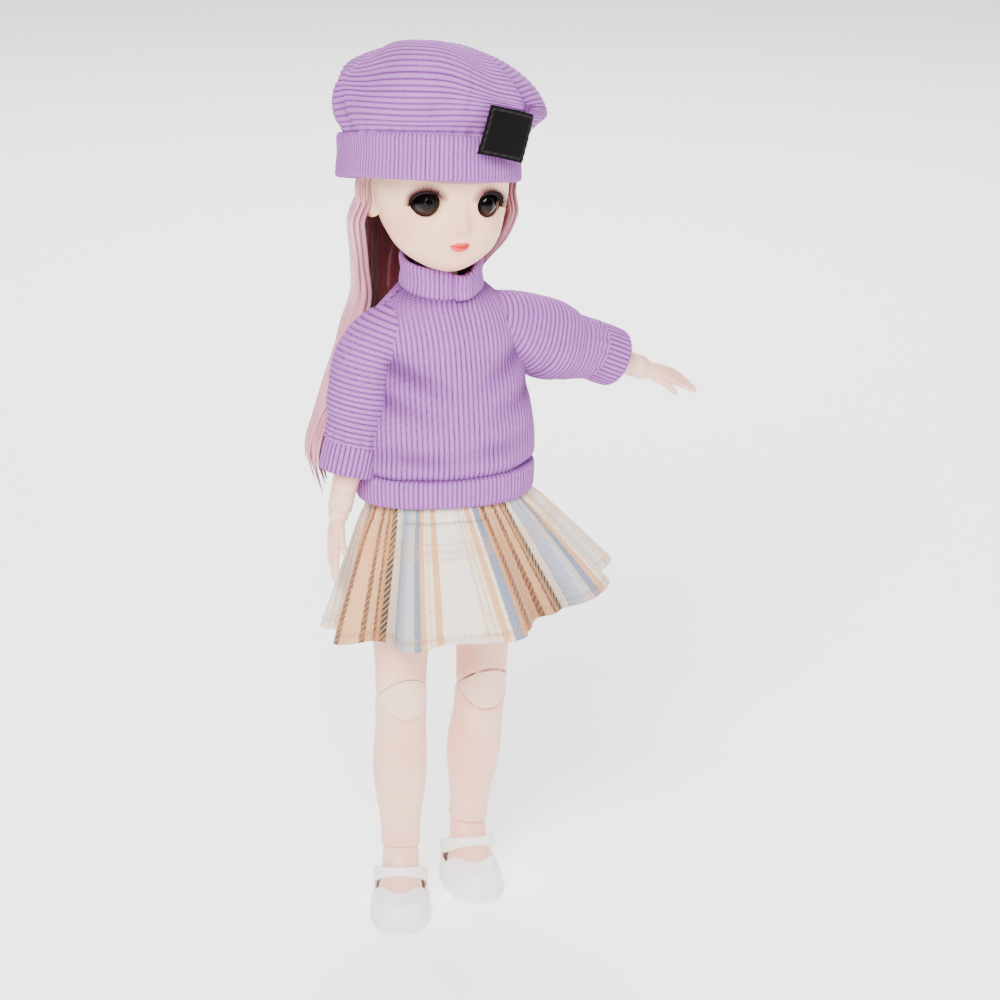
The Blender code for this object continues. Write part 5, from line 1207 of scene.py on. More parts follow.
@dataclass
class Arm:
    """Forearm, wrist sleeve and hand of one side."""

    bones: Skeleton
    side: Side
    drop: float
    forearm_length: float = 0.0246
    forearm_width: float = 0.0134
    palm_length: float = 0.0105
    palm_width: float = 0.0086
    palm_thickness: float = 0.0046
    finger_length: float = 0.0122
    finger_radius: float = 0.00125
    finger_pitch: float = 0.0021
    finger_shares: tuple[float, ...] = (0.90, 1.0, 0.95, 0.78)
    voxel: float = 0.00034

    def build(self) -> None:
        """Builds and dresses the arm's visible pieces."""
        tag = self.side.tag
        elbow = self.bones.place(f"elbow_bend_{tag}")
        wrist = self.bones.place(f"wrist_bend_{tag}")
        arm = self.bones.limb(elbow, wrist, self.bones.axis(f"elbow_bend_{tag}"))
        at_wrist = arm.copy()
        at_wrist[:3, 3] = wrist
        hand = at_wrist @ about("Y", self.side.value * self.drop)
        for piece, name, finish, slot in (
            (self.forearm(arm), "forearm", SKIN, "skin"), (self.wrist(at_wrist), "wrist", JOINT, "joint"),
            (self.hand(hand), "hand", SKIN, "skin"),
        ):
            fit(piece, finish, slot, f"{name}_{tag}", f"{name}_{tag}")

    def forearm(self, matrix: Array) -> bpy.types.Object:
        """Forearm: the elbow's slanted cut above, the wrist sleeve's seat below."""
        limb = Limb(
            (
                (-0.25, 0.95, 0.90, 0.0), (-0.12, 0.95, 0.90, 0.0), (0.0, 1.0, 0.92, 0.0),
                (0.18, 0.96, 0.92, 0.0), (0.45, 0.82, 0.84, 0.0), (0.80, 0.68, 0.70, 0.0),
                (1.0, 0.63, 0.65, 0.0),
            ),
            self.forearm_length, self.forearm_width, self.forearm_width, 72,
        )

        def line(y: Array) -> Array:
            return limb.cut_line(y, 0.0012, math.radians(58), math.radians(25), -1)

        wall = limb.side_wall(line, -self.forearm_length, 50)
        top = limb.cap(wall[0], line, -1)[::-1]
        bottom = limb.seat(wall[-1], ((0.98, -0.0002), (0.93, -0.0003), (0.8, -0.0003), (0.4, -0.0003)))
        return surface(f"forearm_vinyl_{self.side.tag}", put(matrix, np.concatenate([top, wall, bottom])))

    def wrist(self, matrix: Array) -> bpy.types.Object:
        """Wrist sleeve: a turned profile of height and radius that ends in the hand's ball."""
        ball, low = 0.0035, 0.0011
        under = np.linspace(low, -ball, 20)
        profile = np.array(
            [
                [0.0081, 0.0036], [0.0081, 0.0040], [0.0079, 0.0042], [0.0050, 0.00415], [0.0016, 0.0041],
                [0.0013, 0.0038], [0.0012, 0.0034],
            ]
        )
        profile = np.vstack([profile, np.stack([under, np.sqrt(np.maximum(ball**2 - under**2, 0))], -1)])
        zero = np.zeros(len(profile))
        grid = ring_points(profile[:, 1], profile[:, 1], zero, profile[:, 0], 48)
        return sharpen(surface(f"wrist_vinyl_{self.side.tag}", put(matrix, grid)), SHARP_RIM)

    def hand(self, matrix: Array) -> bpy.types.Object:
        """Hand: palm, four fingers and a thumb, fused by a fine voxel skin and smoothed."""
        way = self.side.value
        rows = np.array(
            [
                [-0.0006, 0.40, 0.50], [-0.0009, 0.66, 0.80], [-0.0020, 0.78, 0.98], [-0.0045, 0.90, 1.02],
                [-0.0075, 1.00, 1.00], [-0.0098, 1.00, 0.86], [-0.0112, 0.95, 0.66], [-0.0117, 0.80, 0.40],
            ]
        )
        z = np.linspace(rows[0, 0], rows[-1, 0], 26)
        shares = through(rows[::-1], z)
        palm = ring_points(
            shares[:, 1] * self.palm_thickness / 2, shares[:, 0] * self.palm_width / 2, np.zeros(len(z)), z,
            40, 2.3,
        )
        parts = [surface("palm", put(matrix, palm))]
        root_z = -0.0010 - self.palm_length + 0.0021
        for k, share in enumerate(self.finger_shares):
            across = k - 1.5
            start = np.array([0.0, across * self.finger_pitch, root_z])
            parts.append(
                self.digit(
                    matrix, start, self.finger_length * share + 0.0021, across * 0.055,
                    -way * (0.06 + 0.03 * k), self.finger_radius,
                )
            )
        thumb = np.array([-way * 0.0005, -0.0027, -0.0036])
        parts.append(self.digit(matrix, thumb, 0.0102, -math.radians(27), -way * 0.10, 0.0014))
        piece = joined(f"hand_vinyl_{self.side.tag}", parts)
        skin = piece.modifiers.new("skin", "REMESH")
        skin.mode = "VOXEL"
        skin.voxel_size = self.voxel
        skin.use_smooth_shade = True
        soft = piece.modifiers.new("soft", "SMOOTH")
        soft.factor = 0.5
        soft.iterations = 5
        return settle(piece)

    def digit(
        self, matrix: Array, start: Array, length: float, spread: float, curl: float, radius: float,
    ) -> bpy.types.Object:
        """Finger as a swept circle with a rounded tip, thicker at each knuckle.

        Args:
            matrix: Frame of the hand.
            start: Root, in that frame.
            length: Length to the tip.
            spread: Angle away from straight down, across the palm.
            curl: Angle of the bend that grows with the square of the length.
            radius: Radius at the root.

        Returns:
            The closed digit.
        """
        t = np.concatenate([np.linspace(0, 0.88, 20), 0.88 + 0.12 * np.sin(np.linspace(0.15, 1.57, 8))])
        tip = np.sqrt(np.clip(1 - (np.clip(t - 0.88, 0, 1) / 0.12) ** 2, 0.0, 1.0))
        knuckle = 1 + 0.05 * bump(t, 0.45, 0.06) + 0.04 * bump(t, 0.70, 0.05)
        size = radius * (1 - 0.22 * t) * knuckle * np.maximum(tip, 0.02)
        path = start + length * np.stack(
            [np.sin(curl) * t * t * 1.5, np.sin(spread) * t, -np.cos(spread) * t], -1,
        )
        angle = circle(20)
        ring = np.stack([np.cos(angle), np.sin(angle) * 0.94, np.zeros(20)], -1)
        lean = about("X", math.degrees(spread))[:3, :3]
        grid = path[:, None] + size[:, None, None] * (ring @ lean.T)[None]
        return surface("digit", put(matrix, grid))


# Knitted clothes


def wales(along: Array, pitch: float) -> Array:
    """Rounded ribs with sharp grooves: the cosine of pi times the place in pitches, to a power.

    Args:
        along: Distance across the ribs.
        pitch: Distance from rib to rib.

    Returns:
        1 on a crest and 0 in a groove.
    """
    return np.abs(np.cos(math.pi * along / pitch)) ** RIB_POWER


def outward(grid: Array, closed: bool, centre: Array | None = None) -> Array:
    """Grid normals that point away from each row's middle, or from a given point."""
    normals = grid_normals(grid, closed)
    middle = grid.mean(1, keepdims=True) if centre is None else centre
    facing = np.einsum("ijk,ijk->", normals, grid - middle)
    return normals if facing > 0 else -normals


def run_length(grid: Array, axis: int) -> Array:
    """Distance along the rows or columns of a grid, summed from its first point."""
    steps = np.linalg.norm(np.diff(grid, axis=axis), axis=-1)
    start = np.zeros_like(np.take(steps, [0], axis=axis))
    return np.cumsum(np.concatenate([start, steps], axis=axis), axis=axis)


def cloth_uv(grid: Array, closed: bool = True, gather: float = 1.0) -> Array:
    """Cloth coordinates in millimetres: round each row times the gathering, and down each column."""
    if closed:
        grid = np.concatenate([grid, grid[:, :1]], 1)
    return np.stack([run_length(grid, 1) * gather, run_length(grid, 0)], -1) * 1000


def face_along(piece: bpy.types.Object, index: int, way: Array) -> None:
    """Turns a piece's faces over where the numbered one looks against a direction."""
    if float(np.array(piece.data.polygons[index].normal) @ way) < 0:
        piece.data.flip_normals()


def cloth_piece(
    name: str, grid: Array, wale: Array, thickness: float, uv: Array, closed: bool = True,
    centre: Array | None = None, depth: float = RIB_HEIGHT, shade: Array | None = None,
) -> bpy.types.Object:
    """Ribbed cloth wall: the grid raised by the height of its ribs, with a wall inside it.

    Args:
        name: Object's name.
        grid: Outer face of the cloth.
        wale: Height on the rib at each point, 0 to 1.
        thickness: Cloth's thickness.
        uv: Cloth coordinates in millimetres.
        closed: Whether the last column joins the first.
        centre: Point that the outer face turns away from.
        depth: Height of a rib.
        shade: Painted shade at each point, 0 to 1, most deep in folds.

    Returns:
        The open wall, thickened inwards.
    """
    normals = outward(grid, closed, centre)
    raised = grid + normals * ((wale - 1.0) * depth)[..., None]
    marks = {"wale": wale, "shade": np.zeros_like(wale) if shade is None else shade}
    piece = surface(name, raised, closed=closed, ends=False, uv=uv, marks=marks)
    middle = len(piece.data.polygons) // 2
    face_along(piece, middle, normals[divmod(middle, grid.shape[1] - (0 if closed else 1))])
    return thicken(piece, thickness)


@dataclass
class Sweater:
    """Loose ribbed sweater: body, hem band, collar, two sleeves and two cuffs."""

    bones: Skeleton
    cloth: float = 0.0016
    pitch: float = 0.00180
    width: float = 0.0640
    depth: float = 0.0480
    bottom: float = -0.0051
    height: float = 0.0625
    slope: float = math.tan(math.radians(10))
    body_shares: tuple[tuple[float, ...], ...] = (
        (0.00, 0.962, 0.968, 0.0), (0.03, 0.985, 0.985, 0.0), (0.12, 1.00, 1.00, 0.0),
        (0.40, 0.93, 0.93, 0.0), (0.62, 0.85, 0.85, 0.0), (0.78, 0.81, 0.76, 0.2), (0.87, 0.72, 0.66, 0.5),
        (0.94, 0.57, 0.56, 0.8), (1.00, 0.43, 0.54, 1.0),
    )

    def build(self) -> None:
        """Builds and dresses the sweater's pieces."""
        self.frame = at(*self.bones.place("waist_bend"))
        for piece, node, flat, held in (
            (self.body(), "sweater_body", (0.178, 0.064), "draped"),
            (self.hem(), "sweater_hem", (0.178, 0.0100), "stretched"),
            (self.collar(), "sweater_collar", (0.092, 0.0100), "stretched"),
        ):
            fit(piece, JERSEY, "knit", "chest", node)
        for side, sizes in (
            (Side.RIGHT, {"radius": 0.0110, "puff": 0.0106, "bag": 0.0006}), (Side.LEFT, {"bag": 0.0040}),
        ):
            Sleeve(self.bones, side, self.cloth, self.pitch, **sizes).build()

    def ellipse(self, half_x: Array, half_y: Array, z: Array, columns: int) -> tuple[Array, Array]:
        """Rings whose points are evenly spaced, and their angles; the first point is in front."""
        fine = np.linspace(FRONT, FRONT + TAU, 721)
        steps = np.hypot(*np.diff([32 * np.cos(fine), 24 * np.sin(fine)]))
        length = np.concatenate([[0], np.cumsum(steps)])
        angle = np.interp(np.linspace(0, length[-1], columns, endpoint=False), length, fine)
        x = half_x[:, None] * np.cos(angle)
        y = half_y[:, None] * np.sin(angle)
        return np.stack([x, y, np.broadcast_to(z[:, None], x.shape)], -1), angle

    def panel_place(self, grid: Array) -> Array:
        """Distance round each ring from the middle of its own panel, front or back."""
        run = run_length(np.concatenate([grid, grid[:, :1]], 1), 1)
        run, total = run[:, :-1], run[:, -1:]
        return np.minimum(np.minimum(run, total - run), np.abs(run - total / 2))

    def body(self) -> bpy.types.Object:
        """Body: rings from hem to neck, with drag folds from each armhole and a blouse over the hem."""
        t = np.linspace(0, 1, 74)
        shares = through(self.body_shares, t)
        z = self.bottom + self.height * t
        grid, angle = self.ellipse(shares[:, 0] * self.width / 2, shares[:, 1] * self.depth / 2, z, 500)
        lean = shares[:, 2, None]
        grid[..., 2] += grid[..., 1] * self.slope * lean
        grid[..., 1] += 0.002 * lean
        place = self.panel_place(grid)
        seam = np.abs(np.cos(angle))[None] ** 900
        x = grid[..., 0]
        tt = t[:, None]
        # Each fold: side, place along, width along, place of x, slant and depth
        folds = (
            (-1, 0.60, 0.07, 0.020, 1.5, 0.0011), (-1, 0.44, 0.06, 0.026, 1.2, 0.0008),
            (1, 0.62, 0.07, 0.021, 1.4, 0.0010), (1, 0.40, 0.06, 0.025, 1.0, 0.0007),
            (-1, 0.13, 0.05, 0.018, 0.3, 0.0007), (1, 0.15, 0.05, 0.012, 0.2, 0.0006),
        )
        dent = np.zeros_like(x)
        for way, middle, wide, out, slant, deep in folds:
            away = (x * way - out) / 0.010
            dent += deep * bump(tt - middle - 0.05 * slant * away, 0.0, wide) * bump(away, 0.0, 1.2)
        soft = 0.00035 * np.sin(7 * angle + 3 * tt) * np.sin(5.0 * tt + 2 * angle)
        normals = outward(grid, True)
        hollow = 0.0008 * seam * ease((tt - 0.02) / 0.1)
        grid = grid + normals * (soft - dent - hollow)[..., None]
        # The seam at the hem pulls the cloth in
        pull = 0.0006 * bump(tt, 0.0, 0.025)
        grid = grid - normals * pull[..., None]
        wale = wales(place, self.pitch) * (1 - 0.5 * seam) * (1 - 0.5 * bump(tt, 0, 0.012))
        # Painted shade below each arm, in the drag folds, above the hem seam and under the collar
        shade = 0.55 * np.clip(dent / 0.0010, 0, 1) + 0.35 * bump(tt, 0, 0.03)
        shade = shade + 0.45 * bump(np.abs(x), 0.029, 0.0045) * bump(tt, 0.50, 0.22) + 0.6 * bump(
            tt, 1.0, 0.05,
        )
        return cloth_piece(
            "sweater_body_jersey", put(self.frame, grid), wale, self.cloth, cloth_uv(grid),
            shade=np.clip(shade, 0, 0.8),
        )

    def hem(self) -> bpy.types.Object:
        """Hem band: ribbed rings, a little waisted, with their edges rolled in."""
        t = np.linspace(0, 1, 20)
        z = -0.0152 + 0.0110 * t
        size = np.interp(t, [0, 0.06, 0.2, 0.8, 0.90, 1], [0.962, 0.985, 0.996, 1.0, 0.985, 0.935])
        grid, angle = self.ellipse(size * 0.0628 / 2, size * 0.0470 / 2, z, 500)
        grid[..., 0] += 0.0006
        grid[..., 2] += 0.0004 * np.sin(3 * angle + 1.0) * (1 - t[:, None])
        run = run_length(np.concatenate([grid, grid[:, :1]], 1), 1)[10]
        count = round(run[-1] / (self.pitch * 0.92))
        wale = wales(run[:-1] / run[-1] * count, 1.0) * np.ones((20, 1)) * (
            1 - 0.8 * bump(t, 1.0, 0.1)
        )[:, None]
        return cloth_piece("sweater_hem_jersey", put(self.frame, grid), wale, self.cloth, cloth_uv(grid))

    def collar(self) -> bpy.types.Object:
        """Collar: a standing ribbed band whose left end laps over the right at the front."""
        columns = 250
        lap = math.radians(13)
        middle = math.radians(-90 + 13)
        angle = np.linspace(middle - lap, middle + TAU + lap, columns)
        t = np.linspace(0, 1, 26)[:, None]
        size = np.interp(t, [0, 0.10, 0.5, 0.88, 1], [1.0, 1.055, 1.0, 1.045, 1.0])
        turn = np.abs(angle - middle)
        last = np.abs(angle - middle - TAU)
        over = 0.0011 * (1 - ease(turn / math.radians(34)))
        under = 0.0009 * (1 - ease(last / math.radians(34)))
        x = (0.0138 * size + over - under) * np.cos(angle)
        y = (0.0132 * size + over - under) * np.sin(angle)
        notch = 0.0022 * (1 - ease(turn / math.radians(30))) + 0.0028 * (1 - ease(last / math.radians(34)))
        z = 0.0577 - 0.0016 + (0.0112 - notch) * t
        z = z + y * self.slope
        grid = np.stack([x, y + 0.002, z], -1)
        run = run_length(grid, 1)
        wale = wales(np.broadcast_to(run[13], run.shape), self.pitch * 0.86) * (1 - 0.9 * bump(t, 0, 0.10))
        uv = cloth_uv(grid, closed=False)
        return cloth_piece("sweater_collar_jersey", put(self.frame, grid), wale, 0.0013, uv, closed=False)


@dataclass
class Sleeve:
    """Full sleeve with its ribs round the arm, and the gathered cuff below the elbow."""

    bones: Skeleton
    side: Side
    cloth: float
    pitch: float
    inset: float = 0.0037
    radius: float = 0.0116
    puff: float = 0.0121
    cuff_radius: float = 0.0102
    cuff_length: float = 0.0105
    length: float = 0.0385
    bag: float = 0.0036
    turn_speed: float = 2.1
    power: float = 1.7

    def build(self) -> None:
        """Builds the sleeve in four lengths that share their edges, and the cuff."""
        tag = self.side.tag
        shoulder = self.bones.place(f"shoulder_raise_{tag}")
        elbow = self.bones.place(f"elbow_bend_{tag}")
        down = unit(elbow - shoulder)
        t = np.linspace(-0.05, 1.0, 170)
        grid, normals = self.rings(shoulder, down, t)
        reach = (grid.mean(1) - shoulder) @ down
        cuts = [0] + [int(np.searchsorted(reach, r)) for r in (0.0145, 0.0245, 0.0310)] + [len(t) - 1]
        bodies = (
            (f"shoulder_{tag}", f"upper_arm_{tag}"), (f"upper_arm_{tag}",),
            (f"upper_arm_{tag}", f"elbow_{tag}"), (f"elbow_{tag}", f"forearm_{tag}"),
        )
        # The ribs lie level across the arm, and turn a little with the shoulder
        run = np.median(run_length(grid, 0), axis=1)[:, None] * np.ones(grid.shape[1])
        wale = wales(0.78 * (grid - shoulder) @ down + 0.22 * run, self.pitch)
        uv = cloth_uv(grid)
        raised = grid + normals * ((wale - 1.0) * RIB_HEIGHT)[..., None]
        inner = grid - normals * self.cloth
        for k, (first, last) in enumerate(zip(cuts, cuts[1:])):
            part = slice(first, last + 1)
            piece = self.wall(f"sleeve_{k}_jersey_{tag}", raised[part], inner[part], wale[part], uv[part])
            fit(piece, JERSEY, "knit", bodies[k][0] if len(bodies[k]) == 1 else "", f"sleeve_{tag}")
            if len(bodies[k]) == 2:
                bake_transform(piece)
        self.cuff(elbow, self.bones.place(f"wrist_bend_{tag}"))

    def ends(self, first: Array, last: Array) -> tuple[Array, Array]:
        """Two points along a length: past its whole first ring, and short of its last."""
        a, b = first.mean(0), last.mean(0)
        way = unit(b - a)
        start = float(((first - a) @ way).max())
        end = float(((last - a) @ way).min())
        if end - start < 0.001:
            start, end = 0.2 * float((b - a) @ way), 0.8 * float((b - a) @ way)
        return a + way * start, a + way * end

    def rings(self, shoulder: Array, down: Array, t: Array) -> tuple[Array, Array]:
        """Outer rings of the sleeve and their outward directions.

        The inner side runs straight from the armpit to the cuff while the
        direction turns from sideways to along the arm; soft creases cross it
        where the arm bends and above the cuff.

        Args:
            shoulder: Shoulder's pivot.
            down: Direction of the arm.
            t: Places along the sleeve, 0 at the armhole.

        Returns:
            Grid of points and grid of directions.
        """
        way = self.side.value
        armpit = np.array(
            [shoulder[0] - way * self.inset, shoulder[1], shoulder[2] - self.cloth - self.radius]
        )
        armpit[1] = self.bones.place("waist_bend")[1]
        up = np.array([0.0, 0.0, 1.0])
        end_up = unit(up - down * down[2])
        end = shoulder + down * self.length - end_up * self.cuff_radius
        side = np.array([way, 0.0, 0.0])
        whole = math.acos(float(side @ down))
        s = ease(t * self.turn_speed)
        ahead = (
            np.sin((1 - s) * whole)[:, None] * side + np.sin(s * whole)[:, None] * down
        ) / math.sin(whole)
        upward = unit(up - ahead * ahead[:, 2:])
        swell = self.radius + (self.puff - self.radius) * np.sin(math.pi * np.clip(t, 0, 1)) ** 2
        gather = ease((t - 0.62) / 0.38)
        size = swell - (swell - self.cuff_radius) * gather
        size = size * (1 - 3.0 * np.clip(-t, 0, 1))
        along = np.sign(t) * np.abs(t) ** self.power
        along = np.where(t < 0, t * 0.25, along)
        centre = armpit + along[:, None] * (end - armpit) + upward * size[:, None]
        centre = centre + (side * 0.030 + up * 0.030) * np.where(t < 0, t, 0.0)[:, None]
        sideways = np.cross(ahead, upward)
        angle = circle(192)
        spot = upward[:, None] * np.cos(angle)[None, :, None] + sideways[:, None] * np.sin(angle)[
            None, :, None,
        ]
        under = ease((0.35 - np.cos(angle)) / 1.1)[None]
        tt = t[:, None]
        crease = (
            0.0009 * bump(tt, 0.20 + 0.02 * np.sin(2 * angle), 0.045) * under + 0.0008 * bump(
                tt, 0.80 + 0.03 * np.sin(angle + 1), 0.035,
            ) * (1 - 0.5 * under) + 0.0006 * bump(tt, 0.52 + 0.03 * np.sin(2 * angle + 2), 0.04) * under
        )
        pucker = 0.00035 * np.cos(16 * angle)[None] * ease((tt - 0.84) / 0.14)
        # The raised arm's sleeve hangs down in a bag before the cuff
        hang = self.bag * under * np.sin(math.pi * np.clip(tt, 0, 1) ** 1.6) ** 1.2
        room = size[:, None] - crease + pucker + hang
        return centre[:, None] + spot * room[..., None], spot

    def wall(self, name: str, outer: Array, inner: Array, wale: Array, uv: Array) -> bpy.types.Object:
        """Closed length of the sleeve, from its outer and its inner rings."""
        grid = np.concatenate(
            [outer, inner[::-4], inner[:1]] if len(inner) % 4 != 1 else [outer, inner[::-4]]
        )
        dull = np.concatenate([wale, np.full((len(grid) - len(outer), outer.shape[1]), 0.3)])
        back = np.repeat(uv[:1], len(grid) - len(outer), 0)
        return surface(
            name, grid, ends=False, ring=True, uv=np.concatenate([uv, back]), marks={"wale": dull},
        )

    def cuff(self, elbow: Array, wrist: Array) -> None:
        """Cuff: a band of lengthwise ribs that rides the forearm."""
        tag = self.side.tag
        matrix = self.bones.limb(elbow, wrist, self.bones.axis(f"elbow_bend_{tag}"))
        t = np.linspace(0, 1, 24)
        size = np.interp(t, [0, 0.06, 0.5, 0.92, 1], [0.955, 0.98, 1.0, 0.985, 0.955])
        top = float(
            np.linalg.norm(elbow - self.bones.place(f"shoulder_raise_{tag}"))
        ) - self.length + 0.0003
        z = top - (self.cuff_length + 0.0004) * t
        radius = self.cuff_radius * size
        grid = ring_points(radius, radius, np.zeros(len(t)), z, 288)
        angle = circle(288)
        droop = 0.0003 * np.sin(2 * angle + 0.7)
        grid[..., 0] += droop * np.cos(angle)
        grid[..., 1] += droop * np.sin(angle)
        count = round(TAU * self.cuff_radius / self.pitch)
        wale = np.broadcast_to(np.abs(np.cos(angle * count / 2)) ** RIB_POWER, grid.shape[:2])
        piece = cloth_piece(f"cuff_jersey_{tag}", put(matrix, grid), wale, self.cloth, cloth_uv(grid))
        fit(piece, JERSEY, "knit", f"forearm_{tag}", f"cuff_{tag}")


# Skirt


@dataclass
class Skirt:
    """Gathered plaid skirt: a waistband, and two panels that lap at the front pleat and behind."""

    bones: Skeleton
    cloth: float = 0.0009
    top_width: float = 0.0470
    top_depth: float = 0.0360
    hem_width: float = 0.0980
    hem_depth: float = 0.0760
    length: float = 0.0560
    top_rise: float = 0.0225
    lift: float = 0.0160
    shift: float = 0.0090
    pleat: float = math.radians(-82)
    white_middle: float = math.radians(-106.5)
    white_place: float = 34.7

    def build(self) -> None:
        """Builds and dresses the waistband and both panels."""
        self.frame = at(*(self.bones.place("waist_bend") - np.array([0, 0, 0.0325])))
        band = fit(self.waistband(), PLAID, "plaid", "pelvis", "skirt_waistband")
        back = math.radians(90)
        for side, first, last in (
            (Side.LEFT, self.pleat - math.radians(14), back + math.radians(7)),
            (Side.RIGHT, back - TAU - math.radians(7), self.pleat),
        ):
            piece = fit(self.panel(side, first, last), PLAID, "plaid", "", "skirt")
            f"hip_{side.tag}"
            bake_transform(piece)

    def waistband(self) -> bpy.types.Object:
        """Waistband: a gathered casing with puckers all round."""
        t = np.linspace(0, 1, 12)
        z = 0.0198 + 0.0064 * t
        size = 1 - 0.03 * bump(t, 0, 0.12) - 0.03 * bump(t, 1, 0.12)
        grid = ring_points(0.0430 / 2 * size, 0.0312 / 2 * size, np.zeros(12), z, 300)
        angle = circle(300)
        pucker = 0.0003 * np.cos(44 * angle) * np.ones((12, 1))
        grid = grid + outward(grid, True) * (pucker - 0.0003)[..., None]
        uv = cloth_uv(grid, gather=1.8)
        stitch = np.broadcast_to(bump(t, 0.15, 0.05)[:, None], grid.shape[:2])
        piece = surface(
            "skirt_waistband_plaid", put(self.frame, grid), ends=False, uv=uv, marks={"stitch": stitch},
        )
        return self.lined(piece)

    def lined(self, piece: bpy.types.Object) -> bpy.types.Object:
        """A wall whose faces look away from the skirt's axis, with the cloth's thickness inside."""
        middle = len(piece.data.polygons) // 2
        way = np.array(piece.data.polygons[middle].center) - self.frame[:3, 3]
        face_along(piece, middle, way * np.array([1, 1, 0]))
        return thicken(piece, self.cloth)

    def fold(self, angle: Array, t: Array) -> Array:
        """Depth of the folds: a wave round the hem that grows down the cloth, flat at the front panel.

        Args:
            angle: Angle round the skirt.
            t: Share of the way down.

        Returns:
            Distance outwards.
        """
        wave = np.cos(9 * angle + 0.8 * np.sin(2 * angle) + 0.5)
        front = bump(angle, self.white_middle, math.radians(26))
        fine = 0.22 * np.cos(21 * angle + 1.3 * np.sin(3 * angle)) * (1 - 0.5 * t)
        out = 0.0038 * t * (wave * (1 - 0.72 * front) + 0.5 * front) + 0.0050 * fine * t**0.5 * (
            1 - 0.8 * front
        )
        gather = 0.00060 * np.cos(52 * angle + 2 * np.sin(5 * angle)) * (1 - ease(t / 0.5))
        valley = 0.0062 * t**0.8 * bump(angle, self.pleat + math.radians(9), math.radians(5.5))
        crease = 0.0036 * t**0.7 * bump(angle, math.radians(-139), math.radians(4.5))
        return out + gather - valley - crease

    def panel(self, side: Side, first: float, last: float) -> bpy.types.Object:
        """One panel of the skirt.

        The half widths grow with the height's 0.9 power, the left side is lifted,
        and the edge that lies underneath is set in by the cloth's thickness.

        Args:
            side: Side whose leg the panel follows.
            first: Angle of its first edge.
            last: Angle of its last edge.

        Returns:
            The thickened panel.
        """
        columns, rows = 300, 84
        angle = np.linspace(first, last, columns)[None]
        t = np.linspace(0, 1, rows)[:, None]
        flare = t**0.9
        half_x = self.top_width / 2 + (self.hem_width - self.top_width) / 2 * flare
        half_y = self.top_depth / 2 + (self.hem_depth - self.top_depth) / 2 * flare
        out = self.fold(angle, t)
        # Painted shade, darker where the folds sink in
        shade = np.clip(0.15 - out / 0.0050, 0, 1)
        # The yoke is flat down to its seam, and the cloth swells below it
        yoke = 0.205
        out = out * (0.35 + 0.65 * ease((t - yoke * 0.6) / 0.2)) - 0.0004 * bump(t, yoke, 0.014)
        if side is Side.LEFT:
            under = 1 - ease((angle - self.pleat + math.radians(4)) / math.radians(9))
            behind = 1 - ease((math.radians(97) - angle) / math.radians(14))
            out = out - 0.0017 * under * ease(t / 0.1) + 0.0007 * behind
        else:
            edge = ease((angle - self.pleat + math.radians(16)) / math.radians(12))
            behind = 1 - ease((angle - first) / math.radians(14))
            out = out + 0.0012 * edge * ease(t / 0.15) - 0.0009 * behind
        c, s = np.cos(angle), np.sin(angle)
        sway = 0.0012 * np.sin(11 * angle + 1) * t**2
        x = (half_x + out) * c + self.shift * t - sway * s
        y = (half_y + out) * s + sway * c
        rise = (1 + c) / 2
        ragged = 0.0008 * np.sin(9 * angle + 0.4) * t**3
        front = ((1 - s) / 2) ** 1.5
        z = self.top_rise - self.length * t + self.lift * t * rise**3 + 0.0072 * front * t + ragged
        grid = np.stack([x, y, z], -1)
        across = self.hem_place(angle[0])
        down = run_length(grid, 0) * 1000
        uv = np.stack([np.broadcast_to(across, x.shape), down], -1)
        on_front = bump(angle, self.white_middle, math.radians(34)) > 0.45
        seam = bump(t, yoke, 0.008) * on_front
        hem = 0.8 * bump(t, 0.945, 0.007) * np.ones_like(angle)
        piece = surface(
            f"skirt_plaid_{side.tag}", put(self.frame, grid), closed=False, ends=False, uv=uv,
            marks={"stitch": np.clip(seam + hem, 0, 1), "shade": shade},
        )
        return self.lined(piece)

    def hem_place(self, angle: Array) -> Array:
        """Millimetres along the hem from the white panel's middle, an ellipse's arc summed in steps."""
        fine = np.linspace(-1.6 * math.pi, 0.8 * math.pi, 4001)
        step = np.hypot(self.hem_width / 2 * np.sin(fine), self.hem_depth / 2 * np.cos(fine))
        run = np.concatenate([[0], np.cumsum((step[1:] + step[:-1]) / 2 * np.diff(fine))]) * 1000 * 1.08
        return np.interp(angle, fine, run) - np.interp(self.white_middle, fine, run) + self.white_place


# Head


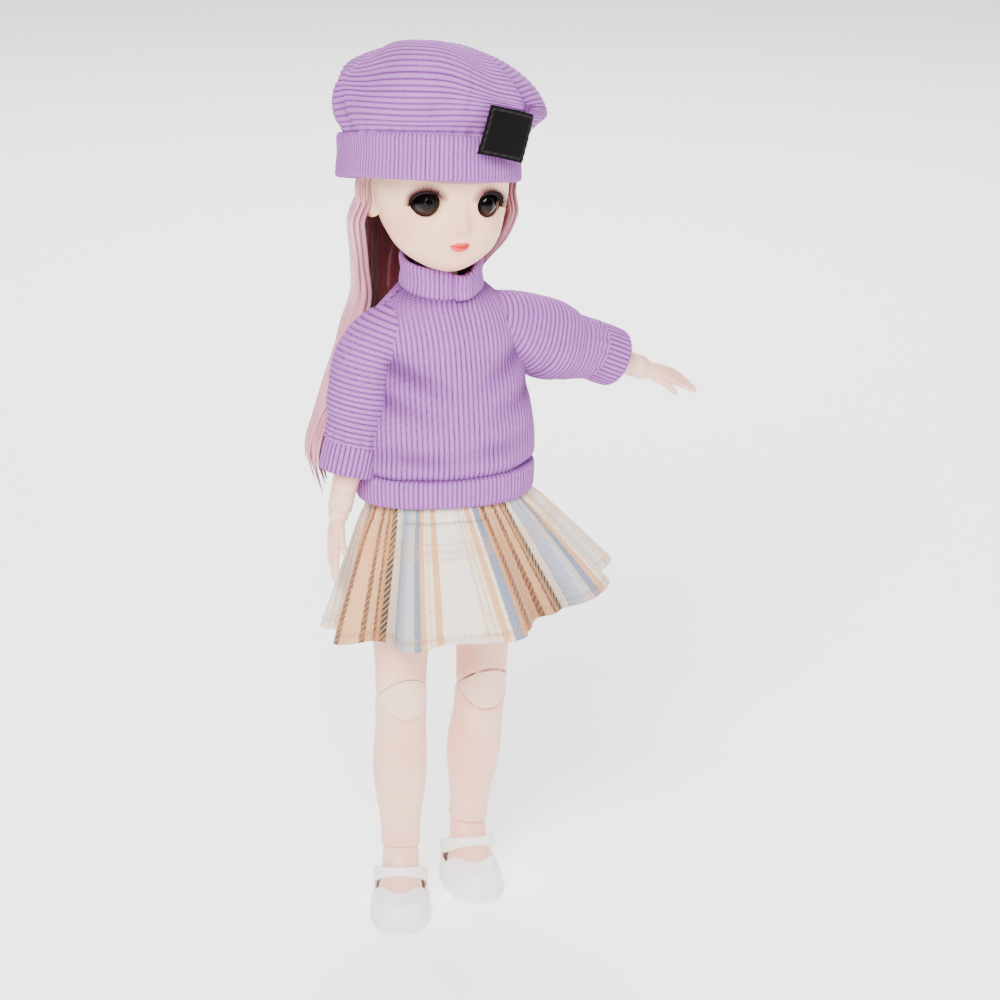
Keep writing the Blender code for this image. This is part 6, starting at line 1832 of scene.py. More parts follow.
@dataclass
class Head:
    """Head with its painted face, set eyes, lashes and ears.

    The frame's origin is the chin's pivot; Z runs up the head and the face
    looks to -Y.
    """

    bones: Skeleton
    width: float = 0.0456
    depth: float = 0.0530
    height: float = 0.0592
    chin: float = -0.0092
    aside: float = -0.0014
    eye_apart: float = 0.0105
    eye_rise: float = 0.0146
    eye_behind: float = 0.0158
    eye_radius: float = 0.0062
    opening_width: float = 0.0091
    opening_height: float = 0.0086
    ear_rise: float = 0.0130
    features_aside: float = 0.0009
    shares: tuple[tuple[float, ...], ...] = (
        (0.0, 0.05, 0.04, -0.50), (0.0135, 0.24, 0.20, -0.42), (0.040, 0.41, 0.36, -0.36),
        (0.105, 0.655, 0.58, -0.24), (0.184, 0.81, 0.75, -0.115), (0.290, 0.925, 0.885, 0.00),
        (0.373, 0.985, 0.965, 0.07), (0.440, 1.0, 0.99, 0.075), (0.510, 0.985, 0.965, 0.04),
        (0.628, 0.945, 0.905, -0.03), (0.7355, 0.885, 0.83, -0.10), (0.8335, 0.775, 0.71, -0.20),
        (0.902, 0.64, 0.56, -0.33), (0.956, 0.47, 0.39, -0.46), (1.0, 0.25, 0.20, -0.58),
    )

    def __post_init__(self) -> None:
        """Works out the head's frame from the axis that it turns on."""
        z = self.bones.axis("head_turn")
        z = z * math.copysign(1, z[2])
        x = unit(np.cross([0.0, 1.0, 0.0], z))
        matrix = np.eye(4)
        matrix[:3, 0], matrix[:3, 1], matrix[:3, 2] = x, np.cross(z, x), z
        matrix[:3, 3] = self.bones.place("head_turn")
        self.frame = matrix @ about("Z", -4) @ at(self.aside, 0, 0)

    def build(self) -> None:
        """Builds and dresses the head, eyes, lashes and ears."""
        fit(self.skull(), FACE, "skin", "head", "face_shell", "skull_cap")
        for side in Side:
            fit(self.eye(side), EYE, "eye", "head", f"eye_{side.tag}")
            fit(self.lashes(side), LASH, "eye", "head")
            fit(self.ear(side), FACE, "skin", "head")

    def rings(self, z: Array, angle: Array, grow: float = 0.0) -> Array:
        """Points of the plain head at heights and angles, pushed out by a distance."""
        half = through(self.shares, (z - self.chin) / self.height)
        x = (half[..., 0] * self.width / 2 + grow) * np.cos(angle)
        y = half[..., 2] * self.depth / 2 + (half[..., 1] * self.depth / 2 + grow) * np.sin(angle)
        return np.stack([x, y, z + 0 * angle], -1)

    def opening(self, x: Array, z: Array, side: Side) -> tuple[Array, Array, Array]:
        """Place in the eye opening: across and up in half widths, and the radius of its oval."""
        u = (x * side.value - self.eye_apart) / (self.opening_width / 2)
        v = (z - self.eye_rise) / (self.opening_height / 2)
        # The outer corner is a little lower and more pointed than the inner one
        v = v + 0.10 * u - 0.06 * u * u
        return u, v, np.sqrt(u * u + v * v)

    def skull(self) -> bpy.types.Object:
        """Head: dense rings, modelled into brow, sockets, nose, lips, cheeks and chin."""
        columns = 330
        even = circle(columns, FRONT)
        angle = even + 0.42 * np.sin(2 * (even + math.pi / 2)) * 0.5 + 0.30 * np.sin(
            even + math.pi / 2
        ) * -1.0
        z = np.concatenate(
            [
                self.chin + 0.0057 * np.linspace(0, 1, 30)[:-1] ** 1.6,
                np.linspace(-0.0035, 0.023, 140)[:-1], np.linspace(0.023, self.chin + self.height, 50),
            ]
        )
        zz = z[:, None] * np.ones(columns)
        aa = np.ones((len(z), 1)) * angle
        grid = self.rings(zz, aa)
        # Points near an eye opening move towards its rim, for a clean edge
        for side in Side:
            u, v, r = self.opening(grid[..., 0], grid[..., 2], side)
            front = grid[..., 1] < 0
            near = (np.abs(r - 1) < 0.42) & front
            away = (r - 1) / 0.42
            drawn = 1 + 0.42 * np.sign(away) * np.abs(away) ** 1.9
            ratio = np.where(near, drawn / np.maximum(r, 1e-6), 1.0)
            new_x = side.value * (self.eye_apart + (grid[..., 0] * side.value - self.eye_apart) * ratio)
            new_z = self.eye_rise + (grid[..., 2] - self.eye_rise) * ratio
            new_y = self.front(new_x, new_z)
            grid = np.where(near[..., None], np.stack([new_x, new_y, new_z], -1), grid)
        x, zg = grid[..., 0].copy(), grid[..., 2].copy()
        # The features sit a little to the side of the eyes' middle line
        eye_x, x = x, x - self.features_aside
        front = ease(-grid[..., 1] / 0.010)
        normals = outward(grid, True)
        out = np.zeros_like(x)
        out += 0.0030 * np.exp(-((x / 0.0024) ** 2)) * bump(zg, 0.0082, 0.0030)
        out += 0.0012 * np.exp(-((x / 0.0021) ** 2)) * ease((zg - 0.008) / 0.003) * (
            1 - ease((zg - 0.011) / 0.010)
        )
        out += 0.0006 * (bump(x, 0.0019, 0.0012) + bump(x, -0.0019, 0.0012)) * bump(zg, 0.0070, 0.0012)
        out -= 0.0005 * np.exp(-((x / 0.0009) ** 2)) * bump(zg, 0.0042, 0.0014)
        out += 0.0013 * np.exp(-((x / 0.0036) ** 2)) * bump(zg, 0.0012, 0.0024)
        out += 0.0010 * bump(np.abs(x), 0.0135, 0.0070) * bump(zg, 0.0030, 0.0070)
        out += 0.0009 * np.exp(-((x / 0.0052) ** 2)) * bump(zg, -0.0056, 0.0030)
        out -= 0.0004 * np.exp(-((x / 0.0040) ** 2)) * bump(zg, -0.0022, 0.0010)
        lips = self.lips(x, zg)
        out += lips[2]
        lid = np.zeros_like(x)
        cut = np.zeros_like(x)
        paint_lid = np.zeros_like(x)
        for side in Side:
            u, v, r = self.opening(eye_x, zg, side)
            out -= 0.0007 * bump(r, 1.45, 0.55)
            lid += 0.00055 * bump(r, 1.10, 0.14) * (1 + 0.35 * ease(v * 2))
            cut = np.maximum(cut, ease((1.0 - r) / 0.07) * (grid[..., 1] < 0))
            above = ease((v + 0.15) / 0.6)
            paint_lid = np.maximum(paint_lid, 0.95 * bump(r, 1.12, 0.27) * above * (r > 0.97))
            paint_lid = np.maximum(paint_lid, 0.25 * bump(r, 1.0, 0.12))
        out = (out + lid) * front
        grid = grid + normals * out[..., None]
        grid[..., 1] += 0.0062 * cut
        blush = 0.42 * bump(np.abs(x), 0.0165, 0.0068) * bump(zg, 0.0045, 0.0052) * front
        blush += 0.30 * np.exp(-((x / 0.0030) ** 2)) * bump(zg, 0.0078, 0.0022) * front
        # On the chin the blush is partly painted shade
        blush += 0.30 * np.exp(-((x / 0.0060) ** 2)) * bump(zg, -0.0065, 0.0028) * front
        brow = np.zeros_like(x)
        for side in Side:
            arc = (x * side.value - 0.0110) / 0.0062
            high = 0.0235 - 0.0016 * arc * arc + 0.0006 * arc
            brow = np.maximum(brow, 0.30 * bump(zg, high, 0.0006) * (1 - ease((np.abs(arc) - 0.75) / 0.35)))
        marks = {
            "lips": lips[0] * front, "lip_line": lips[1] * front, "lid_shade": paint_lid * front,
            "blush": blush, "brow": brow * front,
        }
        return surface("head_vinyl", put(self.frame, grid), marks=marks)

    def lips(self, x: Array, z: Array) -> tuple[Array, Array, Array]:
        """Painted lips, the darker line between them, and how far they stand out.

        The upper edge is a bow with a dip at its middle, the lower edge one curve.
        """
        u = x / 0.0035
        inside = np.clip(1 - u * u, 0, 1)
        z = z - 0.0004 - 0.0003 * u
        top = 0.0012 + 0.0017 * inside**0.7 * (1 - 0.22 * bump(u, 0, 0.26))
        low = 0.0012 - 0.0020 * inside**0.6
        soft = 0.00045
        paint = ease((top - z) / soft) * ease((z - low) / soft) * (inside > 0)
        line = bump(z, 0.0011 + 0.0002 * u * u, 0.00034) * ease(inside * 2.2)
        full = 0.0007 * inside * (bump(z, 0.0019, 0.0007) + 1.1 * bump(z, 0.0003, 0.0008)) - 0.0005 * line
        return paint, 0.75 * line * (paint > 0.1), full

    def eye(self, side: Side) -> bpy.types.Object:
        """Eyeball: a sphere whose rings run out from the pupil, kept behind the skin."""
        arc = np.linspace(0.0, math.pi, 90)
        angle = circle(96)
        bulge = self.eye_radius + 0.0003 * (1 - ease((arc - 0.35) / 0.4))
        ring = bulge * np.sin(arc)
        x = ring[:, None] * np.cos(angle)
        z = ring[:, None] * np.sin(angle)
        y = -(bulge * np.cos(arc))[:, None] + 0 * x
        near = np.where(y < 0, np.hypot(x, z) / self.eye_radius, 1.0)
        foot = ease((0.001 - z) / 0.0045)
        centre = at(side.value * self.eye_apart, -self.eye_behind, self.eye_rise)
        turned = centre @ about("Z", side.value * 4) @ about("X", -2)
        grid = put(turned, np.stack([x, y, z], -1))
        # The dome stands out in its opening, and outside it stays deeper than the skin
        _, _, radius = self.opening(grid[..., 0], grid[..., 2], side)
        room = 0.0021 * ease((radius - 0.35) / 0.6) + 0.0013 * ease((radius - 0.95) / 0.25) - 0.0016
        grid[..., 1] = np.maximum(grid[..., 1], self.front(grid[..., 0], grid[..., 2]) + room)
        return surface(
            f"eye_acrylic_{side.tag}", put(self.frame, grid), marks={"from_pupil": near, "iris_foot": foot},
        )

    def front(self, x: Array, z: Array) -> Array:
        """Setting of the plain face, as y, at places across and up."""
        half = through(self.shares, (z - self.chin) / self.height)
        edge = np.clip(x / (half[..., 0] * self.width / 2), -1, 1)
        return half[..., 2] * self.depth / 2 - half[..., 1] * self.depth / 2 * np.sqrt(1 - edge**2)

    def lashes(self, side: Side) -> bpy.types.Object:
        """Lashes: tapered bristles along the upper lid, longer towards the outer corner."""
        parts = []
        count = 30
        for k in range(count):
            share = k / (count - 1)
            around = math.radians(124 - 132 * share)
            rim = 1.02
            u, v = rim * math.cos(around), rim * math.sin(around)
            v = v - 0.10 * u + 0.06 * u * u
            x = side.value * (self.eye_apart + u * self.opening_width / 2)
            z = self.eye_rise + v * self.opening_height / 2
            root = np.array([x, float(self.front(np.array(x), np.array(z))) - 0.0006, z])
            length = 0.0010 + 0.0026 * share**1.5 + 0.0003 * math.sin(k * 2.4)
            fan = math.radians(104 - 118 * share)
            away = np.array([side.value * math.cos(fan), 0.0, math.sin(fan)])
            t = np.linspace(0, 1, 7)[:, None]
            path = root + length * (
                away * t * np.array([1.0, 0.0, 1.0]) + np.array([0, -0.55, 0]) * t + np.array(
                    [0, 0.0, 0.35]
                ) * t * t
            )
            ring = circle(6)
            size = 0.00024 * (1 - 0.85 * t)
            grid = path[:, None] + size[..., None] * np.stack(
                [np.cos(ring), 0.6 * np.sin(ring), np.sin(ring)], -1,
            )
            parts.append(surface("lash", put(self.frame, grid)))
        # The lid's thin dark rim
        around = np.radians(np.linspace(150, -28, 60))
        u, v = 1.03 * np.cos(around), 1.04 * np.sin(around)
        v = v - 0.10 * u + 0.06 * u * u
        x = side.value * (self.eye_apart + u * self.opening_width / 2)
        z = self.eye_rise + v * self.opening_height / 2
        path = np.stack([x, self.front(x, z) - 0.0004, z], -1)
        ring = circle(8)
        size = 0.00052 * np.sin(np.linspace(0.25, math.pi - 0.25, 60))[:, None, None]
        grid = path[:, None] + size * np.stack([np.cos(ring), 0.8 * np.sin(ring), np.sin(ring)], -1)
        parts.append(surface("rim", put(self.frame, grid)))
        return joined(f"lashes_{side.tag}", parts)

    def ear(self, side: Side) -> bpy.types.Object:
        """Ear: a rolled rim round a hollow, with a small lobe below."""
        place = at(side.value * (self.width / 2 - 0.0004), 0.0024, self.ear_rise)
        matrix = self.frame @ place @ about("Z", -side.value * 42)
        columns = 72
        angle = circle(columns)
        tall = 0.0084 * (1 + 0.05 * np.sin(angle))
        deep = 0.0056 * (1 + 0.22 * np.sin(angle))
        v = np.concatenate([np.linspace(0.02, 1, 26), np.linspace(1, 0.05, 10)[1:]])[:, None]
        face = np.concatenate([np.ones(26), -np.ones(9)])[:, None]
        rim = 0.0017 * bump(v, 0.84, 0.17) * (1 - 0.6 * ease((-np.sin(angle) - 0.3) / 0.6))
        inner = 0.0006 * bump(v, 0.45, 0.14) * ease((np.cos(angle) * 1.0 + 0.1) / 0.9)
        hollow = -0.0006 * (1 - v)
        x = np.where(face > 0, 0.0003 + rim + inner + hollow, -0.0012 + 0 * rim)
        y = deep * v * np.cos(angle)
        z = tall * v * np.sin(angle)
        grid = np.stack([side.value * (x + 0.10 * y), y, z + 0 * x], -1)
        # Painted shade in the ear's hollow, laid on with the blush paint
        shade = 0.35 * bump(v, 0.55, 0.20) * (face > 0) + 0.0 * x
        # Painted shadow along the back of the rim
        line = 0.9 * bump(v, 0.93, 0.13) * ease((np.cos(angle) + 0.5) / 0.8) + 0.0 * x
        marks = {"blush": shade, "ear_line": line}
        return surface(f"ear_vinyl_{side.tag}", put(matrix, grid), marks=marks)


# Wig


@dataclass
class Lock:
    """One lock of hair: where it starts and ends round the head, and its size."""

    start: float
    end: float
    top: float
    tip: float
    width: float
    layer: float
    wave: float
    phase: float


@dataclass
class Wig:
    """Long wig: a cap of combed fibre and locks that fall behind the shoulders."""

    head: Head
    thickness: float = 0.0016
    lower: float = 0.0060
    brow: float = 0.0221
    # Half width of the falling hair on each side, by the share of the way down
    falls: dict[Side, tuple[tuple[float, float], ...]] = field(
        default_factory=lambda: {
            Side.RIGHT: (
                (0, 0.0285), (0.07, 0.0272), (0.21, 0.0233), (0.345, 0.0205), (0.48, 0.0245),
                (0.63, 0.0305), (0.84, 0.0374), (1, 0.0335),
            ),
            Side.LEFT: (
                (0, 0.0270), (0.1, 0.0262), (0.17, 0.0240), (0.25, 0.0185), (0.4, 0.0180), (0.6, 0.0220),
                (0.85, 0.0270), (1, 0.0260),
            ),
        }
    )
    back_depth: float = 0.0330
    curl_depth: float = 0.0108
    rows: int = 100
    columns: int = 14

    def build(self) -> None:
        """Builds and dresses the cap and the locks."""
        fit(self.cap(), FIBRE, "hair", "head", "wig_cap")
        self.build_locks()

    def cap(self) -> bpy.types.Object:
        """Cap: the head's shape grown by the fibre's thickness, open over the face."""
        columns = 240
        angle = circle(columns, FRONT)
        behind = ease((np.sin(angle) * self.head.depth / 2 - 0.005) / 0.006)
        low = self.brow + 0.0006 - (self.brow - self.lower) * behind
        top = self.head.chin + self.head.height
        t = np.linspace(0, 1, 70)[:, None]
        z = low + (top - low) * t
        aa = np.ones((70, 1)) * angle
        strand = 0.00016 * np.cos(58 * angle + 6 * t) + 0.00010 * np.cos(131 * angle)
        outer = self.head.rings(z, aa, self.thickness) + 0.0
        outer += outward(outer, True) * strand[..., None] * (1 - t[..., None] ** 4)
        inner = self.head.rings(z, aa, 0.0002)
        outer[..., 2] += 0.0016 * ease((t - 0.72) / 0.28)
        grid = np.concatenate([outer[::-1], inner[::3]])
        run = angle / TAU * 150
        uv = np.stack(
            [np.append(run, run[0] + 150) * np.ones((70, 1)), np.broadcast_to(t * 60, (70, columns + 1))],
            -1,
        )
        uv = np.concatenate([uv[::-1], uv[::3]]) * np.array([0.05, 0.03])
        # Painted shade: dark on the inside of the cap, and a little on the outside
        deep = np.concatenate([0.15 * np.ones((70, columns)), 0.9 * np.ones((24, columns))])
        return surface("wig_cap_fibre", put(self.head.frame, grid), uv=uv, marks={"depth": deep})

    def locks(self) -> list[Lock]:
        """Locks of three layers, spread round the back of the head from a fixed seed."""
        dice = np.random.default_rng(7)
        made = []
        for layer, count, tip in ((-0.0016, 24, -0.086), (0.0, 27, -0.094), (0.0014, 25, -0.090)):
            for k in range(count):
                share = 2 * k / (count - 1) - 1
                spread = math.radians(102 - 3 * (layer > 0))
                end = share * spread + dice.uniform(-0.03, 0.03)
                start = share * math.radians(84)
                ragged = dice.uniform(-0.006, 0.004) + 0.006 * abs(share) ** 2
                made.append(
                    Lock(
                        start, end, 0.034 if abs(share) < 0.9 else 0.026, tip + ragged,
                        dice.uniform(0.0058, 0.0082), layer + dice.uniform(-0.0003, 0.0003),
                        dice.uniform(0.0004, 0.0011), dice.uniform(0, TAU),
                    )
                )
        return made

    def build_locks(self) -> None:
        """Builds every lock on one set of heights, and cuts them into lengths at the joints; a length inside
        one body rides it.
        """
        base = float(self.head.frame[2, 3])
        heights = np.linspace(0.0345, -0.096, self.rows) + base
        joints = (base - 0.0055, base - 0.0235, base - 0.0315, base - 0.0395)
        for level in joints:
            heights[np.argmin(np.abs(heights - level))] = level
        bodies = (("head",), ("head", "neck_ball"), ("neck_ball", "neck"), ("neck", "chest"), ("chest",))
        levels = (heights[0] + 1e-6,) + joints + (heights[-1] - 1e-6,)
        grids = [self.lock_grid(lock, heights) for lock in self.locks()]
        for k, chain in enumerate(bodies):
            parts = []
            for grid, rows, uv, depth in grids:
                keep = (rows <= levels[k] + 1e-7) & (rows >= levels[k + 1] - 1e-7)
                if keep.sum() < 2:
                    continue
                parts.append(
                    surface("lock", grid[keep], ends=False, uv=uv[keep], marks={"depth": depth[keep]})
                )
            piece = joined(f"hair_length_{k}", parts)
            fit(piece, FIBRE, "hair", chain[0] if len(chain) == 1 else "", "hair_back")
            if len(chain) == 2:
                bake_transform(piece)

    def lock_grid(self, lock: Lock, heights: Array) -> tuple[Array, Array, Array, Array]:
        """Rings of one lock.

        The centre follows the head, then eases out to the shoulders; each ring is
        a flat oval that narrows to the tip.

        Args:
            lock: The lock.
            heights: Heights of the rings in the row frame.

        Returns:
            Grid, heights, cloth coordinates and painted shade marks by depth of the rings that the lock
            reaches.
        """
        origin = self.head.frame[:3, 3]
        local = heights - origin[2]
        used = (local <= lock.top) & (local >= lock.tip)
        rows, local = heights[used], local[used]
        v = np.clip((0.0125 - local) / 0.1085, 0, 1)
        fall = ease(v * 2.2)
        angle = lock.start + (lock.end - lock.start) * ease(v * 1.9)
        half = through(self.head.shares, np.clip((local - self.head.chin) / self.head.height, 0, 1))
        seat = self.thickness + 0.0012 + lock.layer
        hug = through(self.head.shares, np.full(len(local), (0.0125 - self.head.chin) / self.head.height))
        half = np.where(local[:, None] < 0.0125, hug, half)
        head_wide = half[:, 0] * self.head.width / 2 + seat
        head_deep = half[:, 1] * self.head.depth / 2 + seat
        head_mid = half[:, 2] * self.head.depth / 2
        spread = through(self.falls[Side.LEFT if lock.end > 0 else Side.RIGHT], v)[:, 0]
        way = ease(v / 0.08)
        wide = head_wide * (1 - way) + (spread + lock.layer) * way
        deep = head_deep + (self.curl_depth + lock.layer - head_deep) * fall
        middle = head_mid + (self.back_depth - self.curl_depth - head_mid) * fall
        sway = lock.wave * np.sin(TAU * v * 2.2 + lock.phase) * ease(v * 3)
        x = wide * np.sin(angle) + sway * np.cos(angle)
        y = middle + deep * np.cos(angle) - sway * np.sin(angle) + 0.6 * sway
        # Above the neck the lock is in the tilted frame of the head, and below it hangs straight down
        tilt = self.head.frame[:3, :3]
        lean = np.stack([x, y, local], -1) @ tilt.T
        lean_x = lean[:, 0] + (rows - origin[2] - lean[:, 2]) * tilt[0, 2] / tilt[2, 2]
        straight = ease((0.004 - local) / 0.05)
        cx = lean_x * (1 - straight) + (x - 0.0006) * straight + origin[0]
        cy = lean[:, 1] * (1 - straight) + y * straight + origin[1]
        run = np.clip((lock.top - local) / (lock.top - lock.tip), 0, 1)
        taper = np.minimum(1, 0.25 + 4 * run) * np.clip((1 - run) / 0.30, 0.03, 1) ** 0.75
        swell = 1 + 0.14 * np.sin(TAU * run * 1.6 + lock.phase)
        half_wide = lock.width / 2 * taper * swell
        half_deep = 0.00115 * np.minimum(1, 0.3 + 3 * run) * np.clip((1 - run) / 0.25, 0.08, 1)
        ring = circle(self.columns)
        across = np.stack([np.cos(angle), -np.sin(angle) * (deep / np.maximum(wide, 1e-6))], -1)
        across = unit(across)
        out = np.stack([-across[:, 1], across[:, 0]], -1)
        out = np.where(
            (out * np.stack([np.sin(angle), np.cos(angle)], -1)).sum(-1, keepdims=True) < 0, -out, out,
        )
        c, s = np.cos(ring), np.sin(ring)
        flat = (
            half_wide[:, None, None] * c[None, :, None] * across[:, None]
            + half_deep[:, None, None] * s[None, :, None] * out[:, None]
        )
        strand = 0.00008 * np.cos(5 * ring)[None] * taper[:, None]
        flat = flat + strand[..., None] * out[:, None]
        grid = np.empty((len(rows), self.columns, 3))
        grid[..., 0] = cx[:, None] + flat[..., 0]
        grid[..., 1] = cy[:, None] + flat[..., 1]
        grid[..., 2] = rows[:, None]
        column = np.arange(self.columns + 1) / self.columns
        offset = lock.phase * 3
        uv = np.stack(
            [
                np.broadcast_to(offset + column * lock.width * 1000 / 20, (len(rows), self.columns + 1)),
                np.broadcast_to((rows * 1000 / 40)[:, None], (len(rows), self.columns + 1)),
            ],
            -1,
        )
        # Painted shade on the lock's inner side, on the under layer and at its edges near the root
        inside = ease(-s[None] * 1.2) * 0.75 + (0.30 if lock.layer < -0.001 else 0.0)
        depth = np.clip(inside + 0.12 * (1 - run)[:, None] * np.abs(c)[None] ** 8, 0, 1) * np.ones(
            (len(rows), 1)
        )
        return grid, rows, uv, depth


# Beret


@dataclass
class Beret:
    """Slouched ribbed beret: a deep band, a puffed crown with tucks and a bare woven label."""

    head: Head
    band_height: float = 0.0150
    band_width: float = 0.0616
    band_depth: float = 0.0688
    band_thickness: float = 0.0028
    crown_width: float = 0.0740
    crown_depth: float = 0.0770
    crown_height: float = 0.0305
    slouch: float = 0.0035
    cloth: float = 0.0016
    label_width: float = 0.0200
    label_height: float = 0.0160

    def build(self) -> None:
        """Builds and dresses the band, crown and label."""
        self.frame = self.head.frame @ at(-0.0034, 0.0025, 0.0177) @ about("Y", 0.5) @ about("X", -12)
        band = fit(self.band(), JERSEY, "knit", "beret", "beret_band")
        crown = fit(self.crown(), JERSEY, "knit", "beret", "beret_crown")
        label = fit(self.label(), TAPE, "label", "beret", "beret_label")

    def band(self) -> bpy.types.Object:
        """Band: folded double, with vertical ribs outside and a rolled lower edge."""
        columns = 690
        angle = circle(columns, FRONT)
        roll = np.linspace(0, math.pi, 12)
        high, thick = self.band_height, self.band_thickness
        rise = np.concatenate(
            [
                np.linspace(high, 0.0016, 22)[:-1], 0.0014 - 0.0014 * np.sin(roll),
                np.linspace(0.0016, high, 8)[1:], [high],
            ]
        )
        inset = np.concatenate(
            [
                0.0004 * bump(np.linspace(0, 1, 21), 0.5, 0.3) + 0.0007 * bump(
                    np.linspace(0, 1, 21), 0.0, 0.07,
                ),
                thick / 2 * (1 - np.cos(roll)), np.full(7, thick), [thick * 0.5],
            ]
        )
        wobble = 0.00045 * np.sin(3 * angle + 0.5) + 0.0003 * np.sin(7 * angle)
        x = (self.band_width / 2 - inset[:, None] + wobble) * np.cos(angle)
        y = (self.band_depth / 2 - inset[:, None] + wobble) * np.sin(angle)
        z = rise[:, None] + 0.0003 * np.sin(2 * angle + 1)
        grid = np.stack([x, y, z + 0 * x], -1)
        run = run_length(np.concatenate([grid[:1], grid[:1, :1]], 1), 1)[0]
        count = round(run[-1] / 0.0015)
        wale = np.abs(np.cos(math.pi * run[:-1] / run[-1] * count)) ** RIB_POWER
        outside = (np.arange(len(rise)) < 30)[:, None]
        wale = np.where(outside, wale, 0.35)
        # Left of the wearer's right temple the ribs are stretched nearly flat
        plain = bump(angle, math.pi * 1.0, math.radians(9))
        wale = wale * (1 - 0.6 * plain) + 0.5 * 0.6 * plain
        inward = np.stack([np.cos(angle), np.sin(angle), 0 * angle], -1)[None]
        grid = grid - inward * ((1 - wale) * RIB_HEIGHT * outside)[..., None]
        uv, marks = cloth_uv(grid), {"wale": wale}
        return surface(
            "beret_band_jersey", put(self.frame, grid), ends=False, ring=True, uv=uv, marks=marks,
        )

    def crown(self) -> bpy.types.Object:
        """Crown: a puffed dome whose ribs run round it, drawn in by tucks and creases."""
        knots = (
            (0.0, -0.080, 0.845), (0.04, 0.0, 0.870), (0.13, 0.13, 0.950), (0.26, 0.36, 1.000),
            (0.40, 0.60, 0.985), (0.53, 0.79, 0.890), (0.68, 0.92, 0.690), (0.85, 0.98, 0.390),
            (1.0, 1.0, 0.012),
        )
        rows, columns = 176, 260
        t = np.linspace(0, 1, rows)
        shape = through(knots, t)
        angle = circle(columns, FRONT)
        aa = angle[None]
        tt = t[:, None]
        mid = np.sin(math.pi * np.clip(tt * 1.15, 0, 1)) ** 0.8
        gather = 0.00045 * np.cos(38 * aa + 2 * np.sin(3 * aa)) * bump(tt, 0.02, 0.09)
        dent = np.zeros((rows, columns))
        # Tucks: angle at the band, drift of the angle up the crown, width, depth
        for place, drift, wide, deep in (
            (-168, -22, 4.0, 0.0048), (-112, 14, 9.0, 0.0020), (-20, 12, 8.0, 0.0024),
            (35, -15, 8.0, 0.0026), (80, 10, 9.0, 0.0024), (128, -12, 8.0, 0.0026), (165, 8, 8.0, 0.0022),
        ):
            line = math.radians(place) + math.radians(drift) * tt
            away = np.angle(np.exp(1j * (aa - line)))
            dent += deep * np.exp(-((away / math.radians(wide)) ** 2)) * mid
        # The deep tuck on the left, above the label
        away = np.angle(np.exp(1j * (aa - math.radians(-48) + math.radians(14) * tt)))
        tuck = ease((tt - 0.20) / 0.12) * (1 - ease((tt - 0.72) / 0.22))
        fold = tuck * np.where(away < 0, bump(away, 0, math.radians(3.5)), bump(away, 0, math.radians(12)))
        ridge = tuck * bump(away, math.radians(-10), math.radians(8))
        dent += 0.0105 * fold - 0.0026 * ridge
        # Under the label the cloth is sewn down, so it bulges less
        dent += 0.0006 * bump(aa, math.radians(-65), math.radians(30)) * (
            1 - ease((tt - 0.26) / 0.2)
        ) * ease(tt / 0.06)
        lump = 0.0016 * np.sin(4 * aa + 5 * tt) * mid + 0.0008 * np.sin(9 * aa - 6 * tt) * mid
        # Painted shade in the deep tuck and in the other dents
        shade = 0.85 * tuck * bump(away, math.radians(2), math.radians(7)) + 0.3 * np.clip(
            dent / 0.004, 0, 1,
        ) * (1 - tuck)
        lump = lump * (1 - bump(aa, math.radians(-63), math.radians(34)))
        size = shape[:, 1, None]
        radial_x = self.crown_width / 2 * size + (lump + gather - dent) * np.minimum(1, size * 1.4)
        radial_y = self.crown_depth / 2 * size + (lump + gather - dent) * np.minimum(1, size * 1.4)
        x = radial_x * np.cos(aa) + self.slouch * shape[:, 0, None]
        x = np.where(x < 0, 0.91 * x, x) + 0.0010 * np.maximum(0, np.cos(aa)) * (1 - ease(tt / 0.3))
        y = radial_y * np.sin(aa)
        top = 0.0018 * np.sin(3 * aa + 2.2) * size * ease((tt - 0.45) / 0.3)
        top = top + (0.0018 * ridge - 0.0100 * fold) * ease((tt - 0.25) / 0.3)
        # The cloth sinks towards the left, and a little towards the right
        way = (0.94 * x - 0.34 * y) / (self.crown_width / 2)
        sunk = 0.0100 * ease((way - 0.10) / 0.95) + 0.0034 * ease((-way - 0.35) / 0.65)
        billow = 0.0011 * np.sin(2.4 * way + 9 * tt + 2.5 * np.sin(2 * aa)) * mid
        raise_by = self.crown_height * shape[:, 0, None] - sunk * ease(shape[:, 0, None] * 1.3)
        z = self.band_height + 0.0003 + raise_by + top + billow
        grid = np.stack([x, y, z + 0 * x], -1)
        run = np.median(run_length(grid, 0), axis=1)[:, None] * np.ones(columns)
        # In the deep fold the ribs flatten, and the fold takes the grooves' painted shade
        wale = wales(run, 0.0019) * (1 - 0.9 * np.clip(fold, 0, 1) ** 2)
        centre = np.array([self.slouch / 2, 0.0, self.band_height])
        return cloth_piece(
            "beret_crown_jersey", put(self.frame, grid), wale, self.cloth, cloth_uv(grid),
            centre=put(self.frame, centre), depth=0.00038, shade=shade,
        )

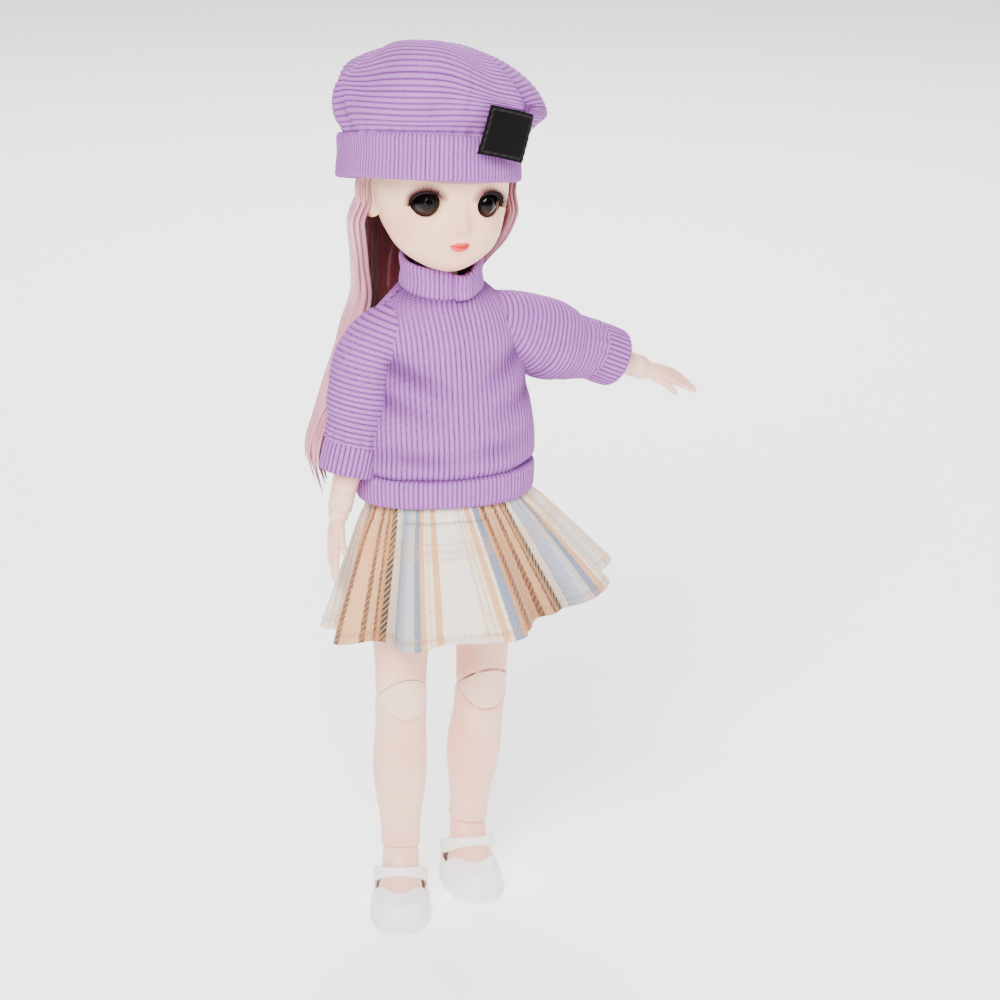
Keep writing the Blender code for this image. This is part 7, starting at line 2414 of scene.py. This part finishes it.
    def label(self) -> bpy.types.Object:
        """Label: a bare woven patch, bowed to the crown, with its edges sewn down."""
        turn = math.radians(25)
        out = np.array([math.sin(turn), -math.cos(turn), 0.0])
        side = np.array([math.cos(turn), math.sin(turn), 0.0])
        u, v = np.meshgrid(np.linspace(-1, 1, 64), np.linspace(-1, 1, 52))
        flat = np.stack([u * self.label_width / 2, v * self.label_height / 2], -1)
        roll = math.radians(-8)
        across = flat[..., 0] * math.cos(roll) - flat[..., 1] * math.sin(roll)
        rise = flat[..., 0] * math.sin(roll) + flat[..., 1] * math.cos(roll)
        local = np.array(
            [math.sin(turn) * 0.0338 + 0.0008, -math.cos(turn) * 0.0362, self.band_height + 0.0005]
        )
        bow = across**2 / (2 * 0.034) + 0.2 * rise**2 / (2 * 0.030)
        pucker = 0.00012 * np.cos(u * 28) * (np.abs(v) > 0.88) + 0.00012 * np.cos(v * 22) * (
            np.abs(u) > 0.9
        )
        grid = local + side * across[..., None] + np.array([0, 0, 1.0]) * rise[..., None]
        grid = grid + out * (pucker - bow + 0.0030 + 0.20 * rise)[..., None]
        edge = np.maximum(
            np.abs(u) * self.label_width,
            np.abs(v) * self.label_height + (self.label_width - self.label_height),
        )
        stitch = bump(edge, self.label_width - 0.0022, 0.0005) * (0.5 + 0.5 * np.sign(np.sin((u + v) * 60)))
        uv = flat * 1000
        piece = surface(
            "beret_label_tape", put(self.frame, grid), closed=False, ends=False, uv=uv,
            marks={"stitch": stitch},
        )
        face_along(piece, 0, self.frame[:3, :3] @ out)
        return thicken(piece, 0.0005)


# Kept pieces and the studio


@dataclass
class Core:
    """Inner pieces whose moulded shape is kept as it is, and only dressed."""

    nodes: dict[str, bpy.types.Object]

    def build(self) -> None:
        """Dresses each kept piece."""
        for name in ("pelvis", "chest"):
            SKIN.dress(self.nodes[name], "skin")
        for name in ("waist_ball", "neck", "neck_ball"):
            JOINT.dress(self.nodes[name], "joint")
        for side in Side:
            SKIN.dress(self.nodes[f"upper_arm_{side.tag}"], "skin")
            for name in ("hip_ball", "shoulder_ball", "elbow", "ankle_peg"):
                JOINT.dress(self.nodes[f"{name}_{side.tag}"], "joint")


@dataclass
class Studio:
    """Pale paper floor, soft lights and the camera at the photograph's angle."""

    target: tuple[float, float, float] = (-0.02507, -0.00210, 0.150)
    azimuth: float = -20.0
    elevation: float = 18.5
    distance: float = 1.2
    pixels_per_metre: float = 2930.0
    target_pixel: tuple[float, float] = (443.0, 484.0)

    def build(self) -> None:
        """Builds the floor, the lights and the camera."""
        self.floor()
        self.light("key", (-0.55, -0.85, 0.95), 0.55, 40.0, (1.0, 0.985, 0.965))
        self.light("fill", (0.95, -0.60, 0.55), 0.9, 9.0, (1.0, 0.99, 0.98))
        self.light("back", (0.30, 0.95, 1.1), 1.1, 36.0, (1.0, 1.0, 1.0))
        world = bpy.data.worlds.new("studio")
        world.use_nodes = True
        sky = world.node_tree.nodes["Background"]
        sky.inputs["Color"].default_value = (1.0, 1.0, 1.0, 1.0)
        sky.inputs["Strength"].default_value = 0.26
        bpy.context.scene.world = world
        self.camera()

    def floor(self) -> None:
        """Wide flat floor at z = 0."""
        half = 3.0
        points = np.array([[-half, -half, 0], [half, -half, 0], [half, half, 0], [-half, half, 0]])
        floor = make_object("paper_floor", points, [[0, 1, 2, 3]])
        floor.data.materials.append(PaperSweep("studio_paper").material())

    def light(
        self, name: str, place: tuple[float, ...], size: float, power: float, colour: tuple[float, ...],
    ) -> None:
        """Square soft light that faces the doll."""
        data = bpy.data.lights.new(name, "AREA")
        data.size = size
        data.energy = power
        data.color = colour
        lamp = bpy.data.objects.new(name, data)
        lamp.location = place
        way = np.array(self.target) - np.array(place)
        lamp.rotation_mode = "QUATERNION"
        lamp.rotation_quaternion = track(way)
        bpy.context.scene.collection.objects.link(lamp)

    def camera(self) -> None:
        """Long lens at the photograph's angle; the shift puts the target on its pixel."""
        az, el = math.radians(self.azimuth), math.radians(self.elevation)
        back = np.array([math.sin(az) * math.cos(el), -math.cos(az) * math.cos(el), math.sin(el)])
        data = bpy.data.cameras.new("photo_camera")
        data.lens = self.pixels_per_metre * self.distance * 36 / 1000
        data.sensor_width = 36
        data.shift_x = (500 - self.target_pixel[0]) / 1000
        data.shift_y = -(500 - self.target_pixel[1]) / 1000
        data.clip_end = 20
        camera = bpy.data.objects.new("photo_camera", data)
        camera.location = np.array(self.target) + back * self.distance
        camera.rotation_mode = "QUATERNION"
        camera.rotation_quaternion = track(-back)
        bpy.context.scene.collection.objects.link(camera)
        bpy.context.scene.camera = camera


def track(way: Array) -> Any:
    """Turn that points an object's -Z along a direction, with its Y up."""
    return Vector(way).to_track_quat("-Z", "Y")


def main() -> None:
    """Builds the doll from the inside out, then the studio."""
    logging.basicConfig(level=logging.INFO, format="%(message)s")
    bones = Skeleton(frame["joints"])
    head = Head(bones)
    for part in (
        Core(frame["nodes"]), Leg(bones, Side.RIGHT), Leg(bones, Side.LEFT), Arm(bones, Side.RIGHT, 4),
        Arm(bones, Side.LEFT, -6), Skirt(bones), Sweater(bones), head, Wig(head), Beret(head), Studio(),
    ):
        part.build()
        log.info("built %s", type(part).__name__)


if __name__ == "__main__":
    main()
